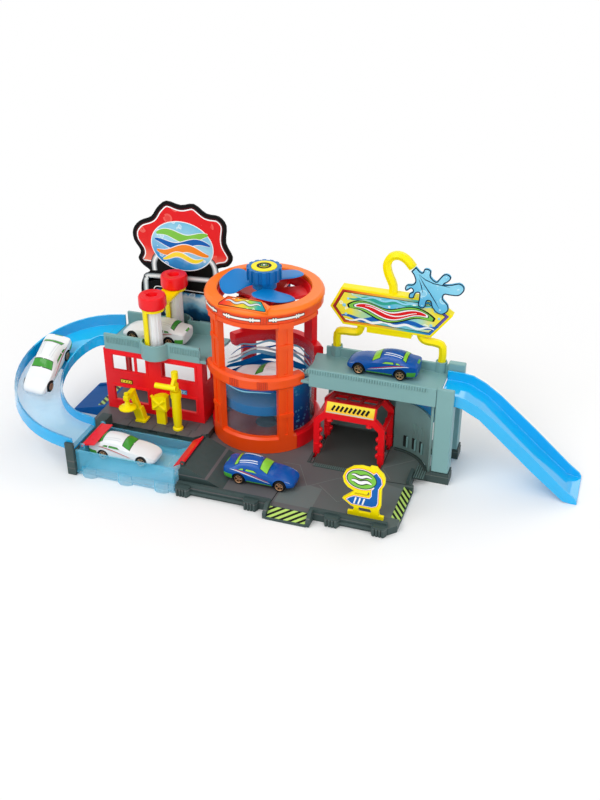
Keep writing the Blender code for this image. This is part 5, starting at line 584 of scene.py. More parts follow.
def rectangle(left: float, low: float, right: float, high: float, corner: float = 0.0, steps: int = 5) -> Array:
    """A rectangle whose corners are quarter circles.

    Args:
        left: least first coordinate.
        low: least second coordinate.
        right: greatest first coordinate.
        high: greatest second coordinate.
        corner: the circles' radius.
        steps: points on each corner.
    Returns:
        The outline, anticlockwise.
    """
    if corner <= 0.0:
        return np.array([(left, low), (right, low), (right, high), (left, high)], float)
    turn = np.linspace(0.0, TURN / 4, steps)
    centres = np.array([(right - corner, low + corner), (right - corner, high - corner),
                        (left + corner, high - corner), (left + corner, low + corner)])
    angle = turn[None, :] + (np.arange(4)[:, None] - 1) * TURN / 4
    return (centres[:, None] + corner * np.stack([np.cos(angle), np.sin(angle)], 2)).reshape(-1, 2)


def inset(outline: Array, distance: float) -> Array:
    """An outline moved inwards: each point goes along the mean of its two edges' normals, by the
    distance over the cosine of half the turn there.

    Args:
        outline: anticlockwise points.
        distance: how far each edge moves in.
    Returns:
        The moved points.
    """
    ahead = np.roll(outline, -1, 0) - outline
    ahead /= np.linalg.norm(ahead, axis=1, keepdims=True) + 1e-12
    both = ahead + np.roll(ahead, 1, 0)
    normal = np.stack([-both[:, 1], both[:, 0]], 1)
    length = np.linalg.norm(normal, axis=1, keepdims=True) + 1e-12
    return outline + normal / length * (distance / np.maximum(length / 2.0, 0.4))


def fitted(shares: Sequence[Point], left: float, low: float, right: float, high: float) -> Array:
    """Points given as shares of a box."""
    return np.array([left, low]) + np.array(shares) * (right - left, high - low)


def stroke(path: Sequence[Point], half: Union[float, Array]) -> Array:
    """The outline of a path drawn with a width: each point moves square to the slope, first on one
    side and then back on the other.

    Args:
        path: points of the middle line.
        half: half the width, one or one for each point.
    Returns:
        The closed outline.
    """
    path = np.asarray(path, float)
    slope = np.gradient(path, axis=0)
    slope /= np.linalg.norm(slope, axis=1, keepdims=True) + 1e-12
    side = np.stack([-slope[:, 1], slope[:, 0]], 1) * np.broadcast_to(half, len(path))[:, None]
    return np.concatenate([path - side, (path + side)[::-1]])


def brushed(path: Array, half: float) -> Array:
    """A stroke that swells from both ends: its half width times the root of a half sine."""
    swell = np.sin(np.linspace(0.02, 0.98, len(path)) * TURN / 2)
    return stroke(path, half * np.sqrt(np.clip(swell, 0.0, 1.0)))


def wave_line(left: float, right: float, middle: float, height: float, waves: float, phase: float = 0.0,
              tilt: float = 0.0) -> Array:
    """A sine wave between two distances.

    Args:
        left: where it starts.
        right: where it ends.
        middle: its mean height.
        height: half its swing.
        waves: how many waves.
        phase: shift in turns.
        tilt: rise over its length.
    Returns:
        The points.
    """
    t = np.linspace(0.0, 1.0, 40)
    return np.stack([left + (right - left) * t, middle + tilt * t + height * np.sin((waves * t + phase) * TURN)], 1)


def polar(radius: Union[float, Array], turn: Array, height: Union[float, Array]) -> Array:
    """Points round an upright axis: radius times cosine and sine of the turn, at a height."""
    return np.stack(np.broadcast_arrays(radius * np.cos(turn), radius * np.sin(turn), height), -1)


# Shells

@dataclass
class Shell:
    """A closed surface on its way to a mesh."""

    points: Array
    faces: list[tuple[int, ...]]
    skin: int = 0

    def bent(self, rule: Rule) -> "Shell":
        """The shell with its points sent through a rule."""
        return Shell(rule(self.points), self.faces, self.skin)

    def moved(self, matrix: Matrix) -> "Shell":
        """The shell under a rigid move."""
        table = np.array(matrix)
        return Shell(self.points @ table[:3, :3].T + table[:3, 3], self.faces, self.skin)

    def dressed(self, skin: int) -> "Shell":
        """The shell with another number of finish."""
        return Shell(self.points, self.faces, skin)


def sheet(points: Array, wrap_rows: bool = False) -> Shell:
    """A grid of points as quads: row i and column j join row i+1 and column j+1, and the last column the first.

    Args:
        points: rows by columns by three.
        wrap_rows: joins the last row to the first, where else one face closes each end.
    Returns:
        The shell.
    """
    rows, columns = points.shape[:2]
    i, j = np.arange(rows - (not wrap_rows))[:, None], np.arange(columns)[None, :]
    below, above, right = i * columns, (i + 1) % rows * columns, (j + 1) % columns
    quads = np.stack([below + j, below + right, above + right, above + j], -1).reshape(-1, 4)
    faces = list(map(tuple, quads.tolist()))
    if not wrap_rows:
        faces += [tuple(range(columns))[::-1], tuple(range((rows - 1) * columns, rows * columns))]
    return Shell(points.reshape(-1, 3), faces)


def plate(outline: Array, low: float, high: float, round_by: float = 0.0) -> Shell:
    """A flat plate: its outline is carried up and, at its upper edge, in along a quarter circle.

    Args:
        outline: anticlockwise points in the plane.
        low: height of its lower face.
        high: height of its upper face.
        round_by: the quarter circle's radius.
    Returns:
        The shell, its heights along the third axis.
    """
    rim = [(0.0, high)]
    if round_by > 0.0:
        rim = [(round_by * (1 - math.cos(angle)), high - round_by * (1 - math.sin(angle)))
               for angle in np.linspace(0.0, TURN / 4, 4)]
    return panel(outline, [(0.0, low)] + rim)


def panel(outline: Array, section: Sequence[Point]) -> Shell:
    """A plate whose outline is carried up a section of insets and heights, from the lowest."""
    rings = [np.column_stack([inset(outline, step), np.full(len(outline), height)]) for step, height in section]
    return sheet(np.stack(rings))


def lathe(profile: Sequence[Point], steps: int = 48, closed: bool = False) -> Shell:
    """A profile of radius and height turned about the third axis.

    Args:
        profile: radius and height of each point.
        steps: samples round the axis.
        closed: whether the profile's end joins its start.
    Returns:
        The shell; ends on the axis meet in one point once doubles are merged.
    """
    table = np.asarray(profile, float)
    return sheet(polar(table[:, :1], np.arange(steps) / steps * TURN, table[:, 1:]), closed)


def thick(outer: Array, inner: Array) -> Shell:
    """Two grids of the same size as one shell: each column runs out along the outer and back along the inner."""
    return sheet(np.concatenate([outer, inner[:, ::-1]], 1))


def spline(points: Array, steps: int, degree: int = 2) -> Array:
    """How much each control point weighs at each sample of a clamped spline, by the usual recursion
    on its knots, for even samples of the parameter.

    Args:
        points: the control points, of which only the number counts.
        steps: samples.
        degree: degree of the pieces.
    Returns:
        Samples by control points.
    """
    knots = np.concatenate([np.zeros(degree), np.linspace(0, 1, len(points) - degree + 1), np.ones(degree)])
    t = np.linspace(0.0, 1.0 - 1e-9, steps)[:, None]
    weight = ((t >= knots[None, :-1]) & (t < knots[None, 1:])).astype(float)
    for order in range(1, degree + 1):
        width = len(knots) - 1 - order
        low, high = knots[:width], knots[order:order + width]
        rise = np.divide(t - low, high - low, out=np.zeros((steps, width)), where=high > low)
        low, high = knots[1:1 + width], knots[order + 1:order + 1 + width]
        fall = np.divide(high - t, high - low, out=np.zeros((steps, width)), where=high > low)
        weight = rise * weight[:, :width] + fall * weight[:, 1:1 + width]
    return weight


@dataclass(frozen=True)
class Plane:
    """A flat place on the set: a corner, the way across it and the way up it."""

    corner: Triple
    across: Triple = (1.0, 0.0, 0.0)
    up: Triple = (0.0, 0.0, 1.0)

    def put(self, points: Array) -> Array:
        """Sends flat points with a height to the place: corner + x across + y up + height outwards."""
        across, up = (np.array(way) / np.linalg.norm(way) for way in (self.across, self.up))
        return np.array(self.corner) + points @ np.stack([across, up, np.cross(across, up)])


def rolled(radius: float, angle: float, height: float = 0.0, centre: Point = (0.0, 0.0), out: float = 1.0) -> Rule:
    """A rule that lays flat points round an upright cylinder: x is the arc from an angle, y goes up
    from a height and the third coordinate stands off the face.

    Args:
        radius: the cylinder's radius.
        angle: where the arc starts, in radians.
        height: where y starts.
        centre: the cylinder's axis.
        out: one for its outer face and minus one for its inner face.
    Returns:
        The rule for an array of points.
    """
    def rule(points: Array) -> Array:
        """Lays the points round the cylinder."""
        x, y, z = points.T
        return polar(radius + out * z, angle + out * x / radius, height + y) + (*centre, 0.0)
    return rule


def beads(spots: Sequence[Triple], flat: float, lift: float = 0.0) -> list[Shell]:
    """Low domes on a plane: each is a quarter circle of its radius turned round, flattened by a share.

    Args:
        spots: place and radius of each.
        flat: height over radius.
        lift: how high they stand.
    Returns:
        The shells, their heights along the third axis.
    """
    turn = np.linspace(0.0, TURN / 4, 6)
    arc = np.stack([np.cos(turn), flat * np.sin(turn)], 1)
    domes = [lathe(np.concatenate([[(0.0, -0.05)], arc * r]), 20) for _, _, r in spots]
    return [dome.moved(Matrix.Translation((x, y, lift))) for dome, (x, y, _) in zip(domes, spots)]


# Pieces

def linked(name: str, data: bpy.types.ID) -> bpy.types.Object:
    """A new object in the scene.

    Args:
        name: its name.
        data: its mesh, camera or lamp.
    Returns:
        The object at the origin.
    """
    thing = bpy.data.objects.new(name, data)
    bpy.context.scene.collection.objects.link(thing)
    return thing


def to_object(name: str, shells: Sequence[Shell], finishes: Sequence[Finish], sharp: float = 40.0) -> bpy.types.Object:
    """One object from shells, merged, facing outwards and shaded smooth below an angle.

    Args:
        name: the piece's name.
        shells: its closed surfaces.
        finishes: the finishes that the shells number.
        sharp: degrees from which an edge stays sharp.
    Returns:
        The object at the origin.
    """
    mesh = bpy.data.meshes.new(name)
    offsets = np.cumsum([0] + [len(shell.points) for shell in shells])
    points = np.concatenate([shell.points for shell in shells]) * MM
    faces = [tuple(at + int(offset) for at in face) for shell, offset in zip(shells, offsets) for face in shell.faces]
    mesh.from_pydata(points.tolist(), [], faces)
    skins = np.repeat([shell.skin for shell in shells], [len(shell.faces) for shell in shells])
    mesh.polygons.foreach_set("material_index", skins.astype(np.int32))
    work = bmesh.new()
    work.from_mesh(mesh)
    bmesh.ops.remove_doubles(work, verts=work.verts, dist=MERGE * MM)
    bmesh.ops.recalc_face_normals(work, faces=work.faces)
    work.to_mesh(mesh)
    work.free()
    for finish in finishes:
        mesh.materials.append(finish.material())
    mesh.shade_smooth()
    mesh.set_sharp_from_angle(angle=math.radians(sharp))
    return linked(name, mesh)


def attach(thing: bpy.types.Object, body: str, slot: Slot) -> bpy.types.Object:
    """Lets a piece ride on its body and reports it.

    Args:
        thing: the piece, in place.
        body: the body that it moves with.
        slot: the record's slot of its finish; not used.
    Returns:
        The same piece.
    """
    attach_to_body(thing, body)
    LOG.info("%s rides on %s", thing.name, body)
    return thing


def make(name: str, shells: Sequence[Shell], finishes: Sequence[Finish], slot: Slot, body: str = "playset",
         sharp: float = 40.0) -> bpy.types.Object:
    """Builds and attaches one new piece.

    Args:
        name: the piece's name.
        shells: its surfaces.
        finishes: their finishes.
        slot: the record's slot.
        body: the body that it rides on.
        sharp: degrees from which an edge stays sharp.
    Returns:
        The piece.
    """
    return attach(to_object(name, shells, finishes, sharp), body, slot)


def prints(name: str, rule: Rule, layers: Sequence[tuple[Array, Finish]], slot: Slot, base: float, step: float,
           body: str = "playset") -> bpy.types.Object:
    """A print of flat layers that lie one on another, each a thin plate.

    Args:
        name: the piece's name.
        rule: sends flat points with a height to their place.
        layers: outline and finish of each, from the lowest.
        slot: the record's slot.
        base: height of the first layer's face.
        step: rise from each layer to the next.
        body: the body that it rides on.
    Returns:
        The piece.
    """
    finishes = list(dict.fromkeys(finish for _, finish in layers))
    shells = []
    for number, (outline, finish) in enumerate(layers):
        layer = plate(np.asarray(outline, float), PRINT_BACK + PRINT_BACK_STEP * number, base + step * number)
        shells.append(layer.bent(rule).dressed(finishes.index(finish)))
    return make(name, shells, finishes, slot, body)


@dataclass(frozen=True)
class Moulding:
    """A node's exact shape with rounded edges, which stands for the node.

    Its walls may have another finish, on the faces that stand steeper than 60 degrees. Neighbouring faces
    that turn by less than flat degrees become one before the edges are rounded.
    """

    node: str
    finish: Finish
    slot: Slot
    round_by: float = 0.35
    flat: float = 1.0
    walls: Optional[Finish] = None
    sharp: float = 38.0
    merge: float = 0.005

    def mesh(self) -> bpy.types.Mesh:
        """Copies the node's mesh, merges its points and flat faces, and gives it the finishes.

        Returns:
            The mesh.
        """
        mesh = frame["nodes"][self.node].data.copy()
        work = bmesh.new()
        work.from_mesh(mesh)
        bmesh.ops.remove_doubles(work, verts=work.verts, dist=self.merge * MM)
        bmesh.ops.dissolve_limit(work, angle_limit=math.radians(self.flat), verts=work.verts, edges=work.edges)
        work.to_mesh(mesh)
        work.free()
        mesh.materials.clear()
        for finish in filter(None, (self.finish, self.walls)):
            mesh.materials.append(finish.material())
        normals = np.empty(len(mesh.polygons) * 3, np.float32)
        mesh.polygons.foreach_get("normal", normals)
        steep = (np.abs(normals[2::3]) < COS_STEEP) & bool(self.walls)
        mesh.polygons.foreach_set("material_index", steep.astype(np.int32))
        mesh.shade_smooth()
        mesh.set_sharp_from_angle(angle=math.radians(self.sharp))
        return mesh

    def build(self) -> None:
        """The piece, rounded by live modifiers, in the node's place."""
        thing = linked(self.node + "_moulding", self.mesh())
        bevel = thing.modifiers.new("rounding", "BEVEL")
        bevel.width, bevel.segments = self.round_by * MM, 2
        bevel.limit_method, bevel.angle_limit = "ANGLE", math.radians(self.sharp)
        bevel.use_clamp_overlap = True
        thing.modifiers.new("even_shading", "WEIGHTED_NORMAL").keep_sharp = True
        attach(thing, frame["nodes"][self.node]["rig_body"], self.slot)
        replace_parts(thing, self.node)


Mouldings = tuple[Moulding, ...]


@dataclass
class Assembly:
    """A part of the set: its mouldings and what lies on them."""

    mouldings: Mouldings = ()

    def dress(self) -> None:
        """Builds what lies on the mouldings; here nothing."""

    def build(self) -> None:
        """Builds the mouldings and then what lies on them."""
        for moulding in self.mouldings:
            moulding.build()
        self.dress()


# Tray and its neighbours

def sticker(name: str, plane: Plane, outline: Array, stripes: Hazard, slot: Slot) -> None:
    """A striped film on a slope.

    Args:
        name: the piece's name.
        plane: the slope.
        outline: the film's outline on it.
        stripes: its finish.
        slot: the record's slot.
    """
    make(name, [plate(outline, 0.05, 0.25).bent(plane.put)], [stripes], slot)


@dataclass
class Tray(Assembly):
    """The dark tray with its striped slopes, its floor's seams and grips, and the workshop's tiles."""

    mouldings: Mouldings = (Moulding("base_tray", DARK, Slot.DARK, 0.4),)
    floor: Plane = Plane((0.0, 0.0, 8.0), (1, 0, 0), (0, 1, 0))
    shop: Plane = Plane((0.0, 0.0, 16.0), (1, 0, 0), (0, 1, 0))
    front_slope: Plane = Plane((51.4, -147.0, 2.5), (1, 0, 0), (0.0, 13.0, 5.2))
    side_slope: Plane = Plane((175.0, -117.4, 2.5), (0, 1, 0), (-10.0, 0.0, 5.8))
    slot_lines: Point = (65.9, 133.5)
    strips: tuple = ((70.2, -59.4, 129.3, -53.4, 2.1), (169.5, -48.0, 180.6, -25.0, 2.2))
    seams: tuple = (((75.8, -94.4), (95.2, -76.7), (102.2, -70.8)), ((137.6, -40.6), (165.0, -16.4)),
                    ((58.0, -62.0), (75.8, -94.4)), ((87.0, -89.1), (110.6, -109.3), (116.3, -104.3)),
                    ((102.2, -70.8), (137.6, -84.0), (141.0, -78.0)), ((40.0, -62.0), (58.0, -62.0)),
                    ((137.6, -40.6), (150.0, -58.0)), ((118.0, -66.0), (137.6, -52.0)))
    dark_seams: tuple = (((141.0, -62.5), (171.7, -60.8)), ((51.0, -130.5), (52.6, -98.0)),
                         ((-40.0, -66.5), (-8.0, -97.0)))
    slabs: tuple = ((((53.6, -128.0), (91.0, -128.0), (91.3, -94.1), (78.0, -92.0), (54.4, -106.0)), SLAB),
                    (((146.0, -66.0), (165.0, -69.6), (165.5, -118.0), (150.0, -119.0)), SLAB),
                    # The last slab darkens the bay's floor: painted shade.
                    (((69.6, -53.0), (129.8, -53.0), (129.8, 21.0), (69.6, 21.0)), BAY_PAINTED_SHADE))
    bay: Point = (139.0, -45.0)
    ledge_section: tuple[Point, ...] = ((42.9, 8.05), (42.9, 9.6), (40.6, 9.6), (40.0, 9.1), (40.0, 8.05))

    def slopes(self) -> None:
        """The striped stickers on the two slopes."""
        outline = rectangle(0.9, 0.9, 39.4, math.hypot(13.0, 5.2) - 0.9, 0.3)
        sticker("front_slope_sticker", self.front_slope, outline, Hazard("front_stripes", 8.3, (1.0, -1.37, 0.0), 0.46),
                Slot.DARK)
        outline = rectangle(0.9, 1.7, 52.2, math.hypot(10.0, 5.8) - 0.6, 0.3)
        sticker("side_slope_sticker", self.side_slope, outline, Hazard("side_stripes", 7.9, (0.87, 1.0, 0.0)),
                Slot.DARK)

    def lines(self) -> None:
        """Slabs and thin seams drawn on the floor, and the rims round the arch's slots; the bay's dark slab and the
        dark seams are painted shade.
        """
        prints("floor_slabs", self.floor.put, self.slabs, Slot.DARK, 0.04, 0.0)
        layers = [(stroke(line, 0.2), SEAM) for line in self.seams]
        # Dark seams: painted shade in the floor's grooves.
        layers += [(stroke(line, 0.45), GROOVE_SHADE) for line in self.dark_seams]
        prints("floor_seams", self.floor.put, layers, Slot.DARK, 0.06, 0.004)
        shells = []
        for x in self.slot_lines:
            outer, inner = rectangle(x - 3.3, -54.6, x + 3.3, 23.4, 0.6), rectangle(x - 2.3, -53.6, x + 2.3, 22.4, 0.2)
            section = (outer, 0.02), (outer, 0.45), (inner, 0.45), (inner, 0.02)
            rings = [np.column_stack([ring, np.full(len(ring), z)]) for ring, z in section]
            shells.append(sheet(np.stack(rings), True).bent(self.floor.put))
        make("slot_rims", shells, [KERB], Slot.DARK)

    def grips(self) -> None:
        """Two ribbed strips: rows of low bars on a plate, one before the arch and one by the right post."""
        shells = []
        for left, low, right, high, pitch in self.strips:
            count = int((right - left) / pitch)
            shells.append(plate(rectangle(left, low, right, high, 0.3), 0.02, 0.30))
            for x in left + (np.arange(count) + 0.5) * (right - left) / count:
                bar = rectangle(x - 0.6, low + 0.4, x + 0.6, high - 0.4, 0.2, 3)
                shells.append(plate(bar, 0.25, 0.95, 0.2).dressed(1))
        make("floor_grips", [shell.bent(self.floor.put) for shell in shells], [KERB, GRIP], Slot.DARK)

    def tiles(self) -> None:
        """Square slabs with rounded edges on the workshop's floor, two rows before the building."""
        shells = []
        for row, (start, low, high) in enumerate(((-146.0, -61.5, -48.5), (-143.0, -48.0, -34.6))):
            for at in range(6):
                left = start + at * 13.6
                slab = rectangle(left, low, left + 13.0, high, 0.5, 3)
                shells.append(plate(slab, 0.05, 0.42 + 0.06 * ((at + row) % 3), 0.2).bent(self.shop.put))
        make("workshop_tiles", shells, [TILE], Slot.DARK)

    def ledge(self) -> None:
        """The dark curved step at the foot of the bay's wall: a bent bar round the wall's axis."""
        turn = np.linspace(math.radians(16.0), math.radians(88.0), 26)
        bar = np.stack([polar(r, turn, z) for r, z in self.ledge_section], 1) + (*self.bay, 0.0)
        make("bay_ledge", [sheet(bar)], [KERB], Slot.DARK, sharp=30.0)

    def dress(self) -> None:
        """All that lies on the tray."""
        self.slopes()
        self.lines()
        self.grips()
        self.tiles()
        self.ledge()


@dataclass
class Tub(Assembly):
    """The clear tub and its two swinging flaps."""

    mouldings: Mouldings = (Moulding("splash_tub", TUB_CLEAR, Slot.TUB, 0.4),
                            Moulding("exit_flap", RED, Slot.RED, 0.3), Moulding("entry_flap", RED, Slot.RED, 0.3))


@dataclass
class SideRamp(Assembly):
    """The navy ramp at the workshop's edge."""

    mouldings: Mouldings = (Moulding("side_ramp", NAVY, Slot.NAVY),)
    rise: float = 0.2512
    inner: float = 28.0
    width: float = 8.0
    margin: float = 3.0

    def dress(self) -> None:
        """Its stripes."""
        low, high = (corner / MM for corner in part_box("side_ramp"))
        slope = Plane((low.x + self.inner, low.y + self.margin, 1.2 + self.inner * self.rise), (1.0, 0.0, self.rise),
                      (0.0, 1.0, 0.0))
        outline = rectangle(0.0, 0.0, self.width, high.y - low.y - 2.0 * self.margin, 0.4)
        sticker("side_ramp_sticker", slope, outline, Hazard("ramp_stripes", 7.6, (0.9, 1.0, 0.0)), Slot.NAVY)


@dataclass
class Building(Assembly):
    """The red building under the left deck, with two small plates of plain bars on its front."""

    mouldings: Mouldings = (Moulding("building_front_wall", BUILDING_RED, Slot.RED),
                            Moulding("building_rear_wall", BUILDING_RED, Slot.RED))
    front: Plane = Plane((0.0, -32.2, 0.0))
    tags: tuple = ((-152.5, 49.2, -138.5, 53.8, PRINT_BLACK, PRINT_YELLOW),
                   (-89.0, 48.2, -76.0, 53.2, PRINT_BLUE, PRINT_SKY))

    def dress(self) -> None:
        """The two plates."""
        layers = []
        for left, low, right, high, ring, field in self.tags:
            whole = rectangle(left, low, right, high, 0.7, 3)
            bars = [(stroke([(x, low + 1.3), (x + 0.9, high - 1.3)], 0.35), ring)
                    for x in np.linspace(left + 2.2, right - 2.2, 4)]
            layers += [(whole, ring), (inset(whole, 0.6), field), *bars]
        prints("building_tags", self.front.put, layers, Slot.RED, 0.5, 0.05)


@dataclass(frozen=True)
class RibBand:
    """A band of upright ribs on a parapet's front, from left to right along X and from low to high."""

    name: str
    left: float
    right: float
    front: float
    low: float = 95.5
    high: float = 102.6
    pitch: float = 1.8
    proud: float = 0.7

    def build(self) -> None:
        """The ribs, whose depth is a raised cosine of the distance, and a darker strip behind them, painted shade
        between the ribs.
        """
        count = int((self.right - self.left) / self.pitch) * 6
        x = np.linspace(self.left, self.right, count)
        depth = self.proud * np.clip(0.5 + 0.9 * np.cos((x - self.left) / self.pitch * TURN), 0.0, 1.0) + 0.05
        rows = ((self.low, 0.0), (self.low + 0.3, 1.0), (self.high - 0.3, 1.0), (self.high, 0.0))
        outer = np.stack([np.stack([x, self.front - depth * share - 0.02, np.full(count, z)], 1) for z, share in rows])
        inner = outer.copy()
        inner[..., 1] = self.front + 0.3
        make(self.name, [thick(outer, inner)], [DECK], Slot.DECK, sharp=30.0)
        back = plate(rectangle(self.left, self.low, self.right, self.high), 0.02, 0.16)
        make(self.name + "_shade", [back.bent(Plane((0.0, self.front, 0.0)).put)], [DECK_SHADE], Slot.DECK)


@dataclass
class LeftDeck(Assembly):
    """The deck over the building, with the ribbed bands of its parapet."""

    mouldings: Mouldings = (Moulding("left_deck", DECK, Slot.DECK),)
    bands: tuple[RibBand, ...] = (RibBand("parapet_ribs_left", -164.0, -127.5, -33.0),
                                  RibBand("parapet_ribs_right", -91.5, -58.0, -33.0))

    def dress(self) -> None:
        """The bands."""
        for band in self.bands:
            band.build()


@dataclass
class Gate(Assembly):
    """The yellow gate with its two turning brushes and their knobs."""

    mouldings: Mouldings = (
        Moulding("gate_arch", YELLOW, Slot.YELLOW), Moulding("front_brush_roller", BRUSH, Slot.BRUSH, 0.2),
        Moulding("front_brush_knob", RED, Slot.RED, 0.5), Moulding("rear_brush_roller", BRUSH, Slot.BRUSH, 0.2),
        Moulding("rear_brush_knob", RED, Slot.RED, 0.5))


@dataclass
class Backboard(Assembly):
    """The die-cut board behind the left deck."""

    mouldings: Mouldings = (Moulding("backboard", CARD_BLACK, Slot.BOARD, 0.2),)
    face: Plane = Plane((0.0, 39.6, 0.0))
    box: tuple[float, ...] = (-162.0, 85.6, -48.4, 229.6)
    field_low: float = 154.0
    outline: tuple[Point, ...] = (
        (0.04, 0.00), (0.04, 0.20), (0.05, 0.33), (0.10, 0.405), (0.15, 0.44), (0.08, 0.48), (0.04, 0.53),
        (0.07, 0.59), (0.01, 0.67), (0.01, 0.75), (0.08, 0.82), (0.20, 0.865), (0.27, 0.94), (0.36, 0.995),
        (0.50, 0.975), (0.63, 0.995), (0.75, 0.935), (0.87, 0.925), (0.94, 0.86), (0.93, 0.73), (0.99, 0.63),
        (0.95, 0.56), (0.85, 0.53), (0.81, 0.48), (0.80, 0.33), (0.80, 0.00))
    arch: tuple[Point, ...] = ((-139.0, 150.0), (-139.0, 160.0), (-134.0, 168.0), (-122.0, 171.0), (-84.0, 171.0),
                               (-74.0, 168.5), (-69.5, 160.0), (-69.5, 150.0))
    elbow: tuple[Point, ...] = ((-150.6, 100.0), (-150.6, 134.0), (-148.6, 140.0), (-141.0, 143.6), (-70.5, 147.5))
    waves: tuple = ((-134.0, -76.0, 192.0, 4.4, 0.05, PRINT_GREEN), (-136.0, -74.0, 183.5, 3.6, 0.3, PRINT_BLUE),
                    (-134.5, -76.0, 175.5, 4.0, 0.55, PRINT_ORANGE), (-128.0, -82.0, 168.0, 2.6, 0.8, PRINT_YELLOW))
    fade: Gradient = Gradient("board_field",
                              ((0.0, "fbd9cf"), (0.10, "f38a72"), (0.32, "e6211f"), (0.7, "e30f17"), (1.0, "e30f17")),
                              (0.0, 0.0, 1.0), 152.0, 229.6, bubbles=60.0, bubble_colour="ee6a60", waviness=9.0)
    water: Gradient = Gradient("board_water", ((0.0, "0d4f9c"), (0.3, "2f93d4"), (0.6, "a8dcf0"), (1.0, "4fb4dc")),
                               (0.25, 0.0, 1.0), 110.0, 190.0, bubbles=130.0, waviness=26.0)
    pond: Gradient = Gradient("board_pond", ((0.0, "0c1418"), (0.3, "14527e"), (0.5, "7cc2e4"), (0.72, "e6f5fa"),
                                             (0.86, "58a8d8"), (1.0, "1c5c94")),
                              (0.0, 0.0, 1.0), 96.0, 131.0, bubbles=110.0, waviness=26.0)

    def pipe(self, path: Array) -> list[tuple[Array, Finish]]:
        """A printed silver pipe: ever narrower and paler strokes along a path."""
        return [(stroke(path, half), finish)
                for half, finish in ((3.6, PRINT_BLACK), (3.0, PRINT_GREY), (1.9, PRINT_SILVER), (0.7, PRINT_WHITE))]

    def picture(self) -> list[tuple[Array, Finish]]:
        """A white line round a red field that pales downwards, a pipe arch and a disc of waves on it.

        Returns:
            Outline and finish of each layer.
        """
        edge = loop(fitted(self.outline, *self.box), 6, (0, 25))[::-1]
        upper = edge[edge[:, 1] > self.field_low]
        layers = [(inset(upper, 3.6), PRINT_WINE), (inset(upper, 5.0), PRINT_WHITE), (inset(upper, 6.3), self.fade)]
        arch = loop(self.arch, 5, (0, 7))[:-5]
        layers += [(np.concatenate([arch, [(-69.5, 146.0), (-139.0, 146.0)]])[::-1], PRINT_BLACK)] + self.pipe(arch)
        disc = ellipse(-105.5, 181.5, 34.5, 26.5, 56)
        layers += [(inset(disc, -0.9), PRINT_WHITE), (disc, self.water)]
        for left, right, z, half, phase, finish in self.waves:
            line = wave_line(left, right, z, 3.2, 1.2, phase, 2.0)
            layers += [(brushed(line, half + 0.9), PRINT_WHITE), (brushed(line, half), finish)]
        elbow = loop(self.elbow, 6, (0, 4))[:-6]
        return layers + self.pipe(np.concatenate([elbow, [self.elbow[-1]]]))

    def dress(self) -> None:
        """The picture and a framed pond below it."""
        prints("board_print", self.face.put, self.picture(), Slot.BOARD, 0.08, 0.03)
        lower = rectangle(-143.0, 92.0, -73.0, 133.5, 6.0, 6)
        layers = [(lower, PRINT_BLACK), (inset(lower, 1.0), PRINT_WHITE), (inset(lower, 1.9), PRINT_BLACK),
                  (inset(lower, 4.2), self.pond)]
        prints("board_window_print", self.face.put, layers, Slot.BOARD, 0.62, 0.04)


@dataclass
class Tools(Assembly):
    """Polisher, pump and dryer in the workshop."""

    mouldings: Mouldings = tuple(
        Moulding(node, YELLOW, Slot.YELLOW, 0.3)
        for node in ("polisher_stand", "polisher_head", "pump_unit", "dryer_post", "dryer_arm"))


# Tower

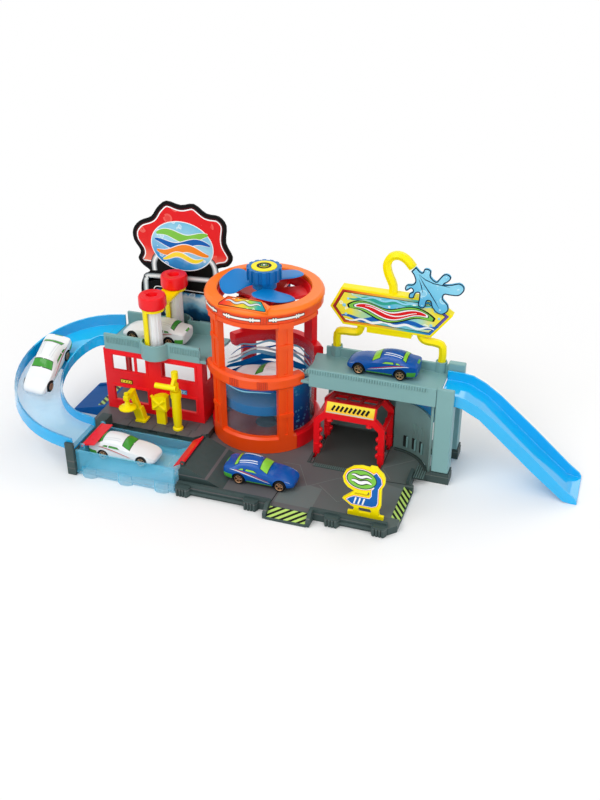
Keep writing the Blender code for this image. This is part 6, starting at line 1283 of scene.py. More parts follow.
@dataclass
class Tower(Assembly):
    """The lift tower: two half frames, the tank, the platform, the screw and its gears."""

    mouldings: Mouldings = (
        Moulding("tower_front_frame", ORANGE, Slot.ORANGE, 0.5), Moulding("tower_rear_frame", RED, Slot.RED, 0.5),
        Moulding("water_tank", TANK, Slot.TANK, 0.3), Moulding("lift_platform", LIFT_BLUE, Slot.LIFT),
        Moulding("lead_screw", LIFT_BLUE, Slot.LIFT, 0.15), Moulding("drive_gear", GEAR_RED, Slot.GEAR, 0.15))
    radius: float = 50.25
    inner: float = 47.95
    # degrees from and to, mean height, swing, waves, phase in turns, half width, number of finish
    front_waves: tuple = ((212.0, 300.0, 77.5, 0.9, 1.6, 0.1, 1.5, 0), (214.0, 298.0, 79.6, 0.8, 2.2, 0.4, 1.0, 2),
                          (216.0, 296.0, 75.6, 0.7, 1.9, 0.7, 0.8, 1))
    far_waves: tuple = ((24.0, 172.0, 63.0, 2.4, 2.1, 0.1, 3.6, 3), (28.0, 168.0, 69.0, 2.2, 2.6, 0.45, 2.2, 1),
                        (34.0, 165.0, 73.5, 2.0, 2.2, 0.8, 1.3, 2), (30.0, 160.0, 77.0, 2.2, 2.4, 0.2, 1.0, 0),
                        (40.0, 150.0, 81.5, 1.8, 2.8, 0.6, 1.2, 1), (26.0, 170.0, 57.0, 1.6, 2.9, 0.3, 2.6, 0))
    # radius, degrees from and to, ribs, low and high
    rib_groups: tuple = ((60.5, 255.0, 262.5, 5, 85.5, 93.6), (60.5, 283.0, 290.5, 5, 85.5, 93.6),
                         (58.8, 287.2, 291.2, 4, 156.2, 163.6))
    # Water colour darkening downwards: partly print, partly painted shade on the tank's right.
    water_and_shade: Gradient = Gradient("tank_water_and_painted_shade", ((0.0, "301a3c"), (0.25, "0a3474"), (0.7, "0a5a9c"), (1.0, "1a86c0")),
                              (0.0, 0.0, 1.0),
                              24.0, 82.0, bubbles=240.0, bubble_colour="5fa6d0", waviness=12.0)
    # Reddish brown on the tank's floor: partly print, partly painted reflection of the red frame.
    brown_and_reflection: Gradient = Gradient("tank_brown_and_painted_reflection", ((0.0, "86281e"), (0.5, "b4452e"), (1.0, "82303a")), (0.5, 1.0, 0.0),
                               -50.0, 50.0, bubbles=120.0, bubble_colour="a05a44", waviness=30.0)

    def strip(self, row: tuple, radius: float, wall: float) -> Shell:
        """A thin band round the tank whose height is a sine of the angle and whose ends taper.

        Args:
            row: one row of the tables of waves.
            radius: its face's distance from the axis.
            wall: how far behind its face its back lies, outwards.
        Returns:
            The shell.
        """
        start, end, mean, swing, waves, phase, half, skin = row
        t = np.linspace(0.0, 1.0, 110)
        turn = np.radians(start + (end - start) * t)
        middle = mean + swing * np.sin((waves * t + phase) * TURN)
        width = half * np.sqrt(np.sin(np.linspace(0.02, 0.98, len(t)) * TURN / 2))
        outer, inner = (np.stack([polar(r, turn, z) for z in (middle - width, middle + width)])
                        for r in (radius, radius + wall))
        return thick(outer, inner).dressed(skin)

    def waves(self) -> None:
        """Printed waves low on the tank's front and high on its far wall, each a little off the last."""
        shells = [self.strip(row, self.radius + 0.04 * (at + 1), -0.12) for at, row in enumerate(self.front_waves)]
        shells += [self.strip(row, self.inner - 0.04 * ((at + 3) % 6 + 1), 0.3)
                   for at, row in enumerate(self.far_waves)]
        make("tank_waves", shells, [PRINT_BLUE, PRINT_SKY, PRINT_WHITE, FAN_BLUE], Slot.TANK)

    def panels(self) -> None:
        """A dark-blue water panel on the tank's right, darker towards the bottom, partly print and partly painted
        shade, and a brownish one on its floor, partly print and partly a painted reflection of the red frame.
        """
        turn = np.radians(np.linspace(302.0, 352.0, 60))
        outer, inner = (np.stack([polar(r, turn, z) for z in (27.0, 79.0)]) for r in (50.27, 50.15))
        make("tank_side_print_and_shade", [thick(outer, inner)], [self.water_and_shade], Slot.TANK)
        disc = lathe([(46.6, 11.32), (46.6, 11.7), (12.2, 11.7), (12.2, 11.32)], 72, closed=True)
        make("tank_floor_print_and_reflection", [disc], [self.brown_and_reflection], Slot.TANK)

    def ribs(self) -> None:
        """Two groups of thin upright ribs on the middle ring and one on the crown's band, each on a darker strip of
        painted shade between the ribs.
        """
        shells = []
        for radius, start, end, count, low, high in self.rib_groups:
            bar = plate(rectangle(-0.42, low, 0.42, high, 0.15, 3), -0.25, 0.4, 0.12)
            shells += [bar.bent(rolled(radius, angle)) for angle in np.radians(np.linspace(start, end, count))]
            x = np.linspace(-1.2, math.radians(end - start) * radius + 1.2, 12)
            low_edge = np.stack([x, np.full(12, low), np.full(12, 0.08)], 1)
            outer = np.stack([low_edge, low_edge + (0.0, high - low, 0.0)], 1)
            shells.append(thick(outer, outer - (0.0, 0.0, 0.3)).bent(rolled(radius, math.radians(start))).dressed(1))
        make("tower_ribs", shells, [CROWN_ORANGE, ORANGE_SHADE], Slot.ORANGE)

    def dress(self) -> None:
        """Prints and ribs."""
        self.waves()
        self.panels()
        self.ribs()


@dataclass
class Crown(Assembly):
    """The crown on the tower with its spider, fan, knob and labels."""

    mouldings: Mouldings = (
        Moulding("crown_ring", CROWN_ORANGE, Slot.ORANGE, 0.3), Moulding("crown_spider", RED, Slot.RED),
        Moulding("crank_knob", KNOB_BLUE, Slot.FAN), Moulding("knob_cap", YELLOW, Slot.YELLOW, 0.2))
    radius: float = 58.8
    middle: float = 160.0
    spans: tuple[Point, ...] = ((212.0, 239.0), (248.0, 286.0), (294.0, 330.0), (160.0, 196.0), (20.0, 56.0),
                                (80.0, 118.0))
    # from, to and half width of each bar of a printed pipe, from and to as shares of its length
    bars: tuple[Triple, ...] = ((0.0, 1.0, 1.05), (0.10, 0.135, 2.1), (0.165, 0.20, 2.1), (0.74, 0.775, 2.1),
                                (0.805, 0.84, 2.1))
    face: float = 58.1
    face_low: float = 169.9
    block_turn: float = 268.0
    block: tuple[Point, ...] = ((0.0, 0.0), (50.0, 0.0), (50.0, 3.4), (42.5, 11.8), (7.5, 11.8), (0.0, 3.4))
    fade: Gradient = Gradient("crown_fade", ((0.0, "e3231a"), (0.22, "f0641a"), (0.42, "f6c02a"), (0.62, "a9cf3c"),
                                             (0.82, "27a59a"), (1.0, "1d8f9c")),
                              (1.0, 0.0, 0.0), -24.0, 22.0, bubbles=240.0, bubble_colour="fdf6d8")
    fan_reach: float = 45.5
    fan_height: float = 171.2
    fan_lean: float = -12.0
    fan_start: float = 67.0
    # share of the reach and angle in radians
    blade: tuple[Point, ...] = ((0.18, -0.15), (0.42, -0.54), (0.72, -0.68), (0.92, -0.50), (1.00, 0.0), (0.92, 0.48),
                                (0.72, 0.64), (0.42, 0.44), (0.18, 0.15))
    hub: tuple[Point, ...] = ((0.0, 145.9), (3.2, 145.9), (3.2, 166.9), (11.4, 167.9), (12.0, 168.5), (12.0, 176.6),
                              (11.4, 177.2), (3.2, 177.2), (3.2, 186.4), (0.0, 186.4))
    dots: tuple = ((4.4, PRINT_BLACK), (3.1, PRINT_GREEN), (2.3, PRINT_BLACK), (1.3, PIPE_WHITE))

    def pipe(self, name: str, start: float, end: float) -> None:
        """A printed pipe on the crown: a white bar with two pairs of collars on a black one, laid round the ring.

        Args:
            name: the piece's name.
            start: degrees where it starts.
            end: degrees where it ends.
        """
        length = math.radians(end - start) * self.radius
        rule = rolled(self.radius, math.radians(start), self.middle)
        shells = []
        for skin, (grow, lift) in enumerate(((0.55, 0.10), (0.0, 0.18))):
            for first, last, half in self.bars:
                a, b = first * length, last * length
                x = np.linspace(a - grow, b + grow, max(3, int((b - a) / 1.5)))
                low = np.stack([x, np.full(len(x), -half - grow), np.full(len(x), lift + 0.01 * half)], 1)
                outer = np.stack([low, low * (1, -1, 1)], 1)
                shells.append(thick(outer, outer - (0, 0, 0.3)).bent(rule).dressed(skin))
        make(name, shells, [PRINT_BLACK, PIPE_WHITE], Slot.ORANGE)

    def label(self) -> None:
        """The leaning label block on the crown's front with its plain printed fade."""
        turn = math.radians(self.block_turn)
        out, across = np.array((math.cos(turn), math.sin(turn), 0.0)), np.array((-math.sin(turn), math.cos(turn), 0.0))
        shape = np.array(self.block)
        corner = out * self.face - across * shape[:, 0].max() / 2 + (0.0, 0.0, self.face_low)
        plane = Plane(tuple(corner), tuple(across), tuple(-out * 9.4 + (0.0, 0.0, 7.1)))
        slab = panel(shape, ((0.0, -4.2), (0.0, -0.4), (0.12, -0.1), (0.4, 0.0)))
        make("label_block", [slab.bent(plane.put)], [CROWN_ORANGE], Slot.ORANGE)
        line = wave_line(7.0, 43.0, 6.4, 1.1, 2.5)
        layers = [(inset(shape, 0.8), PRINT_BLACK), (inset(shape, 1.5), self.fade), (brushed(line, 1.7), PRINT_BLACK),
                  (brushed(line, 1.1), PRINT_SILVER)]
        prints("label_print", plane.put, layers, Slot.ORANGE, 0.08, 0.04)

    def fan(self) -> None:
        """Three broad leaning blades on a hub: each blade's outline shrinks to its middle in rings, whose half
        thickness is a millimetre times the root of one less the share to the fourth, and leans about its length."""
        reach, turn = np.array(self.blade).T
        outline = loop(np.stack([reach * np.cos(turn), reach * np.sin(turn)], 1) * self.fan_reach, 6, (0, 8))
        middle = np.array((0.60 * self.fan_reach, 0.0))
        share = np.array((0.06, 0.5, 0.8, 0.93, 0.985, 1.0))
        rings = middle + share[:, None, None] * (outline - middle)
        half = np.sqrt(1.0 - share**4)[:, None, None] * np.ones((1, len(outline), 1))
        top = np.concatenate([rings, half], 2)
        blade = sheet(np.concatenate([top, (top * (1, 1, -1))[-2::-1]]))
        lean = Matrix.Rotation(math.radians(self.fan_lean), 4, "X")
        rise = Matrix.Translation((0.0, 0.0, self.fan_height))
        shells = [blade.moved(rise @ Matrix.Rotation(math.radians(self.fan_start + 120.0 * at), 4, "Z") @ lean)
                  for at in range(3)]
        piece = make("fan_blades", shells + [lathe(self.hub)], [FAN_BLUE], Slot.FAN,
                     frame["nodes"]["fan_rotor"]["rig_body"])
        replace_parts(piece, "fan_rotor")

    def rings(self) -> None:
        """Printed rings on the knob's cap: a dark one on its face and a dot on its hub."""
        body = frame["nodes"]["knob_cap"]["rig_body"]
        cap, top = (Plane((0.0, 0.0, height), (1, 0, 0), (0, 1, 0)) for height in (190.8, 191.35))
        prints("cap_ring", cap.put, [(ellipse(0, 0, 7.4, 7.4, 40), PRINT_BLACK)], Slot.YELLOW, 0.08, 0.03, body)
        prints("cap_dot", top.put, [(ellipse(0, 0, r, r), finish) for r, finish in self.dots], Slot.YELLOW, 0.06, 0.03,
               body)

    def dress(self) -> None:
        """The fan and the crown's prints."""
        self.fan()
        for number, (start, end) in enumerate(self.spans):
            self.pipe(f"crown_pipe_{number + 1}", start, end)
        self.label()
        self.rings()


# Right side

@dataclass
class RightSide(Assembly):
    """The right deck, its pillars, the wash bay, the sliding arch and the exit ramp."""

    mouldings: Mouldings = (
        Moulding("right_deck", DECK, Slot.DECK), Moulding("front_pillar", DECK, Slot.DECK, 0.6),
        Moulding("rear_pillar", DECK, Slot.DECK, 0.6), Moulding("wash_bay_wall", BAY_GREY, Slot.DECK),
        Moulding("wash_bay_window", WINDOW_BLUE, Slot.WINDOW, 0.2), Moulding("wash_arch", RED, Slot.RED, 0.7),
        Moulding("exit_ramp", RAMP_BLUE, Slot.TRACK, 0.4))
    panel: tuple[Point, Point] = ((-36.5, 57.6), (-29.5, 69.0))
    fade: Gradient = Gradient("arch_fade",
                              ((0.0, "bfe6f4"), (0.10, "8fd0ea"), (0.22, "f6c02a"), (0.5, "fbd92c"), (1.0, "fdf04a")),
                              (0.0, 0.0, 1.0), 57.6, 69.0, waviness=1.5)
    bay: Point = (139.0, -45.0)
    bay_radius: float = 42.9
    slots: tuple[Point, ...] = ((74.0, 13.5), (60.0, 14.5), (45.5, 16.0))
    teeth: RibBand = RibBand("right_parapet_ribs", 56.0, 176.0, -37.0, 100.4, 104.3, 2.6, 0.8)

    def label(self) -> None:
        """The plain faded label on the arch's leaning panel."""
        (y, z), (far, top) = self.panel
        plane = Plane((75.0, y, z), (1, 0, 0), (0, far - y, top - z))
        long = math.hypot(far - y, top - z)
        shape = rectangle(0.6, 0.9, 50.2, long - 0.9, 0.4, 3)
        bars = [(stroke([(x - 1.3, long / 2 - 2.6), (x + 1.3, long / 2 + 2.6)], 1.15), PRINT_BLACK)
                for x in np.linspace(8.0, 43.0, 9)]
        prints("arch_label", plane.put, [(shape, PRINT_ORANGE), (inset(shape, 0.5), self.fade)] + bars, Slot.RED, 0.10,
               0.05, "wash_arch")

    def grill(self) -> None:
        """Three dark slots, flat plates of painted shade, with a pale bar beside each, low on the bay's curved wall."""
        shells = []
        for angle, low in self.slots:
            rule = rolled(self.bay_radius, math.radians(angle), 0.0, self.bay, -1.0)
            # Skin 0 is a flat dark plate of painted shade for the slot, skin 1 the pale bar.
            for skin, (shift, half, lift) in enumerate(((0.0, 1.9, 0.12), (2.7, 0.9, 0.8))):
                bar = plate(rectangle(shift - half, low, shift + half, low + 13.0, 0.4, 3), -0.4, lift)
                shells.append(bar.bent(rule).dressed(skin))
        make("bay_grill", shells, [GROOVE_SHADE, DECK], Slot.DECK)

    def domes(self) -> None:
        """Round bumps on the inner sides of the arch's legs and under its front beam."""
        shells = []
        for x, side in ((69.7, 1.0), (130.3, -1.0)):
            wall = Plane((x, 0.0, 0.0), (0, side, 0), (0, 0, 1))
            spots = [(side * y, z, 3.0) for y in (-34.0, 2.5) for z in (16.5, 26.0, 36.0)]
            shells += [shell.bent(wall.put) for shell in beads(spots, 0.95)]
        beam = Plane((0.0, 0.0, 51.9), (1, 0, 0), (0, -1, 0))
        shells += [shell.bent(beam.put) for shell in beads([(79.0, 34.0, 3.2), (120.8, 34.0, 3.2)], 0.9)]
        make("arch_domes", shells, [RED], Slot.RED, "wash_arch")

    def dress(self) -> None:
        """Label, grill, domes and the parapet's teeth."""
        self.label()
        self.grill()
        self.domes()
        self.teeth.build()


@dataclass
class Signs(Assembly):
    """The sign over the right deck with its hose and splash, and the arrow sign."""

    mouldings: Mouldings = (Moulding("sign_board", YELLOW, Slot.YELLOW, 0.3),
                            Moulding("splash_plate", SPLASH_BLUE, Slot.WINDOW, 0.4),
                            Moulding("arrow_sign", YELLOW, Slot.YELLOW, 0.4))
    sign_face: Plane = Plane((0.0, 20.0, 0.0))
    sign_box: tuple[float, ...] = (62.0, 129.0, 185.0, 170.0)
    board: tuple[Point, ...] = ((0.00, 0.46), (0.09, 1.00), (0.82, 0.98), (1.00, 0.63), (0.84, 0.00), (0.11, 0.02))
    rim: Gradient = Gradient("sign_rim", ((0.0, "a51218"), (0.08, "c2281a"), (0.18, "ef7a1e"), (0.45, "f4c02c"),
                                          (0.66, "3fb7ac"), (0.85, "1d6fc0"), (1.0, "8a2c86")),
                             (1.0, 0.0, -0.2), 36.0, 156.0, waviness=8.0)
    field: Gradient = Gradient("sign_field", ((0.0, "fbe42c"), (0.22, "f3e63e"), (0.36, "8fd4b4"), (0.6, "4fb6dc"),
                                              (0.8, "9ad8cc"), (1.0, "f8e43a")),
                               (1.0, 0.0, 0.35), 112.0, 222.0, bubbles=150.0, bubble_colour="f4fcff", waviness=26.0)
    # left, right, height, swing, waves, phase, tilt, half width and finish
    bands: tuple = ((74.0, 172.0, 138.5, 1.8, 3.0, 0.1, 2.0, 2.6, PRINT_BLUE),
                    (78.0, 168.0, 136.5, 1.4, 4.0, 0.5, 1.5, 1.4, PRINT_WHITE),
                    (80.0, 172.0, 160.0, 1.6, 3.0, 0.6, 0.5, 2.0, PRINT_TEAL),
                    (84.0, 168.0, 162.0, 1.2, 4.0, 0.2, 0.0, 1.0, PRINT_SKY),
                    (80.0, 168.0, 149.5, 3.6, 1.5, 0.05, 0.0, 7.6, PRINT_BLACK),
                    (82.0, 166.0, 149.5, 3.6, 1.5, 0.05, 0.0, 6.5, PRINT_GREEN),
                    (86.0, 162.0, 149.6, 3.6, 1.36, 0.09, 0.0, 5.2, PRINT_PINE),
                    (87.0, 161.0, 149.6, 3.6, 1.33, 0.10, 0.0, 4.4, PRINT_WHITE),
                    (89.0, 159.0, 149.6, 3.6, 1.27, 0.12, 0.0, 3.2, PRINT_RED),
                    (98.0, 150.0, 150.0, 3.4, 0.95, 0.22, 0.0, 0.6, PRINT_WHITE))
    sign_dots: tuple[Triple, ...] = ((76.5, 151.0, 1.9), (80.5, 158.5, 1.3), (78.5, 141.5, 1.5), (168.0, 158.0, 1.7),
                                     (172.0, 150.5, 1.3), (164.5, 142.0, 1.6))
    splash_size: Point = (57.1, 46.1)
    splash: tuple[Point, ...] = (
        (0.17, 1.00), (0.25, 0.90), (0.29, 0.90), (0.31, 0.97), (0.37, 0.99), (0.43, 0.94), (0.43, 0.82),
        (0.52, 0.73), (0.57, 0.80), (0.64, 0.91), (0.72, 0.92), (0.77, 0.85), (0.73, 0.76), (0.66, 0.69),
        (0.78, 0.71), (0.91, 0.76), (0.99, 0.70), (1.00, 0.60), (0.92, 0.48), (0.78, 0.46), (0.68, 0.46),
        (0.66, 0.36), (0.75, 0.24), (0.76, 0.10), (0.66, 0.00), (0.56, 0.03), (0.48, 0.14), (0.45, 0.26),
        (0.39, 0.26), (0.37, 0.13), (0.31, 0.08), (0.24, 0.14), (0.25, 0.30), (0.25, 0.42), (0.19, 0.40),
        (0.16, 0.29), (0.08, 0.28), (0.08, 0.38), (0.14, 0.44), (0.11, 0.50), (0.03, 0.43), (0.00, 0.50),
        (0.04, 0.58), (0.13, 0.60), (0.17, 0.68), (0.14, 0.80), (0.09, 0.88))
    veins: tuple = (((0.22, 0.84), (0.34, 0.74), (0.48, 0.68), (0.62, 0.66), (0.76, 0.64)),
                    ((0.24, 0.80), (0.33, 0.62), (0.44, 0.44), (0.53, 0.28), (0.60, 0.14)),
                    ((0.24, 0.72), (0.28, 0.58), (0.31, 0.44)))
    drops: tuple[Triple, ...] = (
        (0.90, 0.61, 3.0), (0.69, 0.85, 1.9), (0.36, 0.92, 1.7), (0.62, 0.10, 2.4), (0.31, 0.15, 1.5),
        (0.42, 0.44, 1.3), (0.56, 0.56, 1.1), (0.11, 0.33, 1.2), (0.06, 0.51, 1.2), (0.57, 0.28, 1.2),
        (0.30, 0.58, 1.0))
    wet: Gradient = Gradient("splash_fade", ((0.0, "48a8d4"), (0.4, "74c6e6"), (0.7, "8fd4ec"), (1.0, "4aaeda")),
                             (0.5, 0.0, 1.0),
                             235.0, 298.0, bubbles=90.0, bubble_colour="b9e6f4", waviness=16.0)
    arrow_left: float = 119.5
    arrow_size: Point = (40.5, 57.5)
    band: tuple[Point, ...] = ((0.13, 0.30), (0.24, 0.235), (0.72, 0.235), (0.82, 0.27), (0.85, 0.33), (0.85, 0.60),
                               (0.93, 0.71), (0.91, 0.80), (0.80, 0.90), (0.74, 0.86), (0.76, 0.60), (0.71, 0.56),
                               (0.71, 0.44), (0.66, 0.385), (0.30, 0.385), (0.20, 0.345))
    oval: Point = (0.465, 0.735)

    def board_print(self) -> None:
        """The long sign's plain design: a fading rim, a bubbly field and a pennant of waves."""
        edge = fitted(self.board, *self.sign_box)[::-1]
        layers = [(inset(edge, 2.3), self.rim), (inset(edge, 4.6), PRINT_BLACK), (inset(edge, 5.2), self.field)]
        layers += [(brushed(wave_line(*wave), half), finish) for *wave, half, finish in self.bands]
        prints("sign_print", self.sign_face.put, layers, Slot.YELLOW, 0.10, 0.035)
        make("sign_beads", [shell.bent(self.sign_face.put) for shell in beads(self.sign_dots, 0.35, 0.2)], [PRINT_SKY],
             Slot.YELLOW)

    def splash_print(self) -> None:
        """The splash's dark outline, its pale face, veins and drops."""
        low, high = (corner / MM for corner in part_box("splash_plate"))
        wide, tall = self.splash_size
        face = Plane((0.0, low.y, 0.0))
        edge = loop(fitted(self.splash, low.x, low.z, low.x + wide, high.z), 4, (0, 46))[::-1]
        layers = [(inset(edge, 0.05), SPLASH_EDGE), (inset(edge, 1.25), self.wet)]
        layers += [(brushed(fitted(vein, low.x, low.z, low.x + wide, low.z + tall), 0.5), SPLASH_EDGE)
                   for vein in self.veins]
        prints("splash_print", face.put, layers, Slot.WINDOW, 0.08, 0.03)
        dots = [(low.x + x * wide, low.z + y * tall, r * 0.42) for x, y, r in self.drops]
        make("splash_drops", [shell.bent(face.put) for shell in beads(dots, 0.5, 0.12)], [SPLASH_DROP], Slot.WINDOW)

    def arrow_print(self) -> None:
        """The arrow sign's blue bent band with pale bars, and its green oval in pale and orange rings."""
        low, _ = (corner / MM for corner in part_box("arrow_sign"))
        face = Plane((0.0, low.y, 0.0))
        box = (self.arrow_left, low.z, self.arrow_left + self.arrow_size[0], low.z + self.arrow_size[1])
        band, (middle,) = fitted(self.band, *box), fitted([self.oval], *box)
        oval = ellipse(*middle, 14.4, 10.6, 48)
        layers = [(inset(band, -1.2), PRINT_ORANGE), (inset(oval, -1.4), PRINT_ORANGE),
                  (inset(band, -0.6), PRINT_WHITE),
                  (inset(oval, -0.7), PRINT_WHITE), (band, PRINT_BLUE), (oval, PRINT_PINE),
                  (inset(oval, 1.0), PRINT_GREEN)]
        for shift, half in ((3.3, 2.5), (-2.9, 2.9)):
            line = wave_line(middle[0] - 9.5, middle[0] + 9.5, middle[1] + shift, 0.9, 1.5, 0.1)
            layers += [(brushed(line, half), PRINT_BLACK), (brushed(line, half - 1.1), PRINT_WHITE)]
        layers += [(stroke(fitted([(x, 0.25), (x + 0.045, 0.37)], *box), 0.75), PRINT_WHITE)
                   for x in (0.30, 0.40, 0.50)]
        prints("arrow_print", face.put, layers, Slot.YELLOW, 0.10, 0.04)

    def dress(self) -> None:
        """The three prints."""
        self.board_print()
        self.splash_print()
        self.arrow_print()


@dataclass
class Track(Assembly):
    """The curved track from the left deck to the tub."""

    mouldings: Mouldings = (Moulding("upper_track", TRACK_BLUE, Slot.TRACK, 0.3, 0.3, TRACK_WALL),
                            Moulding("lower_track", TRACK_PALE, Slot.PALE, 0.3, 0.3, TRACK_WALL))


# Cars

@dataclass(frozen=True)
class Livery:
    """The colours of one car."""

    body: Finish
    glass: Finish
    seal: Finish
    band: Finish
    streak: Finish
    line: Finish
    slot: Slot


WHITE_CAR = Livery(CAR_WHITE, GLASS_GREEN, SEAL_GREEN, CAR_GREEN, STREAK_PALE, STREAK_RED, Slot.WHITE)
BLUE_CAR = Livery(CAR_BLUE, GLASS_LIME, SEAL_BLUE, CAR_GREEN, STREAK_WHITE, STREAK_RED, Slot.BLUE)


@dataclass
class Car:
    """A small coupe: a spline surface with arches, glass patches, streaks and spoked wheels.

    A patch's corners are given as the distance along from the rear axle and as the place round the section,
    from 0 on the roof to 1 under the left side.
    """

    name: str
    livery: Livery
    tall: float = 1.22
    arch_radius: float = 6.9
    wheelbase: float = 42.0
    wheel_radius: float = 5.8
    track: float = 28.4
    tyre_width: float = 4.0
    spokes: int = 5
    spans: tuple[int, int] = (240, 120)
    middle: Triple = (20.0, 0.0, 9.0)
    patch_depth: float = 0.4
    # along, sill, floor, side, middle, belt, belt height, roof edge, edge height, top
    stations: tuple = (
        (-16.4, 7.0, 5.5, 10.5, 8.0, 9.5, 11.5, 6.5, 12.6, 12.8),
        (-16.4, 10.8, 3.4, 13.2, 8.0, 12.2, 12.6, 8.8, 13.8, 14.0),
        (-12.5, 12.2, 2.0, 14.5, 7.6, 13.4, 13.4, 10.0, 14.8, 15.2),
        (-7.0, 12.6, 1.7, 14.7, 7.4, 13.5, 13.6, 9.6, 15.6, 16.2),
        (-2.0, 12.8, 1.6, 14.6, 7.2, 13.3, 13.7, 8.8, 19.0, 19.6),
        (6.0, 12.8, 1.6, 14.3, 7.0, 13.0, 13.5, 8.7, 20.2, 20.7),
        (15.0, 12.8, 1.6, 14.2, 7.0, 12.8, 13.0, 8.8, 20.0, 20.7),
        (23.0, 12.8, 1.6, 14.2, 7.0, 12.8, 12.7, 9.0, 17.8, 18.6),
        (32.0, 12.8, 1.6, 14.5, 7.0, 12.9, 11.8, 9.6, 12.5, 13.2),
        (42.0, 12.6, 1.8, 14.6, 6.9, 12.7, 10.8, 9.4, 11.5, 12.1),
        (50.0, 11.6, 2.2, 13.4, 6.3, 11.8, 9.0, 8.6, 9.6, 10.0), (55.4, 8.8, 3.0, 10.6, 5.4, 9.6, 6.8, 7.0, 7.2, 7.4),
        (55.4, 5.0, 4.2, 7.0, 5.2, 6.5, 6.0, 4.5, 6.3, 6.4))
    screens: tuple = (((21.5, -0.16), (28.6, -0.20), (28.6, 0.20), (21.5, 0.16)),
                      ((-4.6, -0.17), (-1.6, -0.15), (-1.6, 0.15), (-4.6, 0.17)))
    windows: tuple = (((7.0, 0.395), (19.0, 0.38), (15.5, 0.28), (7.6, 0.275)),
                      ((-0.4, 0.385), (4.4, 0.395), (4.8, 0.28), (2.2, 0.285)))
    lamp: tuple = ((-16.3, -0.05), (-14.6, -0.05), (-14.6, 0.05), (-16.3, 0.05))
    # number of finish, corners, lift and samples; each is on both sides
    marks: tuple = (
        (0, ((-15.0, 0.80), (-6.6, 0.80), (-6.6, 0.66), (-15.5, 0.64)), 0.14, 10),
        (0, ((8.0, 0.83), (34.0, 0.83), (34.0, 0.79), (8.0, 0.79)), 0.14, 10),
        (1, ((-9.0, 0.48), (31.0, 0.72), (33.0, 0.72), (-6.5, 0.46)), 0.14, 16),
        (1, ((48.0, 0.44), (52.0, 0.46), (51.0, 0.38), (46.5, 0.37)), 0.14, 10),
        (1, ((-1.0, 0.10), (17.0, 0.07), (17.0, 0.055), (-1.0, 0.085)), 0.14, 8),
        (1, ((0.0, 0.135), (18.0, 0.105), (18.0, 0.092), (0.0, 0.122)), 0.14, 8),
        (2, ((-4.0, 0.48), (29.0, 0.68), (31.0, 0.68), (-2.0, 0.46)), 0.2, 16))

    def net(self) -> Array:
        """The control net of one side.

        Returns:
            Points, in rows along the car and columns from floor to roof.
        """
        x, sill, floor, side, middle, belt, belt_height, edge, edge_height, top = np.array(self.stations).T
        width = np.stack([0 * x, sill, side, belt, belt, edge, 0 * x], 1)
        height = np.stack([floor, floor, middle, belt_height, belt_height, edge_height, top], 1) * self.tall
        return np.stack([np.repeat(x[:, None], width.shape[1], 1), width, height], 2)

    def sample(self, along: Array, round_by: Array) -> Array:
        """Points of the body: the net weighed by two splines, read between their even samples.

        Args:
            along: shares of the length for each grid point.
            round_by: from -1, under the right side, over the roof at 0, to 1 under the left side.
        Returns:
            A point for each grid point.
        """
        net, (rows, columns) = self.net(), self.spans
        surface = np.einsum("ui,vj,ijk->uvk", spline(net, rows + 1), spline(net[0], columns + 1), net)
        u, v = np.clip(along, 0, 1) * rows, (1.0 - np.abs(round_by)) * columns
        low_u, low_v = np.minimum(u.astype(int), rows - 1), np.minimum(v.astype(int), columns - 1)
        fu, fv = (u - low_u)[..., None], (v - low_v)[..., None]
        point = ((1 - fu) * (1 - fv) * surface[low_u, low_v] + fu * (1 - fv) * surface[low_u + 1, low_v]
                 + (1 - fu) * fv * surface[low_u, low_v + 1] + fu * fv * surface[low_u + 1, low_v + 1])
        point[..., 1] *= np.where(round_by < 0, -1.0, 1.0)
        return point

    def patch(self, corners: Sequence[Point], lift: float, size: int) -> Shell:
        """A thin plate that follows the body between four corners.

        Args:
            corners: in order round the patch.
            lift: how far it stands off the body.
            size: samples each way.
        Returns:
            The shell.
        """
        x, place = np.array(corners).T
        net, count = self.net(), self.spans[0] + 1
        rows = spline(net, count) @ net[:, 0, 0]
        table = np.stack([np.interp(x, rows, np.linspace(0, 1, count)), place], 1)
        s, t = (share[..., None] for share in np.meshgrid(*[np.linspace(0, 1, size)] * 2, indexing="ij"))
        spot = (1 - s) * (1 - t) * table[0] + s * (1 - t) * table[1] + s * t * table[2] + (1 - s) * t * table[3]
        point = self.sample(spot[..., 0], spot[..., 1])
        normal = np.cross(np.gradient(point, axis=0), np.gradient(point, axis=1))
        normal /= np.linalg.norm(normal, axis=2, keepdims=True) + 1e-15
        outward = point.mean((0, 1)) - self.middle
        normal *= np.sign((normal * outward).sum(2).mean())
        return thick(point + normal * lift, point - normal * self.patch_depth)

    @staticmethod
    def mirrored(corners: Sequence[Point]) -> list[Array]:
        """Four corners on the right side and on the left."""
        return [np.array(corners) * (1.0, side) for side in (-1.0, 1.0)]

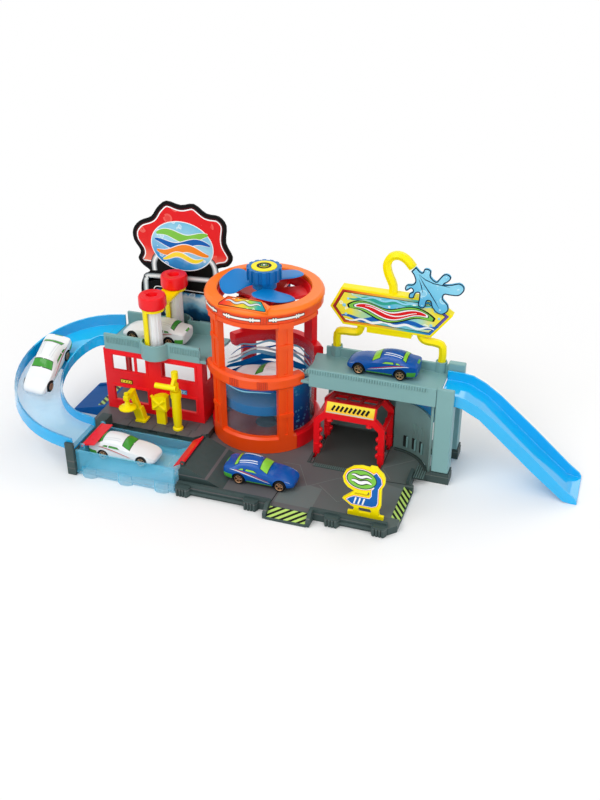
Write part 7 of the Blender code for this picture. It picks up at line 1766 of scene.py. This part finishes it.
    def shell(self) -> bpy.types.Object:
        """The body with its four arches cut out; the cut faces take the black of the wells, painted shade.

        Returns:
            The body in the car's own frame.
        """
        u, v = np.meshgrid(np.linspace(0, 1, 56), np.linspace(-1, 1, 49), indexing="ij")
        body = to_object(self.name + "_shell", [sheet(self.sample(u, v)[:, :-1])], [self.livery.body, WELL_SHADE])
        ring = lathe(((0, 0), (self.arch_radius, 0), (self.arch_radius, 8), (0, 8)), 28)
        inner = self.track / 2 - self.tyre_width - 0.8
        for x, side in ((x, side) for x in (0.0, self.wheelbase) for side in (-1.0, 1.0)):
            turn = Matrix.Translation((x, side * inner, self.wheel_radius)) @ Matrix.Rotation(-side * TURN / 4, 4, "X")
            cutter = to_object("arch_cutter", [ring.moved(turn)], [WELL_SHADE])
            cut = body.modifiers.new("arch", "BOOLEAN")
            cut.operation, cut.solver, cut.object = "DIFFERENCE", "EXACT", cutter
            cut.material_mode = "TRANSFER"
            bpy.context.view_layer.update()
            made = bpy.data.meshes.new_from_object(body.evaluated_get(bpy.context.evaluated_depsgraph_get()))
            body.modifiers.clear()
            body.data = made
            bpy.data.objects.remove(cutter)
        return body

    def place(self) -> Matrix:
        """Reads the car's frame from its two wheel joints.

        Returns:
            The move that brings the origin to the ground point under the rear axle.
        """
        joints = {joint["name"]: joint for joint in frame["joints"]}
        rear, front = (joints[f"{self.name}_{end}_wheels_turn"] for end in ("rear", "front"))
        start = Vector(rear["pos_m"]) / MM
        ahead = (Vector(front["pos_m"]) / MM - start).normalized()
        side = Vector(rear["axis"]).normalized()
        up = ahead.cross(side).normalized()
        if up.z < 0:
            side, up = -side, -up
        turn = Matrix((ahead, side, up)).transposed().to_4x4()
        return Matrix.Translation(start - up * self.wheel_radius) @ turn

    def wheels(self, end: str, x: float, place: Matrix) -> None:
        """One axle with its two tyres, rims and spokes; the dish behind the spokes and the axle are black, painted
        shade.

        Args:
            end: front or rear.
            x: the axle's distance from the rear one.
            place: the car's frame.
        """
        r, w = self.wheel_radius, self.tyre_width
        tyre = ((0.64 * r, 0.0), (0.70 * r, 0.0), (0.88 * r, 0.0), (0.97 * r, 0.4), (r, 1.0), (r, w - 0.9),
                (0.97 * r, w - 0.35), (0.90 * r, w), (0.70 * r, w), (0.64 * r, w - 0.3))
        rim = ((0.62 * r, w - 1.4), (0.66 * r, w - 1.4), (0.72 * r, w + 0.05), (0.66 * r, w + 0.12),
               (0.60 * r, w - 0.1), (0.58 * r, w - 1.0))
        dish = ((0.0, 0.1), (0.66 * r, 0.1), (0.66 * r, w - 1.3), (0.0, w - 1.3))
        axle = ((0.0, -8.0), (0.8, -8.0), (0.8, 0.2), (0.0, 0.2))
        hub = ((0.0, w - 0.4), (0.16 * r, w - 0.4), (0.15 * r, w), (0.0, w + 0.1))
        turn = np.arange(70) / 70 * TURN
        star = polar(r * (0.36 + 0.28 * np.clip(np.cos(self.spokes * turn) * 1.6, -0.4, 1.0)), turn, 0.0)[:, :2]
        shells = [lathe(tyre, 40, True), lathe(rim, 40, True).dressed(1), lathe(dish, 24).dressed(2),
                  plate(star, w - 1.35, w - 0.3, 0.25).dressed(1), lathe(hub, 16).dressed(1),
                  lathe(axle, 10).dressed(2)]
        joined = []
        for side in (-1.0, 1.0):
            shift = Matrix.Translation((x, side * (self.track / 2 - w), r))
            hubward = place @ (shift @ Matrix.Rotation(-side * TURN / 4, 4, "X"))
            joined += [shell.moved(hubward) for shell in shells]
        name = f"{self.name}_{end}_wheels"
        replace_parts(make(name + "_spoked", joined, [TYRE, COPPER, WELL_SHADE], Slot.TYRE, name, 35.0), name)

    def coachwork(self, place: Matrix) -> None:
        """The body in its place, which stands for the node's.

        Args:
            place: the car's frame.
        """
        body, scale = self.shell(), Matrix.Scale(MM, 4)
        body.data.transform(scale @ place @ scale.inverted())
        body.name = self.name + "_coachwork"
        body.data.shade_smooth()
        body.data.set_sharp_from_angle(angle=math.radians(32.0))
        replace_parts(attach(body, self.name, self.livery.slot), self.name + "_body")

    def build(self) -> None:
        """Body, glass with its seals, bands, streaks, lines and wheels."""
        place, livery = self.place(), self.livery
        self.coachwork(place)
        glass = [np.array(corners) for corners in self.screens]
        glass += [side for corners in self.windows for side in self.mirrored(corners)]
        seals = [corners + np.sign(corners - corners.mean(0)) * (0.7, 0.012) for corners in glass]
        shells = [self.patch(corners, 0.10, 12).dressed(1) for corners in seals]
        shells += [self.patch(corners, 0.2, 12) for corners in glass]
        make(self.name + "_glass", [shell.moved(place) for shell in shells], [livery.glass, livery.seal], livery.slot,
             self.name)
        shells = [self.patch(self.lamp, 0.14, 10)]
        shells += [self.patch(side, lift, size).dressed(skin) for skin, corners, lift, size in self.marks
                   for side in self.mirrored(corners)]
        make(self.name + "_trim", [shell.moved(place) for shell in shells], [livery.band, livery.streak, livery.line],
             livery.slot, self.name)
        self.wheels("rear", 0.0, place)
        self.wheels("front", self.wheelbase, place)


# Studio

@dataclass
class Studio:
    """Pale floor, soft lamps and the photograph's camera; its lengths are metres."""

    eye: Triple = (0.3325, -0.8802, 0.5978)
    azimuth: float = 18.56
    elevation: float = 30.77
    lens: float = 46.85
    sensor: float = 36.0
    world_light: float = 0.62
    floor_half: float = 6.0
    aim: Triple = (0.05, 0.0, 0.06)
    # name, place, side and watts
    lamps: tuple = (("key_lamp", (-0.6, -1.2, 1.6), 1.2, 16.0), ("fill_lamp", (1.2, -0.8, 1.0), 1.4, 6.0),
                    ("back_lamp", (0.2, 1.2, 1.4), 1.2, 6.0))

    @staticmethod
    def aimed(name: str, data: bpy.types.ID, place: Triple, ahead: Vector) -> bpy.types.Object:
        """A camera or lamp that looks ahead, with its upper side up.

        Args:
            name: its name.
            data: its camera or lamp.
            place: where it stands.
            ahead: where it looks.
        Returns:
            The object.
        """
        thing = linked(name, data)
        thing.location, thing.rotation_mode = place, "QUATERNION"
        thing.rotation_quaternion = ahead.to_track_quat("-Z", "Y")
        return thing

    def camera(self) -> None:
        """The camera at the fitted place."""
        turn, rise = math.radians(self.azimuth), math.radians(self.elevation)
        data = bpy.data.cameras.new("camera")
        data.lens, data.sensor_width, data.sensor_height = self.lens, self.sensor, self.sensor
        data.clip_start, data.clip_end = 0.01, 50.0
        ahead = -Vector((math.sin(turn) * math.cos(rise), -math.cos(turn) * math.cos(rise), math.sin(rise)))
        bpy.context.scene.camera = self.aimed("camera", data, self.eye, ahead)

    def world(self) -> None:
        """A world that is white to camera, glossy and transmission rays and softer to the rest."""
        graph = Graph(bpy.data.worlds.new("studio"), "ShaderNodeOutputWorld")
        camera, glossy, clear = (graph.node("ShaderNodeLightPath", output=f"Is {kind} Ray")
                                 for kind in ("Camera", "Glossy", "Transmission"))
        seen = (camera + glossy + clear).math("MINIMUM", 1.0)
        strength = seen * (1.0 - self.world_light) + self.world_light
        sky = graph.node("ShaderNodeBackground", inputs={"Color": (1.0, 1.0, 1.0, 1.0), "Strength": strength})
        bpy.context.scene.world = graph.finish(sky)

    def floor(self) -> None:
        """A wide pale floor that fades to plain white for the camera, far from the set."""
        half = self.floor_half
        mesh = bpy.data.meshes.new("floor")
        mesh.from_pydata([(-half, -half, 0), (half, -half, 0), (half, half, 0), (-half, half, 0)], [], [(0, 1, 2, 3)])
        thing = linked("floor", mesh)
        graph = Graph(bpy.data.materials.new("studio_floor"))
        x, y, _ = graph.axes()
        away = ((x - 40.0) * (x - 40.0) + (y + 20.0) * (y + 20.0)).math("SQRT")
        far = ((away - 300.0) / 240.0).math("MINIMUM", 1.0).math("MAXIMUM", 0.0)
        seen = graph.node("ShaderNodeLightPath", output="Is Camera Ray")
        lit = graph.surface(Base_Color=graph.mix(graph.noise(3.0), tone("f8f8f8"), tone("fbfbfb")), Roughness=0.9)
        white = graph.node("ShaderNodeEmission", inputs={"Color": (1.0, 1.0, 1.0, 1.0), "Strength": 1.0})
        mesh.materials.append(graph.finish(graph.node("ShaderNodeMixShader", inputs={0: far * seen, 1: lit, 2: white})))

    def build(self) -> None:
        """Everything round the set."""
        bpy.context.scene.view_settings.view_transform = "Standard"
        self.floor()
        self.world()
        self.camera()
        for name, place, side, watts in self.lamps:
            data = bpy.data.lights.new(name, "AREA")
            data.size, data.energy = side, watts
            self.aimed(name, data, place, Vector(self.aim) - Vector(place))


def main() -> None:
    """Builds the set, its cars and the studio."""
    logging.basicConfig(level=logging.INFO, format="%(message)s")
    for part in (Tray, Tub, SideRamp, Building, LeftDeck, Gate, Backboard, Tools):
        part().build()
    for part in (Tower, Crown, RightSide, Signs, Track):
        part().build()
    for car in (Car("left_deck_car", WHITE_CAR), Car("right_deck_car", BLUE_CAR), Car("floor_car", BLUE_CAR),
                Car("tub_car", WHITE_CAR, 1.15, 6.2), Car("lift_car", WHITE_CAR), Car("track_car", WHITE_CAR)):
        car.build()
    Studio().build()


if __name__ == "__main__":
    main()
